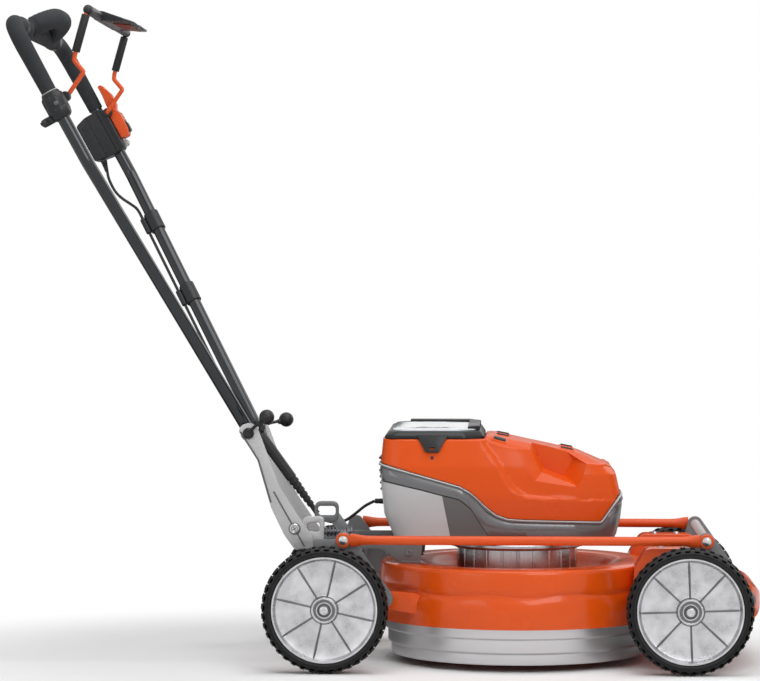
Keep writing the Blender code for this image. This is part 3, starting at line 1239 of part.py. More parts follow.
def build():
    """Every piece, in the order in which the mower goes together."""
    for end, axle_x in (("rear", REAR_AXLE_X), ("front", REAR_AXLE_X + WHEELBASE)):
        for side in ("right", "left"):
            make_wheel(end, side, axle_x)
    make_linkage()
    make_deck()
    make_nose()
    make_skirt()
    drum, rotor = make_motor()
    hang_on("spindle_axis", (DECK_X, 0, BLADE_Z), make_blade() + [rotor])
    make_housing()
    make_louvre()
    make_battery()
    make_lid()
    make_brackets()
    for side in ("right", "left"):
        make_cam_lever(side)
    handle = make_tubes() + make_crossbar() + [make_clamp()] + make_control_box()
    hang_on("fold_axis", (FOLD_X, 0, FOLD_Z), handle)
    make_bail()
    make_cable()


build()
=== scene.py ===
"""A cordless lawn mower, dressed: studio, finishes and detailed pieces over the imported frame.

Metres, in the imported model's own frame: +Z up, +X towards the front, +Y towards the mower's left.
Pieces on the right-hand side lie at -Y, which is the side that faces the camera.
"""

import logging
from collections.abc import Callable, Iterator, Sequence
from contextlib import contextmanager
from dataclasses import dataclass
from enum import Enum
from functools import cache
from math import atan2, ceil, cos, hypot, pi, radians, sin, tan

import bmesh
import bpy
from mathutils import Matrix, Vector
from mathutils.geometry import convex_hull_2d


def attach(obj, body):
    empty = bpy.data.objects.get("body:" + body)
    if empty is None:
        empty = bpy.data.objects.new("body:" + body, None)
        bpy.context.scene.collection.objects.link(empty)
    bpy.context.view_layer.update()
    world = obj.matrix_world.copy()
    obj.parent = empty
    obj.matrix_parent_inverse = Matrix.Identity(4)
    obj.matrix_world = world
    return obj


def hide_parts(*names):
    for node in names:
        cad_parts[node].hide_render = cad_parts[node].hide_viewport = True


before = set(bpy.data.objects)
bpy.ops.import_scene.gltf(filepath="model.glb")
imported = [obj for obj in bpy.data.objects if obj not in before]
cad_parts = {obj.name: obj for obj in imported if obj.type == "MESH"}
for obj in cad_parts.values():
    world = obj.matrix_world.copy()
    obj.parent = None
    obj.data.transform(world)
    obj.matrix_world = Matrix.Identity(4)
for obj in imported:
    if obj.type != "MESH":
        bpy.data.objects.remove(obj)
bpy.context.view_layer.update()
log = logging.getLogger("mower")

Point = tuple[float, float, float]
Flat = tuple[float, float]
Piece = bpy.types.Object
Tree = bpy.types.ShaderNodeTree
Socket = bpy.types.NodeSocket

# Places that more than one sub-assembly shares
DECK_X = 0.225
WHEEL_RADIUS = 0.11
REAR_AXLE_X = -0.106
WHEELBASE = 0.631
AXLES = (("rear", REAR_AXLE_X), ("front", REAR_AXLE_X + WHEELBASE))
TRACK_HALF = 0.2425
ROD_PIN = (0.03, 0.117)
DECK_PIVOT = (0.099, 0.014)
CROSS_TUBE = (0.046, 0.08)
ROD_Y = 0.204
CRANK_INNER_Y = 0.186
CRANK_OUTER_Y = 0.194
FOLD_X = -0.251
FOLD_Z = 0.408
HANDLE_ANGLE = radians(61.3)
TUBE_RADIUS = 0.0112
FOOT_HALF = 0.08
GRIP_HALF = 0.289
SPREAD_START_Z = 0.4165
SPREAD_SLOPE = 0.4484
HANDLE_TOP_Z = 1.125
BAIL_X = -0.551468
BAIL_Z = 0.997
BAIL_HALF = 0.256
BOX_Z = 0.955
BOX_LOW = -0.038
BOX_LEAD = -0.033
BRACKET_Y = 0.098
BOOT_Y = 0.055
CAP_SPOT = (-0.169, 0.2385)
BOOT_TOP = Vector((FOLD_X, BOOT_Y, FOLD_Z))
BOOT_END = Vector((-0.139, BOOT_Y, 0.254))
CABLE_RADIUS = 0.0027
ALONG = Vector((-cos(HANDLE_ANGLE), 0, sin(HANDLE_ANGLE)))
OUTWARD = Vector((sin(HANDLE_ANGLE), 0, cos(HANDLE_ANGLE)))
FLOOR_Z = -0.0006
OTHER_SIDE = Matrix.Scale(-1, 4, (0, 1, 0))


class Side(Enum):
    """The two sides of the mower, with the sign of their Y."""

    RIGHT = -1
    LEFT = 1

    @property
    def word(self) -> str:
        """The side's word in the node names."""
        return self.name.lower()


class Plane(Enum):
    """The plane in which a flat outline is drawn."""

    SIDE = "XZ"
    TOP = "XY"


# Modelling with the operators

def settle() -> None:
    """Leaves edit mode and deselects everything."""
    if bpy.context.mode != "OBJECT":
        bpy.ops.object.mode_set(mode="OBJECT")
    bpy.ops.object.select_all(action="DESELECT")


def only(thing: Piece) -> None:
    """Makes one object the active and the only selected one.

    Args:
        thing: The object.
    """
    settle()
    thing.select_set(True)
    bpy.context.view_layer.objects.active = thing


@contextmanager
def editing(thing: Piece) -> Iterator[bmesh.types.BMesh]:
    """Opens one object in edit mode.

    Args:
        thing: The mesh object to open.

    Returns:
        An iterator that gives the mesh being edited.
    """
    only(thing)
    bpy.ops.object.mode_set(mode="EDIT")
    mesh = bmesh.from_edit_mesh(thing.data)
    mesh.verts.ensure_lookup_table()
    yield mesh
    bmesh.update_edit_mesh(thing.data)
    bpy.ops.object.mode_set(mode="OBJECT")


def named(name: str) -> Piece:
    """Gives the object that an operator has just made its name.

    Args:
        name: The name.

    Returns:
        The object.
    """
    thing = bpy.context.object
    thing.name = name
    thing.data.name = name
    return thing


def ring_of(name: str, count: int, filled: bool) -> Piece:
    """Adds a circle whose points are then placed one by one.

    Args:
        name: The new object's name.
        count: How many points it has.
        filled: Whether it starts as one face.

    Returns:
        The new object.
    """
    settle()
    fill = "NGON" if filled else "NOTHING"
    bpy.ops.mesh.primitive_circle_add(vertices=count, radius=1, fill_type=fill, location=(0, 0, 0))
    return named(name)


def face_out(thing: Piece) -> Piece:
    """Merges doubles and turns the faces outwards.

    Args:
        thing: The piece.

    Returns:
        The same piece.
    """
    with editing(thing):
        bpy.ops.mesh.select_all(action="SELECT")
        bpy.ops.mesh.remove_doubles(threshold=0.00001)
        bpy.ops.mesh.normals_make_consistent(inside=False)
    return thing


def turned_out(thing: Piece) -> Piece:
    """Turns a piece's faces over.

    Args:
        thing: The piece.

    Returns:
        The same piece.
    """
    with editing(thing):
        bpy.ops.mesh.select_all(action="SELECT")
        bpy.ops.mesh.flip_normals()
    return thing


def aimed(direction: Sequence[float]) -> Matrix:
    """The turn that carries +Z to a direction."""
    return Vector((0, 0, 1)).rotation_difference(Vector(direction)).to_matrix().to_4x4()


def placed(thing: Piece, matrix: Matrix) -> Piece:
    """Moves an object's mesh, and leaves the object at the origin.

    Args:
        thing: The object.
        matrix: The move.

    Returns:
        The same object.
    """
    thing.data.transform(matrix)
    thing.data.update()
    return thing


def turned(name: str, profile: Sequence[Flat], centre: Sequence[float] = (0, 0, 0),
           axis: Sequence[float] = (0, 0, 1), steps: int = 64, closed: bool = False) -> Piece:
    """Spins a profile into a round piece.

    Args:
        name: The piece's name.
        profile: Points of (radius, height) along the outer line.
        centre: Where height nought lies.
        axis: The direction of the turning axis.
        steps: How many steps the spin takes.
        closed: Whether the profile's last point joins the first.

    Returns:
        The round piece.
    """
    thing = ring_of(name, len(profile), False)
    with editing(thing) as mesh:
        for vert, (radius, height) in zip(mesh.verts, profile):
            vert.co = (radius, 0, height)
        if not closed:
            ends = {mesh.verts[0], mesh.verts[-1]}
            bmesh.ops.delete(mesh, geom=[e for e in mesh.edges if set(e.verts) == ends], context="EDGES")
        bmesh.update_edit_mesh(thing.data)
        bpy.ops.mesh.select_all(action="SELECT")
        bpy.ops.mesh.spin(steps=steps, angle=2 * pi, center=(0, 0, 0), axis=(0, 0, 1))
    placed(thing, Matrix.Translation(centre) @ aimed(axis))
    return face_out(thing)


def extruded(name: str, outline: Sequence[Flat], low: float, high: float,
             plane: Plane = Plane.SIDE) -> Piece:
    """Extrudes a flat outline: along Y from the side plane, along Z from the top one.

    Args:
        name: The piece's name.
        outline: The closed outline's points.
        low: Where the extrusion starts.
        high: Where it ends.
        plane: The plane of the outline.

    Returns:
        The extruded piece.
    """
    side = plane is Plane.SIDE
    thing = ring_of(name, len(outline), True)
    with editing(thing) as mesh:
        for vert, (a, b) in zip(mesh.verts, outline):
            vert.co = (a, low, b) if side else (a, b, low)
        bmesh.update_edit_mesh(thing.data)
        bpy.ops.mesh.select_all(action="SELECT")
        step = (0, high - low, 0) if side else (0, 0, high - low)
        bpy.ops.mesh.extrude_region_move(TRANSFORM_OT_translate={"value": step})
    return face_out(thing)


def boxed(name: str, low: Point, high: Point) -> Piece:
    """Adds a cube at its size and place, ready to be shaped.

    Args:
        name: The piece's name.
        low: Its lowest corner.
        high: Its highest corner.

    Returns:
        The block.
    """
    settle()
    middle = [(a + b) / 2 for a, b in zip(low, high)]
    bpy.ops.mesh.primitive_cube_add(size=1, location=(0, 0, 0))
    thing = named(name)
    size = Matrix.Diagonal([b - a for a, b in zip(low, high)] + [1])
    return placed(thing, Matrix.Translation(middle) @ size)


def bar(name: str, start: Sequence[float], end: Sequence[float], radius: float, edge: float = 0.0008,
        steps: int = 32) -> Piece:
    """A round bar between two points, with its end edges rounded.

    Args:
        name: The piece's name.
        start: One end.
        end: The other end.
        radius: The bar's radius.
        edge: How far the end edges are rounded.
        steps: How many sides it has.

    Returns:
        The bar.
    """
    start, end = Vector(start), Vector(end)
    length = (end - start).length
    near = edge * 0.3
    profile = [(0, length), (radius - edge, length), (radius - near, length - near), (radius, length - edge),
               (radius, edge), (radius - near, near), (radius - edge, 0), (0, 0)]
    return turned(name, profile, start, end - start, steps)


def swept(name: str, route: Sequence[Sequence[float]], radius: float, resolution: int = 6,
          taper: Callable[[float], float] | None = None) -> Piece:
    """Adds a curve along a route, gives it a round section and converts it to a mesh.

    Args:
        name: The piece's name.
        route: The points it follows.
        radius: The section's radius.
        resolution: How round the section is.
        taper: A share of the radius for each share of the way, or None.

    Returns:
        The tube as a mesh.
    """
    settle()
    bpy.ops.curve.primitive_nurbs_path_add(location=(0, 0, 0))
    thing = named(name)
    curve = thing.data
    curve.splines.clear()
    curve.dimensions = "3D"
    curve.bevel_depth = radius
    curve.bevel_resolution = resolution
    curve.use_fill_caps = True
    line = curve.splines.new("POLY")
    line.points.add(len(route) - 1)
    for k, (point, place) in enumerate(zip(line.points, route)):
        point.co = (*place, 1)
        point.radius = taper(k / (len(route) - 1)) if taper else 1
    only(thing)
    bpy.ops.object.convert(target="MESH")
    return face_out(bpy.context.object)


def lofted(name: str, rings: Sequence[Sequence[Sequence[float]]], closed_ends: bool = True) -> Piece:
    """Bridges rings of points into one skin.

    Args:
        name: The piece's name.
        rings: Rings with the same number of points.
        closed_ends: Whether the first and the last ring are filled.

    Returns:
        The skin.
    """
    count = len(rings[0])
    thing = ring_of(name, count, False)
    with editing(thing) as mesh:
        loops = [list(mesh.verts)]
        for vert, place in zip(loops[0], rings[0]):
            vert.co = place
        for ring in rings[1:]:
            loops.append([mesh.verts.new(place) for place in ring])
        for first, second in zip(loops, loops[1:]):
            for k in range(count):
                m = (k + 1) % count
                mesh.faces.new((first[k], first[m], second[m], second[k]))
        if closed_ends:
            mesh.faces.new(loops[0][::-1])
            mesh.faces.new(loops[-1])
    return face_out(thing)


def apply_modifiers(thing: Piece) -> Piece:
    """Applies every modifier of an object.

    Args:
        thing: The object.

    Returns:
        The same object.
    """
    only(thing)
    for change in list(thing.modifiers):
        bpy.ops.object.modifier_apply(modifier=change.name)
    return thing


def soften(thing: Piece, width: float, segments: int = 2, angle: float = 30) -> Piece:
    """Rounds the edges that are sharper than an angle.

    Args:
        thing: The piece.
        width: The bevel's width.
        segments: How many steps it has.
        angle: The least angle of an edge, in degrees.

    Returns:
        The same piece.
    """
    change = thing.modifiers.new("edge", "BEVEL")
    change.width = width
    change.segments = segments
    change.limit_method = "ANGLE"
    change.angle_limit = radians(angle)
    change.use_clamp_overlap = True
    return apply_modifiers(thing)


def carved(thing: Piece, *cutters: Piece, operation: str = "DIFFERENCE") -> Piece:
    """Cuts, joins or crosses a piece with others, which are used up.

    Args:
        thing: The piece.
        cutters: What it is cut by.
        operation: The Boolean modifier's own word.

    Returns:
        The same piece.
    """
    for cutter in cutters:
        change = thing.modifiers.new("carve", "BOOLEAN")
        change.operation = operation
        change.solver = "EXACT"
        change.object = cutter
        apply_modifiers(thing)
        discarded(cutter)
    return thing


def merged(name: str, things: Sequence[Piece]) -> Piece:
    """Joins several objects into one with join, under a new name.

    Args:
        name: The new name.
        things: The objects, of which the first one stays.

    Returns:
        The joined object.
    """
    settle()
    for thing in things:
        thing.select_set(True)
    bpy.context.view_layer.objects.active = things[0]
    if len(things) > 1:
        bpy.ops.object.join()
    return named(name)


def copied(thing: Piece, name: str, matrix: Matrix | None = None) -> Piece:
    """Duplicates an object with its own mesh.

    Args:
        thing: What is copied.
        name: The copy's name.
        matrix: Where the copy's mesh is moved to, or None.

    Returns:
        The copy.
    """
    only(thing)
    bpy.ops.object.duplicate(linked=False)
    made = named(name)
    if matrix is not None:
        placed(made, matrix)
        if matrix.determinant() < 0:
            turned_out(made)
    return made


def across(thing: Piece, name: str) -> Piece:
    """A copy of a right-hand piece, turned over to the left-hand side."""
    return copied(thing, name, OTHER_SIDE)


def discarded(*things: Piece) -> None:
    """Removes objects that have served as patterns or cutters."""
    for thing in things:
        bpy.data.objects.remove(thing, do_unlink=True)


def pin(name: str, spot: Flat, start: float, end: float, radius: float, edge: float = 0.0008,
        steps: int = 32) -> Piece:
    """A round bar that lies along Y.

    Args:
        name: The piece's name.
        spot: Its X and Z.
        start: The Y of one end.
        end: The Y of the other end.
        radius: The bar's radius.
        edge: How far the end edges are rounded.
        steps: How many sides it has.

    Returns:
        The bar.
    """
    return bar(name, (spot[0], start, spot[1]), (spot[0], end, spot[1]), radius, edge, steps)


def bordered(thing: Piece, border: float, slope: float, depth: float) -> None:
    """Sinks a plate's outer face inside a raised border.

    Args:
        thing: A right-hand plate.
        border: The border's width.
        slope: The width of the slope inside it.
        depth: How deep the face lies.
    """
    with editing(thing) as mesh:
        bpy.ops.mesh.select_all(action="DESELECT")
        for face in mesh.faces:
            face.select_set(face.normal.y < -0.9)
        bmesh.update_edit_mesh(thing.data)
        bpy.ops.mesh.inset(thickness=border, depth=0)
        bpy.ops.mesh.inset(thickness=slope, depth=-depth)


def around(thing: Piece, count: int, axis: str = "Z", start: float = 0.0) -> Piece:
    """Repeats a piece round an axis through the origin and joins the copies.

    Args:
        thing: What is repeated.
        count: How many there are.
        axis: The axis's letter.
        start: The first copy's angle, in radians.

    Returns:
        All the copies as one object.
    """
    name = thing.name
    made = [copied(thing, f"{name}_{k}", Matrix.Rotation(start + 2 * pi * k / count, 4, axis))
            for k in range(count)]
    discarded(thing)
    return merged(name, made)


def finished(thing: Piece, body: str, finish: "Finish", stands_for: Sequence[str] = (),
             angle: float = 32) -> Piece:
    """Shades, dresses and mounts a finished piece.

    Args:
        thing: The piece.
        body: The body that it rides on.
        finish: Its surface finish.
        stands_for: The nodes that it replaces.
        angle: Edges sharper than this many degrees stay sharp.

    Returns:
        The same piece.
    """
    only(thing)
    bpy.ops.object.shade_smooth_by_angle(angle=radians(angle))
    thing.data.materials.clear()
    thing.data.materials.append(finish.build())
    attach(thing, body)
    if stands_for:
        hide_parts(*stands_for)
    log.info("%s rides on %s, %d faces", thing.name, body, len(thing.data.polygons))
    return thing


def both(thing: Piece, name: str, body: str, finish: "Finish", node: str = "", angle: float = 32) -> None:
    """Finishes a right-hand piece and its copy on the left, under names where * stands for the side.

    Args:
        thing: The right-hand piece.
        name: The pieces' names.
        body: The bodies that they ride on.
        finish: Their surface finish.
        node: The nodes that they replace, or nothing.
        angle: Edges sharper than this many degrees stay sharp.
    """
    left = across(thing, name.replace("*", "left"))
    thing.name = thing.data.name = name.replace("*", "right")
    for piece, side in ((left, "left"), (thing, "right")):
        nodes = [node.replace("*", side)] if node else ()
        finished(piece, body.replace("*", side), finish, nodes, angle)


# Lines and outlines

def moved(origin: Flat, steps: Sequence[Flat]) -> list[Flat]:
    """Flat points given by their distances from one point."""
    return [(origin[0] + a, origin[1] + b) for a, b in steps]


def rounded(points: Sequence[Flat], radius: float, steps: int = 5) -> list[Flat]:
    """A closed outline with each corner turned to an arc.

    Args:
        points: The outline's corners.
        radius: How far from a corner its arc starts.
        steps: How many steps an arc has.

    Returns:
        The rounded outline.
    """
    made = []
    count = len(points)
    for k, corner in enumerate(points):
        corner = Vector(corner)
        before = Vector(points[k - 1]) - corner
        after = Vector(points[(k + 1) % count]) - corner
        reach = min(radius, before.length * 0.45, after.length * 0.45)
        start = corner + before.normalized() * reach
        end = corner + after.normalized() * reach
        for step in range(steps + 1):
            t = step / steps
            made.append(tuple(start * (1 - t) ** 2 + corner * 2 * t * (1 - t) + end * t**2))
    return made


def bent(points: Sequence[Sequence[float]], radius: float, steps: int = 10) -> list[Vector]:
    """An open route in space with each inner corner turned to an arc.

    Args:
        points: The route's corners.
        radius: The arcs' radius.
        steps: How many steps an arc has.

    Returns:
        The points of the bent route.
    """
    points = [Vector(p) for p in points]
    made = [points[0]]
    for before, corner, after in zip(points, points[1:], points[2:]):
        a = (before - corner).normalized()
        b = (after - corner).normalized()
        half = a.angle(b) / 2
        reach = radius / tan(half)
        centre = corner + (a + b).normalized() * (radius / sin(half))
        start = corner + a * reach - centre
        end = corner + b * reach - centre
        swing = start.angle(end)
        for k in range(steps + 1):
            t = k / steps
            made.append(centre + (start * sin((1 - t) * swing) + end * sin(t * swing)) / sin(swing))
    made.append(points[-1])
    return made


def flowing(points: Sequence[Sequence[float]], step: float) -> list[Vector]:
    """A smooth curve through a route's points, read at even steps.

    Args:
        points: The route's points, flat or in space.
        step: The greatest distance between the points read.

    Returns:
        The curve's points.
    """
    points = [Vector(p) for p in points]
    ends = [points[0] * 2 - points[1]] + points + [points[-1] * 2 - points[-2]]
    made = [points[0]]
    for a, b, c, d in zip(ends, ends[1:], ends[2:], ends[3:]):
        count = max(1, ceil((c - b).length / step))
        for k in range(1, count + 1):
            t = k / count
            square = (a * 2 - b * 5 + c * 4 - d) * t**2
            cube = (b * 3 - a - c * 3 + d) * t**3
            made.append((b * 2 + (c - a) * t + square + cube) / 2)
    return made


def between(table: Sequence[Flat], x: float) -> float:
    """Reads a table of (x, value) by straight lines, held level past its ends.

    Args:
        table: The rows, in the order of their x.
        x: Where it is read.

    Returns:
        The value there.
    """
    if x <= table[0][0]:
        return table[0][1]
    for (x0, v0), (x1, v1) in zip(table, table[1:]):
        if x <= x1:
            return v0 + (v1 - v0) * (x - x0) / (x1 - x0)
    return table[-1][1]


def eased(value: float) -> float:
    """A smooth step from nought to one."""
    value = min(max(value, 0.0), 1.0)
    return value * value * (3 - 2 * value)


def hull(circles: Sequence[Point], steps: int = 36) -> list[Flat]:
    """The outline that a band round several circles takes.

    Args:
        circles: The circles as (x, z, radius).
        steps: How many points each circle gives.

    Returns:
        The band's outline.
    """
    cloud = [Vector((x + r * cos(2 * pi * k / steps), z + r * sin(2 * pi * k / steps)))
             for x, z, r in circles for k in range(steps)]
    return [tuple(cloud[i]) for i in convex_hull_2d(cloud)]


def spread(z: float) -> float:
    """Half the distance between the two handle tubes at a height."""
    return min(max(FOOT_HALF + (z - SPREAD_START_Z) * SPREAD_SLOPE, FOOT_HALF), GRIP_HALF)


def on_handle(z: float, s: float = 0.0, n: float = 0.0, y: float | None = None, sign: int = 1) -> Vector:
    """A point by a handle tube's centre line.

    Args:
        z: The height on the centre line.
        s: A move along the tube.
        n: A move out from the handle's front.
        y: The distance from the mower's middle, or None for the tube's own.
        sign: The side, as the sign of Y.

    Returns:
        The point.
    """
    base = Vector((FOLD_X - (z - FOLD_Z) / tan(HANDLE_ANGLE), 0, z))
    place = base + ALONG * s + OUTWARD * n
    place.y = sign * (spread(place.z) if y is None else y)
    return place


# Finishes

EVEN = (1.0, 1.0, 1.0)
COAT_ROUGHNESS = 0.08
WHITE = (1.0, 1.0, 1.0, 1.0)


def from_srgb(colour: Point) -> tuple[float, ...]:
    """A colour of three channels from 0 to 255 as linear ones, with a full alpha."""
    shares = [value / 255 for value in colour]
    return (*[s / 12.92 if s <= 0.04045 else ((s + 0.055) / 1.055) ** 2.4 for s in shares], 1)


def feed(node: bpy.types.Node, given: dict[str | int, object]) -> None:
    """Feeds a node's inputs: a socket is linked, and anything else is set as the value.

    Args:
        node: The node.
        given: What goes into each of its inputs.
    """
    for label, value in given.items():
        if isinstance(value, Socket):
            node.id_data.links.new(value, node.inputs[label])
        else:
            node.inputs[label].default_value = value


def shader_node(tree: Tree, kind: str, given: dict[str | int, object] | None = None,
                **settings: object) -> bpy.types.Node:
    """Adds a shader node and feeds its inputs.

    Args:
        tree: The nodes that it joins.
        kind: Its type, without the word that all types start with.
        given: What goes into its inputs.
        settings: Its own settings.

    Returns:
        The node.
    """
    made = tree.nodes.new(f"ShaderNode{kind}")
    for label, value in settings.items():
        setattr(made, label, value)
    feed(made, given or {})
    return made


class Effects:
    """The shader node groups that the finishes share, each built once."""

    @staticmethod
    def start(name: str, inputs: dict[str, str | float],
              outputs: dict[str, str]) -> tuple[Tree, bpy.types.NodeOutputs, bpy.types.Node]:
        """Makes an empty group with named sockets.

        Args:
            name: The group's name.
            inputs: The sockets going in, each with its kind or, for a plain number, its value.
            outputs: The sockets coming out, each with its kind.

        Returns:
            The group, the sockets that its input node gives, and its output node.
        """
        tree = bpy.data.node_groups.new(name, "ShaderNodeTree")
        for label, kind in inputs.items():
            word = kind if isinstance(kind, str) else "Float"
            socket = tree.interface.new_socket(name=label, in_out="INPUT", socket_type=f"NodeSocket{word}")
            if word == "Float":
                socket.default_value = kind
        for label, kind in outputs.items():
            tree.interface.new_socket(name=label, in_out="OUTPUT", socket_type=f"NodeSocket{kind}")
        return tree, tree.nodes.new("NodeGroupInput").outputs, tree.nodes.new("NodeGroupOutput")

    @staticmethod
    @cache
    def patches() -> Tree:
        """Soft lighter and darker patches over a colour, as paint and castings have.

        Returns:
            The group, which gives a colour and the patches' mask.
        """
        tree, start, end = Effects.start(
            "surface_patches", {"Vector": "Vector", "Colour": "Color", "Scale": 8, "Depth": 0.06},
            {"Colour": "Color", "Mask": "Float"})
        noise = shader_node(
            tree, "TexNoise", {"Vector": start["Vector"], "Scale": start["Scale"], "Detail": 5,
                "Roughness": 0.55})
        level = shader_node(
            tree, "MapRange", {"Value": noise.outputs["Fac"], "From Min": 0.3, "From Max": 0.7})
        swing = shader_node(tree, "Math", {0: level.outputs["Result"], 1: 0.5}, operation="SUBTRACT")
        amount = shader_node(
            tree, "Math", {0: swing.outputs[0], 1: start["Depth"], 2: 1}, operation="MULTIPLY_ADD")
        shade = shader_node(tree, "HueSaturation", {"Value": amount.outputs[0], "Color": start["Colour"]})
        feed(end, {"Colour": shade.outputs["Color"], "Mask": level.outputs["Result"]})
        return tree

    @staticmethod
    @cache
    def grain() -> Tree:
        """A fine grain, stretched into brush lines where the vector is, as height and normal.

        Returns:
            The group.
        """
        tree, start, end = Effects.start(
            "fine_grain", {"Vector": "Vector", "Scale": 900, "Depth": 0.02, "Pores": 0},
            {"Normal": "Vector", "Height": "Float"})
        place = {"Vector": start["Vector"], "Scale": start["Scale"]}
        noise = shader_node(tree, "TexNoise", place | {"Detail": 3})
        cells = shader_node(tree, "TexVoronoi", place)
        mixed = shader_node(
            tree, "Mix", {0: start["Pores"], 2: noise.outputs["Fac"], 3: cells.outputs["Distance"]},
            data_type="FLOAT")
        bump = shader_node(
            tree, "Bump", {"Distance": 0.0006, "Height": mixed.outputs[0], "Strength": start["Depth"]})
        feed(end, {"Normal": bump.outputs["Normal"], "Height": mixed.outputs[0]})
        return tree

    @staticmethod
    @cache
    def worn_and_highlit_edges() -> Tree:
        """Lighter edges where a surface stands out, broken up by a noise: partly scuffing, partly a painted
        highlight.

        Returns:
            The group, which gives a colour and the mask of the lightened edges.
        """
        tree, start, end = Effects.start(
            "worn_and_highlit_edges", {"Vector": "Vector", "Colour": "Color", "Worn And Highlit Colour": "Color", "Amount": 0.3},
            {"Colour": "Color", "Mask": "Float"})
        form = shader_node(tree, "NewGeometry")
        level = shader_node(
            tree, "MapRange", {"Value": form.outputs["Pointiness"], "From Min": 0.52, "From Max": 0.62})
        noise = shader_node(tree, "TexNoise", {"Vector": start["Vector"], "Scale": 140})
        broken = shader_node(
            tree, "Math", {0: level.outputs["Result"], 1: noise.outputs["Fac"]}, operation="MULTIPLY")
        amount = shader_node(
            tree, "Math", {0: broken.outputs[0], 1: start["Amount"]}, operation="MULTIPLY", use_clamp=True)
        blend = shader_node(
            tree, "Mix", {0: amount.outputs[0], 6: start["Colour"], 7: start["Worn And Highlit Colour"]},
            data_type="RGBA")
        feed(end, {"Colour": blend.outputs[2], "Mask": amount.outputs[0]})
        return tree


@dataclass(frozen=True)
class Finish:
    """One surface finish and the fine detail that it carries.

    Attributes:
        name: The material's name.
        colour: Its colour, each channel from 0 to 255.
        slot: The record's slot that it belongs to; not used.
        roughness: The least and the greatest roughness.
        metallic: How metallic it is.
        coat: The weight of a clear coat.
        shine: The level of the plain reflection.
        patch: How many patches there are to a metre, and how much they change the colour.
        grain: How many grains there are to a metre, and how strong their bump is.
        pores: How far the grain is one of round pores.
        stretch: The grain's scale along X, Y and Z.
        edge_wear_and_highlight: How strongly standing edges are lightened, partly by scuffing and partly as a
            painted highlight.
        edge_wear_and_highlight_colour: The colour of the lightened edges.
    """

    name: str
    colour: Point
    slot: str
    roughness: Flat = (0.35, 0.45)
    metallic: float = 0.0
    coat: float = 0.0
    shine: float = 0.35
    patch: Flat = (9.0, 0.08)
    grain: Flat = (900.0, 0.05)
    pores: float = 0.0
    stretch: Point = EVEN
    edge_wear_and_highlight: float = 0.0
    edge_wear_and_highlight_colour: Point = (210, 205, 200)

    def build(self) -> bpy.types.Material:
        """Builds the material once, and gives it back after that.

        Returns:
            The material.
        """
        if self.name in bpy.data.materials:
            return bpy.data.materials[self.name]
        material = bpy.data.materials.new(self.name)
        material.use_nodes = True
        tree = material.node_tree
        place = shader_node(tree, "TexCoord").outputs["Object"]
        turn = shader_node(
            tree, "Mapping", {"Vector": place, "Location": (-DECK_X, 0, 0), "Scale": self.stretch})
        patches = shader_node(
            tree, "Group", {"Vector": place, "Colour": from_srgb(self.colour), "Scale": self.patch[0],
                "Depth": self.patch[1]}, node_tree=Effects.patches())
        grain = shader_node(
            tree, "Group", {"Vector": turn.outputs["Vector"], "Scale": self.grain[0], "Depth": self.grain[1],
                "Pores": self.pores}, node_tree=Effects.grain())
        colour = patches.outputs["Colour"]
        # Lightened standing edges: partly scuffing, partly a painted highlight.
        if self.edge_wear_and_highlight:
            worn_and_highlit = shader_node(
                tree, "Group", {"Vector": place, "Colour": colour, "Amount": self.edge_wear_and_highlight,
                    "Worn And Highlit Colour": from_srgb(self.edge_wear_and_highlight_colour)}, node_tree=Effects.worn_and_highlit_edges())
            colour = worn_and_highlit.outputs["Colour"]
        if self.stretch != EVEN:
            lines = shader_node(
                tree, "MapRange", {"Value": grain.outputs["Height"], "From Min": 0.3, "From Max": 0.7,
                    "To Min": 0.8, "To Max": 1.12})
            shade = shader_node(tree, "HueSaturation", {"Value": lines.outputs["Result"], "Color": colour})
            colour = shade.outputs["Color"]
        rough = shader_node(
            tree, "MapRange", {"Value": patches.outputs["Mask"], "To Min": self.roughness[0],
                "To Max": self.roughness[1]})
        feed(tree.nodes["Principled BSDF"], {
            "Base Color": colour, "Roughness": rough.outputs["Result"], "Normal": grain.outputs["Normal"],
            "Metallic": self.metallic, "Specular IOR Level": self.shine, "Coat Weight": self.coat,
            "Coat Roughness": COAT_ROUGHNESS})
        return material


DECK_PAINT = Finish(
    "deck_paint", (222, 82, 14), "orange_paint", (0.2, 0.3), coat=0.26, shine=0.2, patch=(6, 0.1),
    grain=(420, 0.05), edge_wear_and_highlight=0.1, edge_wear_and_highlight_colour=(240, 135, 75))
COVER_PLASTIC = Finish(
    "cover_plastic", (222, 82, 16), "orange_paint", (0.26, 0.36), coat=0.08, shine=0.2, patch=(9.0, 0.05),
    grain=(1500, 0.04), edge_wear_and_highlight=0.2, edge_wear_and_highlight_colour=(245, 150, 90))
ROD_PAINT = Finish(
    "rod_paint", (222, 82, 22), "orange_powder_coat", (0.36, 0.46), coat=0.05, grain=(1300, 0.12), edge_wear_and_highlight=0.2,
    edge_wear_and_highlight_colour=(250, 150, 100))
BRUSHED_STEEL = Finish(
    "brushed_steel", (184, 184, 186), "brushed_steel", (0.16, 0.28), metallic=1.0, patch=(5, 0.16),
    grain=(30, 0.05), stretch=(0.6, 0.6, 60.0))
CAST_METAL = Finish(
    "cast_metal", (192, 192, 194), "cast_aluminium", (0.2, 0.42), metallic=1.0, patch=(34, 0.42),
    grain=(620, 0.9), edge_wear_and_highlight=0.5, edge_wear_and_highlight_colour=(235, 235, 235))
INLAY_RED = Finish(
    "inlay_red", (120, 36, 14), "orange_powder_coat", (0.4, 0.5), shine=0.2, grain=(1300, 0.12))
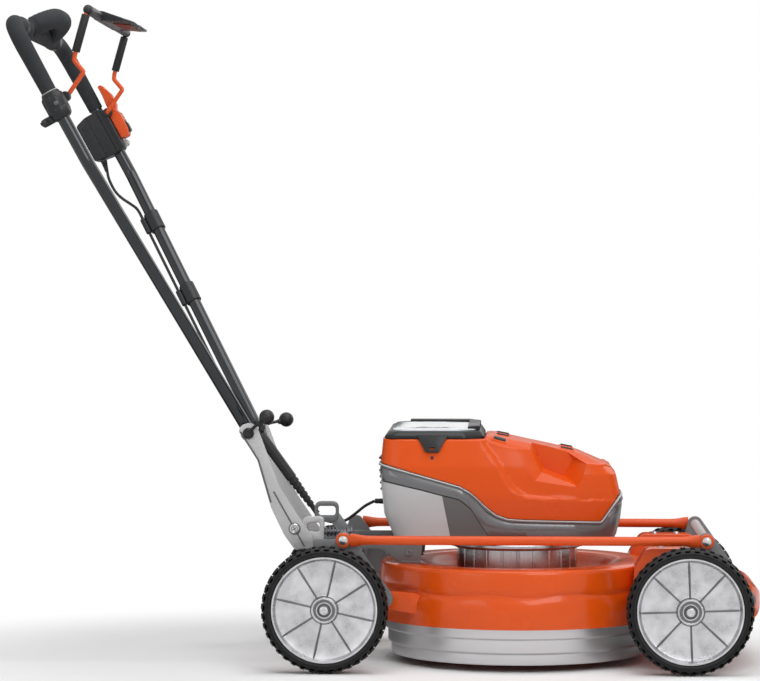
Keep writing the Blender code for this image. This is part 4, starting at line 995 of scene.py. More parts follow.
# A darker cast finish for the ribs and the rings by the hub: painted shade for the dark reflections of their
# steep sides.
RIB_PAINTED_SHADE = Finish(
    "rib_painted_shade", (112, 112, 114), "cast_aluminium", (0.3, 0.44), metallic=0.9, patch=(34, 0.2),
    grain=(620, 0.4))
DRUM_METAL = Finish(
    "drum_metal", (176, 176, 179), "cast_aluminium", (0.2, 0.3), metallic=0.95, patch=(18, 0.14),
    grain=(26, 0.05), stretch=(30.0, 30.0, 0.6))
GREY_SHELL = Finish(
    "grey_shell", (98, 98, 98), "grey_plastic", (0.36, 0.46), patch=(9.0, 0.05), grain=(1700, 0.1), edge_wear_and_highlight=0.2,
    edge_wear_and_highlight_colour=(170, 172, 174))
GREY_CRANK = Finish(
    "grey_crank", (116, 118, 120), "grey_plastic", (0.4, 0.52), metallic=0.2, patch=(9.0, 0.1),
    grain=(900, 0.2), edge_wear_and_highlight=0.3, edge_wear_and_highlight_colour=(190, 190, 192))
LIGHT_SHELL = Finish(
    "light_shell", (190, 191, 192), "grey_plastic", (0.32, 0.42), coat=0.15, patch=(9.0, 0.04),
    grain=(1700, 0.08))
SILVER_BAND = Finish(
    "silver_band", (108, 108, 110), "silver_plastic", (0.24, 0.34), metallic=0.4, coat=0.3, patch=(9.0, 0.05),
    grain=(1500, 0.06))
DARK_MOULDING = Finish(
    "dark_moulding", (32, 33, 35), "dark_plastic", (0.36, 0.48), coat=0.1, shine=0.25, patch=(9.0, 0.1),
    grain=(1600, 0.18), edge_wear_and_highlight=0.2, edge_wear_and_highlight_colour=(96, 96, 98))
LID_FRAME = Finish(
    "lid_frame", (20, 21, 23), "dark_plastic", (0.26, 0.36), coat=0.12, shine=0.2, patch=(9.0, 0.08),
    grain=(1400, 0.1), edge_wear_and_highlight=0.2, edge_wear_and_highlight_colour=(115, 115, 117))
GLOSS_PANEL = Finish(
    "gloss_panel", (204, 210, 214), "light_gloss_plastic", (0.06, 0.12), coat=0.8, patch=(9.0, 0.03),
    grain=(200, 0.01))
TREAD_RUBBER = Finish(
    "tread_rubber", (13, 13, 14), "tyre_rubber", (0.55, 0.72), patch=(30, 0.2), grain=(600, 0.3), edge_wear_and_highlight=0.2,
    edge_wear_and_highlight_colour=(52, 52, 54))
BOOT_RUBBER = Finish(
    "boot_rubber", (24, 24, 26), "tyre_rubber", (0.42, 0.56), patch=(9.0, 0.15), grain=(900, 0.2))
GRIP_FOAM = Finish(
    "grip_foam", (42, 44, 47), "black_foam", (0.78, 0.92), patch=(40, 0.18), grain=(1100, 0.55), pores=0.6)
TUBE_COAT = Finish(
    "tube_coat", (38, 40, 43), "dark_tube", (0.18, 0.26), metallic=0.45, coat=0.4, patch=(9.0, 0.08),
    grain=(1300, 0.05))
BRACKET_ZINC = Finish(
    "bracket_zinc", (184, 184, 184), "zinc_plate", (0.3, 0.44), metallic=0.4, patch=(16, 0.08),
    grain=(500, 0.12), edge_wear_and_highlight=0.2, edge_wear_and_highlight_colour=(245, 245, 245))
BRIGHT_ZINC = Finish(
    "bright_zinc", (200, 200, 201), "zinc_plate", (0.16, 0.28), metallic=0.95, patch=(60, 0.15),
    grain=(900, 0.1))
DARK_STEEL = Finish(
    "dark_steel", (96, 97, 100), "spring_steel", (0.26, 0.4), metallic=0.9, patch=(30, 0.2), grain=(900, 0.2))
KEYPAD_GREY = Finish("keypad_grey", (140, 130, 122), "dark_plastic", (0.4, 0.5), grain=(1600, 0.15))
PALE_CAP = Finish("pale_cap", (176, 176, 174), "dark_plastic", (0.3, 0.4), grain=(1600, 0.08))


class Studio:
    """The floor, the lamps, the world and the camera."""

    @staticmethod
    def white_for_camera(tree: Tree) -> Socket:
        """A mask that is one for camera, glossy and transmitted rays.

        Args:
            tree: The nodes that use it.

        Returns:
            The mask.
        """
        path = shader_node(tree, "LightPath").outputs
        total = path["Is Camera Ray"]
        for label in ("Is Glossy Ray", "Is Transmission Ray"):
            total = shader_node(tree, "Math", {0: total, 1: path[label]}, operation="MAXIMUM").outputs[0]
        return total

    def world(self, level: float) -> None:
        """Lights the scene evenly, with a white background behind it.

        Args:
            level: The strength of the even light.
        """
        world = bpy.data.worlds.new("studio")
        bpy.context.scene.world = world
        world.use_nodes = True
        tree = world.node_tree
        even = tree.nodes["Background"]
        feed(even, {"Strength": level, "Color": WHITE})
        white = shader_node(tree, "Background", {"Color": WHITE})
        mix = shader_node(
            tree, "MixShader", {0: self.white_for_camera(tree), 1: even.outputs[0], 2: white.outputs[0]})
        feed(tree.nodes["World Output"], {"Surface": mix.outputs[0]})

    def floor(self) -> None:
        """A pale floor that takes the mower's shadow near it and turns to plain white further away."""
        settle()
        bpy.ops.mesh.primitive_plane_add(size=60, location=(0, 0, 0))
        floor = placed(named("studio_floor"), Matrix.Translation((0, 0, FLOOR_Z)))
        material = bpy.data.materials.new("floor_white")
        material.use_nodes = True
        tree = material.node_tree
        shader = tree.nodes["Principled BSDF"]
        feed(shader, {"Base Color": (0.93, 0.93, 0.93, 1), "Roughness": 0.9})
        place = shader_node(tree, "TexCoord").outputs["Object"]
        squeeze = shader_node(tree, "Mapping", {"Vector": place, "Scale": (1.0, 1.25, 1.0)})
        away = shader_node(tree, "VectorMath", {0: squeeze.outputs["Vector"]}, operation="LENGTH")
        fade = shader_node(
            tree, "MapRange", {"Value": away.outputs["Value"], "From Min": 0.55, "From Max": 1.15},
            interpolation_type="SMOOTHSTEP")
        seen = shader_node(
            tree, "Math", {0: fade.outputs["Result"], 1: self.white_for_camera(tree)}, operation="MULTIPLY")
        mix = shader_node(
            tree, "MixShader", {0: seen.outputs[0], 1: shader.outputs[0],
                2: shader_node(tree, "Emission").outputs[0]})
        feed(tree.nodes["Material Output"], {"Surface": mix.outputs[0]})
        floor.data.materials.append(material)

    def lamp(self, name: str, place: Point, target: Point, size: Flat, power: float) -> None:
        """One rectangular soft lamp.

        Args:
            name: The lamp's name.
            place: Where it stands.
            target: What it points at.
            size: Its width and height.
            power: Its power in watts.
        """
        settle()
        bpy.ops.object.light_add(type="AREA", location=place)
        lamp = bpy.context.object
        lamp.name = name
        lamp.data.shape = "RECTANGLE"
        lamp.data.size, lamp.data.size_y = size
        lamp.data.energy = power
        lamp.rotation_euler = (Vector(target) - Vector(place)).to_track_quat("-Z", "Y").to_euler()

    def flag(self, name: str, place: Point, target: Point, size: Flat) -> None:
        """One dark card beside the set, seen in reflections only.

        Args:
            name: The card's name.
            place: Where it stands.
            target: What it faces.
            size: Its width and height.
        """
        settle()
        bpy.ops.mesh.primitive_plane_add(size=1, location=(0, 0, 0))
        card = named(name)
        turn = (Vector(target) - Vector(place)).to_track_quat("Z", "Y").to_matrix().to_4x4()
        placed(card, Matrix.Translation(place) @ turn @ Matrix.Diagonal((*size, 1, 1)))
        material = bpy.data.materials.new(name)
        material.use_nodes = True
        feed(material.node_tree.nodes["Principled BSDF"], {"Base Color": (0.02, 0.02, 0.02, 1)})
        card.data.materials.append(material)
        for kind in ("camera", "diffuse", "transmission", "volume_scatter", "shadow"):
            setattr(card, f"visible_{kind}", False)

    def camera(self) -> None:
        """The camera at the photograph's place and angle."""
        settle()
        place, target = Vector((0.2555, -5.65, 0.687)), Vector((-0.022, 0, 0.571))
        bpy.ops.object.camera_add(location=place)
        camera = bpy.context.object
        camera.name = "photo_camera"
        camera.data.lens = 148.5
        camera.data.sensor_width = 36
        camera.data.sensor_fit = "HORIZONTAL"
        camera.rotation_euler = (target - place).to_track_quat("-Z", "Y").to_euler()
        bpy.context.scene.camera = camera

    def build(self) -> None:
        """Sets up the whole studio."""
        self.world(0.32)
        self.floor()
        self.lamp("top_softbox", (0.3, -0.6, 3.2), (0, 0, 0.3), (2.6, 2.2), 54)
        self.lamp("key_softbox", (1.6, -3.2, 2.5), (0.1, 0, 0.4), (1.8, 1.8), 44)
        self.lamp("fill_softbox", (-2.4, -3.4, 1.5), (0, 0, 0.4), (1.6, 1.2), 11)
        self.lamp("rim_softbox", (2.6, 1.6, 2.2), (0, 0, 0.4), (1.6, 1.6), 18)
        self.flag("left_flag", (-2.1, 1.8, 0.7), (0.2, 0, 0.2), (2.4, 2.0))
        self.flag("right_flag", (2.9, 0.6, 0.7), (0.2, 0, 0.2), (1.7, 2.0))
        self.flag("rear_flag", (0.3, 3.4, 0.35), (0.2, 0, 0.2), (3.6, 0.9))
        # Dark cards on the floor, seen only in reflections: painted shade for the floor's shadow near the
        # mower, as the skirt reflects it.
        self.flag("left_floor_shade_flag", (-0.82, 0.45, 0.001), (-0.82, 0.45, 1.0), (1.5, 1.1))
        self.flag("right_floor_shade_flag", (1.12, 0.12, 0.001), (1.12, 0.12, 1.0), (1.3, 0.75))
        self.camera()
        bpy.context.scene.view_settings.view_transform = "Standard"


# Sub-assemblies

@dataclass
class Wheels:
    """Four wheels: a cast disc with ribs and a bearing, and a tyre with two rows of lugs."""

    radius: float = WHEEL_RADIUS
    tyre_width: float = 0.045
    rim_radius: float = 0.0928
    rim_half: float = 0.018
    hub_radius: float = 0.0225
    ribs: int = 8
    lugs: int = 40
    tread_depth: float = 0.0035
    rear_phase: float = radians(32.5)
    front_phase: float = radians(2)

    def disc(self) -> Piece:
        """Turns the disc with its lips, its fillet, its hub and its bearing ring.

        Returns:
            The disc, lying on the XY plane with its outer face up.
        """
        r, half, hub = self.rim_radius, self.rim_half, self.hub_radius
        profile = [
            (r, half - 0.001), (r, -half), (r - 0.0045, -half), (r - 0.005, 0.003), (hub, 0.0028),
            (hub, -half), (0.0068, -half), (0.0068, half), (0.0085, half + 0.0002), (0.009, half - 0.002),
            (0.0118, half - 0.002), (0.0123, half + 0.0004), (0.014, half + 0.0004), (0.0146, half - 0.0022),
            (0.018, half - 0.0022), (0.0188, half + 0.001), (0.02, half + 0.002), (0.0216, half + 0.0018),
            (hub, half + 0.0004), (hub + 0.0008, 0.0125), (hub + 0.003, 0.0108), (hub + 0.01, 0.0102),
            (r - 0.024, 0.0086), (r - 0.013, 0.009), (r - 0.008, 0.0104), (r - 0.0058, 0.0128),
            (r - 0.0048, half - 0.0018), (r - 0.0036, half), (r - 0.001, half)]
        return turned("disc", profile, steps=128, closed=True)

    def rib(self) -> Piece:
        """Shapes one radial rib by moving and bevelling a block.

        Returns:
            The rib, standing on the disc's outer face.
        """
        rib = boxed(
            "rib", (self.hub_radius - 0.002, -0.0026, 0.007), (self.rim_radius - 0.004, 0.0026, 0.0135))
        with editing(rib) as mesh:
            for vert in mesh.verts:
                if vert.co.z > 0.01:
                    vert.co.y *= 0.18
                    vert.co.z = 0.015 if vert.co.x < 0.05 else 0.0122
        return soften(rib, 0.0003, 2)

    def bearing(self) -> Piece:
        """Turns the bearing's shield with its grooves.

        Returns:
            The shield, lying on the XY plane.
        """
        top = self.rim_half
        profile = [
            (0.0068, top - 0.004), (0.0068, top - 0.0004), (0.0082, top - 0.0002), (0.0086, top - 0.0016),
            (0.0098, top - 0.0016), (0.0102, top - 0.0004), (0.0116, top - 0.0004), (0.0116, top - 0.004)]
        return turned("bearing", profile, steps=64)

    def lug(self, row: int) -> Piece:
        """Shapes one tread lug of a row, wrapped over the tyre's shoulder.

        Args:
            row: The row's side, 1 or -1.

        Returns:
            The lug.
        """
        half = self.tyre_width / 2
        base = self.radius - self.tread_depth
        reach = pi * self.radius / self.lugs * 0.54
        lug = boxed("lug", (base - 0.002, -reach, 0.002), (self.radius, reach, half - 0.001))
        with editing(lug) as mesh:
            bpy.ops.mesh.select_all(action="SELECT")
            bpy.ops.mesh.subdivide(number_cuts=3)
            for vert in mesh.verts:
                share = (vert.co.z - 0.002) / (half - 0.003)
                vert.co.y += 0.0022 * share
                if vert.co.x > base:
                    vert.co.y = 0.0022 * share + (vert.co.y - 0.0022 * share) * 0.84
                    vert.co.x -= 0.0042 * max(0.0, share - 0.55) / 0.45
        for vert in lug.data.vertices:
            angle = vert.co.y / self.radius
            lift = vert.co.x
            vert.co = (lift * cos(angle), lift * sin(angle), vert.co.z * row)
        return face_out(lug)

    def tyre(self) -> Piece:
        """Turns the carcass and stands the lugs on it.

        Returns:
            The whole tyre, lying on the XY plane.
        """
        half, base = self.tyre_width / 2, self.radius - self.tread_depth
        seat = self.rim_radius + 0.0004
        side = moved(
            (seat, half), ((0, -0.0035), (0.0012, -0.001), (0.003, 0), (0.0046, -0.0002), (0.0052, -0.0012),
                (0.0066, -0.0012), (0.0072, -0.0002)))
        side += moved((base, half), ((-0.0032, -0.0014), (-0.0012, -0.0036), (0, -0.008)))
        side += [(base + 0.0002, 0.003), (base - 0.001, 0.0012)]
        profile = side + [(r, -z) for r, z in reversed(side)]
        carcass = turned("carcass", profile, steps=160, closed=True)
        pitch = 2 * pi / self.lugs
        rows = [around(self.lug(1), self.lugs), around(self.lug(-1), self.lugs, start=pitch / 2)]
        return merged("tyre", [carcass] + rows)

    def build(self) -> None:
        """Models one wheel and places its four copies."""
        ribs = around(self.rib(), self.ribs)
        rim = self.disc()
        half, hub = self.rim_half, self.hub_radius
        # The rings join the ribs and take their darker finish: painted shade.
        for inner, outer, top in ((0.0147, 0.0179, half - 0.0019), (hub + 0.0006, hub + 0.0024, 0.0128)):
            foot = top - 0.002
            ring = turned("ring", [(inner, top), (outer, top), (outer, foot), (inner, foot)], closed=True)
            ribs = merged("ribs", [ribs, ring])
        bearing = self.bearing()
        tyre = self.tyre()
        things = ((rim, "cast_rim", CAST_METAL, "rim", 28), (ribs, "rim_ribs", RIB_PAINTED_SHADE, "", 32),
                  (tyre, "lugged_tyre", TREAD_RUBBER, "tyre", 35), (bearing, "bearing", DARK_STEEL, "", 32))
        for (end, axle_x), phase in zip(AXLES, (self.rear_phase, self.front_phase)):
            where = (Matrix.Translation((axle_x, -TRACK_HALF, self.radius)) @ Matrix.Rotation(pi / 2, 4, "X")
                     @ Matrix.Rotation(phase, 4, "Z"))
            wheel = [(copied(thing, word, where), word, *rest) for thing, word, *rest in things]
            for thing, word, finish, node, angle in wheel:
                both(thing, f"{word}_{end}_*", f"wheel_{end}_*", finish, f"{node}_{end}_*" if node else "",
                     angle)
        discarded(rim, ribs, bearing, tyre)


def bolt(name: str, place: Sequence[float], out: Sequence[float], radius: float, height: float,
         socket: bool = True) -> Piece:
    """A screw head with a chamfer and, if asked for, a hexagon socket.

    Args:
        name: The piece's name.
        place: The middle of its seat.
        out: The way in which it stands out.
        radius: The head's radius.
        height: The head's height.
        socket: Whether it has a socket.

    Returns:
        The screw head.
    """
    edge = radius * 0.18
    profile = [(0, height), (radius - 2 * edge, height), (radius - edge * 0.5, height - edge * 0.5),
               (radius, height - 2 * edge), (radius, 0), (0, 0)]
    head = turned(name, profile, steps=40)
    if socket:
        carved(head, bar("socket", (0, 0, height * 0.35), (0, 0, height * 2), radius * 0.5, 0.0001, 6))
    return placed(head, Matrix.Translation(place) @ aimed(out))


@dataclass
class HeightLinkage:
    """The cranks, their cross tubes, the side rods and the height lever."""

    rod_radius: float = 0.008
    eye_radius: float = 0.013
    cross_radius: float = 0.01

    @staticmethod
    def places(axle_x: float) -> list[Flat]:
        """The axle, rod pin, deck pivot and cross tube of one crank."""
        return [(axle_x + dx, WHEEL_RADIUS + dz) for dx, dz in ((0, 0), ROD_PIN, DECK_PIVOT, CROSS_TUBE)]

    def crank(self, end: str, axle_x: float) -> None:
        """Shapes a crank plate with a raised border, its bolts, its stub axle and its rod pin.

        Args:
            end: The end of the mower.
            axle_x: Where its axle stands.
        """
        axle, rod_pin, pivot, _ = self.places(axle_x)
        outline = hull([(*axle, 0.016), (*rod_pin, 0.014), (*pivot, 0.017)])
        plate = extruded("plate", outline, -CRANK_OUTER_Y, -CRANK_INNER_Y)
        bordered(plate, 0.0035, 0.0008, 0.0012)
        soften(plate, 0.0009, 3)
        root = -(CRANK_INNER_Y + CRANK_OUTER_Y) / 2
        parts = [
            plate,
            pin("collar", axle, root, -0.2236, 0.011),
            pin("boss", pivot, root, -CRANK_OUTER_Y - 0.0016, 0.0095),
            pin("shank", rod_pin, root, -ROD_Y - 0.0052, 0.005),
            pin("spacer", rod_pin, root, -ROD_Y + 0.0056, 0.0085)]
        if end == "rear":
            parts.append(pin("pin", pivot, root, -0.1745, 0.0058))
        else:
            strip = extruded("strip", hull([(*rod_pin, 0.0085), (*pivot, 0.0085)]), -0.1862, -0.1842)
            both(soften(strip, 0.0005), "crank_flange_*", "front_carrier", BRACKET_ZINC)
        body = f"{end}_carrier"
        plate = finished(
            merged(f"crank_plate_{end}_right", parts), body, GREY_CRANK, [f"crank_{end}_right"])
        nut_y, pin_y, out = -TRACK_HALF - 0.0208, -ROD_Y - 0.0056, (0, -1, 0)
        head = merged("head", [
            pin("axle", axle, -0.215, nut_y, 0.0058),
            bolt("axle_head", (axle[0], nut_y + 0.0014, axle[1]), out, 0.0078, 0.0056)])
        rod_head = merged("rod_head", [
            pin("washer", rod_pin, pin_y, pin_y - 0.001, 0.0078, 0.0003),
            bolt("pin_head", (rod_pin[0], pin_y - 0.0008, rod_pin[1]), out, 0.0056, 0.003, False)])
        pivot_head = bolt("pivot_head", (pivot[0], -CRANK_OUTER_Y - 0.0012, pivot[1]), out, 0.0062, 0.003)
        finished(across(plate, f"crank_plate_{end}_left"), body, GREY_CRANK, [f"crank_{end}_left"])
        for thing, word in ((head, "axle_bolt"), (rod_head, "rod_pin"), (pivot_head, "pivot_bolt")):
            both(thing, f"{word}_{end}_*", body, BRIGHT_ZINC)

    def cross_tube(self, end: str, place: Flat) -> None:
        """Turns the tube between a pair of cranks, with a collar at each end.

        Args:
            end: The end of the mower.
            place: The tube's X and Z.
        """
        tube = pin("tube", place, -0.1855, 0.1855, self.cross_radius)
        collars = [pin("collar", place, s * 0.17, s * 0.179, self.cross_radius + 0.0022)
                   for s in (-1, 1) if end == "rear"]
        tube = merged(f"torsion_tube_{end}", [tube] + collars)
        finished(tube, f"{end}_carrier", DARK_STEEL, [f"cross_tube_{end}"])

    def lever(self, place: Flat) -> None:
        """Shapes the height lever: a collar, an arm and a loop grip with rounded edges.

        Args:
            place: The X and Z of the cross tube that it turns with.
        """
        x, z = place
        low, high = (-0.14, 0.243), (-0.0965, 0.2805)
        arm = extruded(
            "arm", [(x - 0.013, z + 0.002), (x + 0.006, z + 0.008), (high[0] + 0.001, high[1] - 0.022),
                (high[0] - 0.016, low[1] + 0.003)], -0.0052, 0.0052)
        loop = extruded(
            "loop", rounded([low, (high[0], low[1]), high, (low[0], high[1])], 0.0125), -0.0068, 0.0068)
        slot = [(low[0] + 0.0055, low[1] + 0.012), (high[0] - 0.0055, low[1] + 0.012),
                (high[0] - 0.0055, high[1] - 0.0085), (low[0] + 0.0055, high[1] - 0.0085)]
        carved(loop, extruded("slot", rounded(slot, 0.0065), -0.05, 0.05))
        soften(loop, 0.0022, 3)
        soften(arm, 0.0015, 2)
        collar = pin("collar", place, -0.0068, 0.0068, self.cross_radius + 0.006, 0.0015)
        lever = merged("height_grip", [collar, arm, loop])
        finished(lever, "rear_carrier", GREY_CRANK, ["height_lever"])

    def rod(self) -> None:
        """Shapes the side rod: a round bar whose ends are flattened to eyes."""
        rear, front = [self.places(axle_x)[1] for _, axle_x in AXLES]
        steps = 28
        rings = []
        length = front[0] - rear[0]
        stations = [(0.012, 1.0), (0.016, 1.0), (0.022, 0.8), (0.03, 0.35), (0.04, 0.06), (0.046, 0.0)]
        along = stations + [(length - d, flat) for d, flat in reversed(stations)]
        for distance, flat in along:
            tall = self.rod_radius + (self.eye_radius - 0.0014 - self.rod_radius) * flat
            wide = self.rod_radius - (self.rod_radius - 0.0046) * flat
            rings.append([(rear[0] + distance, -ROD_Y + wide * cos(2 * pi * k / steps),
                           rear[1] + tall * sin(2 * pi * k / steps)) for k in range(steps)])
        parts = [lofted("rod", rings)]
        eye = self.eye_radius
        profile = [
            (0.0058, -0.0046), (eye - 0.002, -0.0048), (eye, -0.003), (eye, 0.003), (eye - 0.002, 0.0048),
            (0.0058, 0.0046)]
        parts += [turned("eye", profile, (x, -ROD_Y, z), (0, 1, 0), 48, True) for x, z in (rear, front)]
        both(merged("rod", parts), "side_bar_*", "rod_*", ROD_PAINT, "side_rod_*")

    def build(self) -> None:
        """Models the whole linkage."""
        for end, axle_x in AXLES:
            self.crank(end, axle_x)
            _, _, pivot, cross = self.places(axle_x)
            self.cross_tube(end, pivot if end == "front" else cross)
        self.lever(self.places(REAR_AXLE_X)[3])
        self.rod()


@dataclass
class Deck:
    """The round deck shell, its skirt and its front nose."""

    radius: float = 0.2525
    rim_z: float = 0.076
    crease_z: float = 0.134
    crest_z: float = 0.178
    floor_z: float = 0.15
    basin_radius: float = 0.158
    sheet: float = 0.0025
    pads: int = 5
    wave: float = 0.0022
    pad_depth: float = 0.001
    swage_height: float = 0.0022
    swages: int = 12
    tab_inner: float = 0.1762
    tab_outer: float = 0.1818
    nose_half: float = 0.183
    nose_front: float = 0.656
    nose_rear: float = 0.205
    nose_low: float = 0.0865
    nose_top: float = 0.15
    nose_wall: float = 0.0032
    tower_inner: float = 0.118
    tower_rear: float = 0.169
    tower_front: float = 0.349
    tower_height: float = 0.0625
    tower_taper: float = 0.1

    def outer_line(self) -> list[Flat]:
        """The shell's outer line from the spindle hole to the rim.

        Returns:
            Points of (radius, height).
        """
        crest, crease = (self.radius, self.crest_z), (self.radius, self.crease_z)
        return ([(0.0106, self.floor_z), (0.06, self.floor_z), (0.11, self.floor_z)]
                + moved((self.basin_radius, self.floor_z), (
                    (-0.008, 0), (0.004, 0.0012), (0.012, 0.005), (0.018, 0.014)))
                + moved((self.basin_radius, self.crest_z), (
                    (0.024, -0.005), (0.029, -0.0012), (0.036, 0), (0.055, 0.0003)))
                + moved(crest, ((-0.015, -0.0002), (-0.011, -0.0012), (-0.009, -0.003), (-0.008, -0.008),
                                (-0.0068, -0.021)))
                + moved(crease, ((-0.0056, 0.011), (-0.0058, 0.005), (-0.0078, 0.0016), (-0.0082, 0),
                                 (-0.0072, -0.002), (-0.0045, -0.007), (-0.002, -0.015), (-0.0004, -0.029),
                                 (-0.0004, -0.042)))
                + moved((self.radius, self.rim_z), ((-0.0016, 0.004), (-0.002, 0))))

    def shell(self) -> None:
        """Turns the shell, waves its crease, presses its pads and adds the crank tabs."""
        line = self.outer_line()
        inner = [(max(r - self.sheet * (1.0 if r > self.basin_radius + 0.04 else 0.0), 0.0106),
                  z - (self.sheet if r < self.radius - 0.012 else 0.0)) for r, z in line]
        shell = turned("pressed_deck", line + inner[::-1], (DECK_X, 0, 0), steps=224, closed=True)
        for vert in shell.data.vertices:
            dx, dy = vert.co.x - DECK_X, vert.co.y
            reach, angle = hypot(dx, dy), atan2(dy, dx)
            if reach > self.radius - 0.012 and 0.118 < vert.co.z < 0.152:
                share = 1 - abs(vert.co.z - self.crease_z) / 0.018
                vert.co.z += self.wave * max(0.0, share) * sin(angle * self.pads * 2 + 0.6)
            if reach > self.radius - 0.006 and self.rim_z + 0.008 < vert.co.z < 0.124:
                pad = eased((cos(angle * 2 * self.pads + 0.4) - 0.1) / 0.5)
                vert.co.x -= dx / reach * self.pad_depth * pad
                vert.co.y -= dy / reach * self.pad_depth * pad
            if 0.07 < reach < self.basin_radius - 0.014 and vert.co.z < self.crest_z - 0.01:
                swage = eased((cos(angle * self.swages) - 0.72) / 0.2) * eased((reach - 0.118) / 0.01)
                vert.co.z += self.swage_height * swage * eased((self.basin_radius - 0.014 - reach) / 0.008)
        pivot = HeightLinkage.places(REAR_AXLE_X)[2]
        wall = DECK_X - (self.radius**2 - 0.176**2) ** 0.5 + 0.004
        outline = rounded([(pivot[0] - 0.016, pivot[1] - 0.014), (wall + 0.01, pivot[1] - 0.03),
                           (wall + 0.01, pivot[1] + 0.008), (pivot[0] - 0.016, pivot[1] + 0.014)], 0.012)
        tabs = [soften(extruded("tab", outline, *sorted((s * self.tab_inner, s * self.tab_outer))), 0.0008)
                for s in (-1, 1)]
        deck = merged("pressed_deck", [shell] + tabs)
        finished(deck, "chassis", DECK_PAINT, ["deck"], 40)

    def skirt(self) -> None:
        """Turns the stepped ring under the deck with rolled edges between its bands."""
        flange = self.radius - 0.0018 - self.sheet - 0.0006
        profile = [
            (flange, 0.0818), (flange, 0.0796), (0.2392, 0.0782), (0.2386, 0.0765), (0.2382, 0.0745),
            (0.2379, 0.061), (0.2374, 0.0592), (0.2352, 0.0578), (0.233, 0.0573), (0.232, 0.0563),
            (0.2318, 0.0545), (0.2318, 0.0355), (0.2312, 0.0336), (0.229, 0.0324), (0.227, 0.0317),
            (0.2261, 0.0307), (0.2259, 0.029), (0.2259, 0.014), (0.2252, 0.0124), (0.2244, 0.0121),
            (0.2238, 0.0128), (0.2237, 0.0318), (0.2296, 0.0574), (0.235, 0.0816)]
        skirt = turned("rolled_skirt", profile, (DECK_X, 0, 0), steps=224, closed=True)
        finished(skirt, "chassis", BRUSHED_STEEL, ["skirt"], 45)

    def deck_form(self) -> Piece:
        """The space that the shell takes up, as a cutter for what is shaped round it.

        Returns:
            The cutter.
        """
        crest = self.outer_line()[9:]
        outer = [(0, crest[0][1] + 0.0006)] + [(r + 0.0006, z + 0.0006) for r, z in crest]
        return turned(
            "deck_form", outer + [(crest[-1][0] + 0.0006, 0.0), (0, 0.0)], (DECK_X, 0, 0), steps=160)

    def nose_block(self, name: str, shrink: float, foot: float) -> Piece:
        """The nose's form with its plan rounded, or the smaller form of its inside.

        Args:
            name: The piece's name.
            shrink: How far its faces lie inside.
            foot: Its lower height.

        Returns:
            The form.
        """
        low, half, back = self.nose_low, self.nose_half, DECK_X + self.nose_rear
        front, crown = self.nose_front - shrink, self.nose_top - shrink
        line = [(back, foot), (front - 0.01, foot)]
        line += moved((front, low), ((-0.0005, 0.014), (0, 0.03), (-0.0015, 0.044)))
        line += moved((front, crown), ((-0.01, -0.01), (-0.022, -0.0035), (-0.056, 0))) + [(back, crown)]
        thing = extruded(name, rounded(line, 0.008), -half, half)
        side = half - shrink - 0.0005
        plan = [(0.36, -side), (self.nose_front - 0.075, -side), (front - 0.024, -side + 0.032),
                (front + 0.001, -side + 0.09)]
        plan += [(px, -py) for px, py in reversed(plan)]
        return carved(
            thing, extruded("plan", rounded(plan, 0.03), -0.1, 0.3, Plane.TOP), operation="INTERSECT")

    def tower(self, sign: int) -> Piece:
        """Shapes one tower on the nose, narrower towards its top.

        Args:
            sign: The side, as the sign of Y.

        Returns:
            The tower.
        """
        top, rear, front = self.nose_top, DECK_X + self.tower_rear, DECK_X + self.tower_front
        line = [(rear + 0.034, top - 0.02)] + moved((front, top), ((-0.022, -0.02), (0, -0.001)))
        line += moved((front, 0), ((-0.026, 0.2085), (-0.036, 0.2125)))
        line += moved((rear, 0), ((0.064, 0.2125), (0.056, 0.2085), (0.037, 0.1785)))
        middle = sign * (self.tower_inner + self.nose_half) / 2
        ys = sorted((sign * self.tower_inner, sign * (self.nose_half - 0.001)))
        tower = extruded("tower", rounded(line, 0.004), *ys)
        for vert in tower.data.vertices:
            if vert.co.z > top + 0.01:
                share = (vert.co.z - top) / self.tower_height
                vert.co.y = middle + (vert.co.y - middle) * (1 - self.tower_taper * share)
        return soften(carved(tower, self.deck_form()), 0.003, 3, 25)

    def nose(self) -> None:
        """Cuts the nose to the deck behind it, hollows it, and sets its towers and their bolts on it."""
        nose = soften(
            carved(self.nose_block("front_nose", 0.0, self.nose_low), self.deck_form()), 0.003, 3, 40)
        carved(nose, self.nose_block("nose_room", self.nose_wall, self.nose_low - 0.05))
        parts = [nose, self.tower(-1), self.tower(1)]
        finished(merged("front_nose", parts), "chassis", DECK_PAINT, ["nose"], 35)
        rear = DECK_X + self.tower_rear
        heads = [bolt("tower_bolt", (x, y, 0.2122), (0, 0, 1), 0.0055, 0.0035)
                 for y in (-0.15, 0.15) for x in (rear + 0.084, rear + 0.124)]
        finished(merged("tower_bolts", heads), "chassis", BRIGHT_ZINC)

    def build(self) -> None:
        """Models the deck, the skirt and the nose."""
        self.shell()
        self.skirt()
        self.nose()


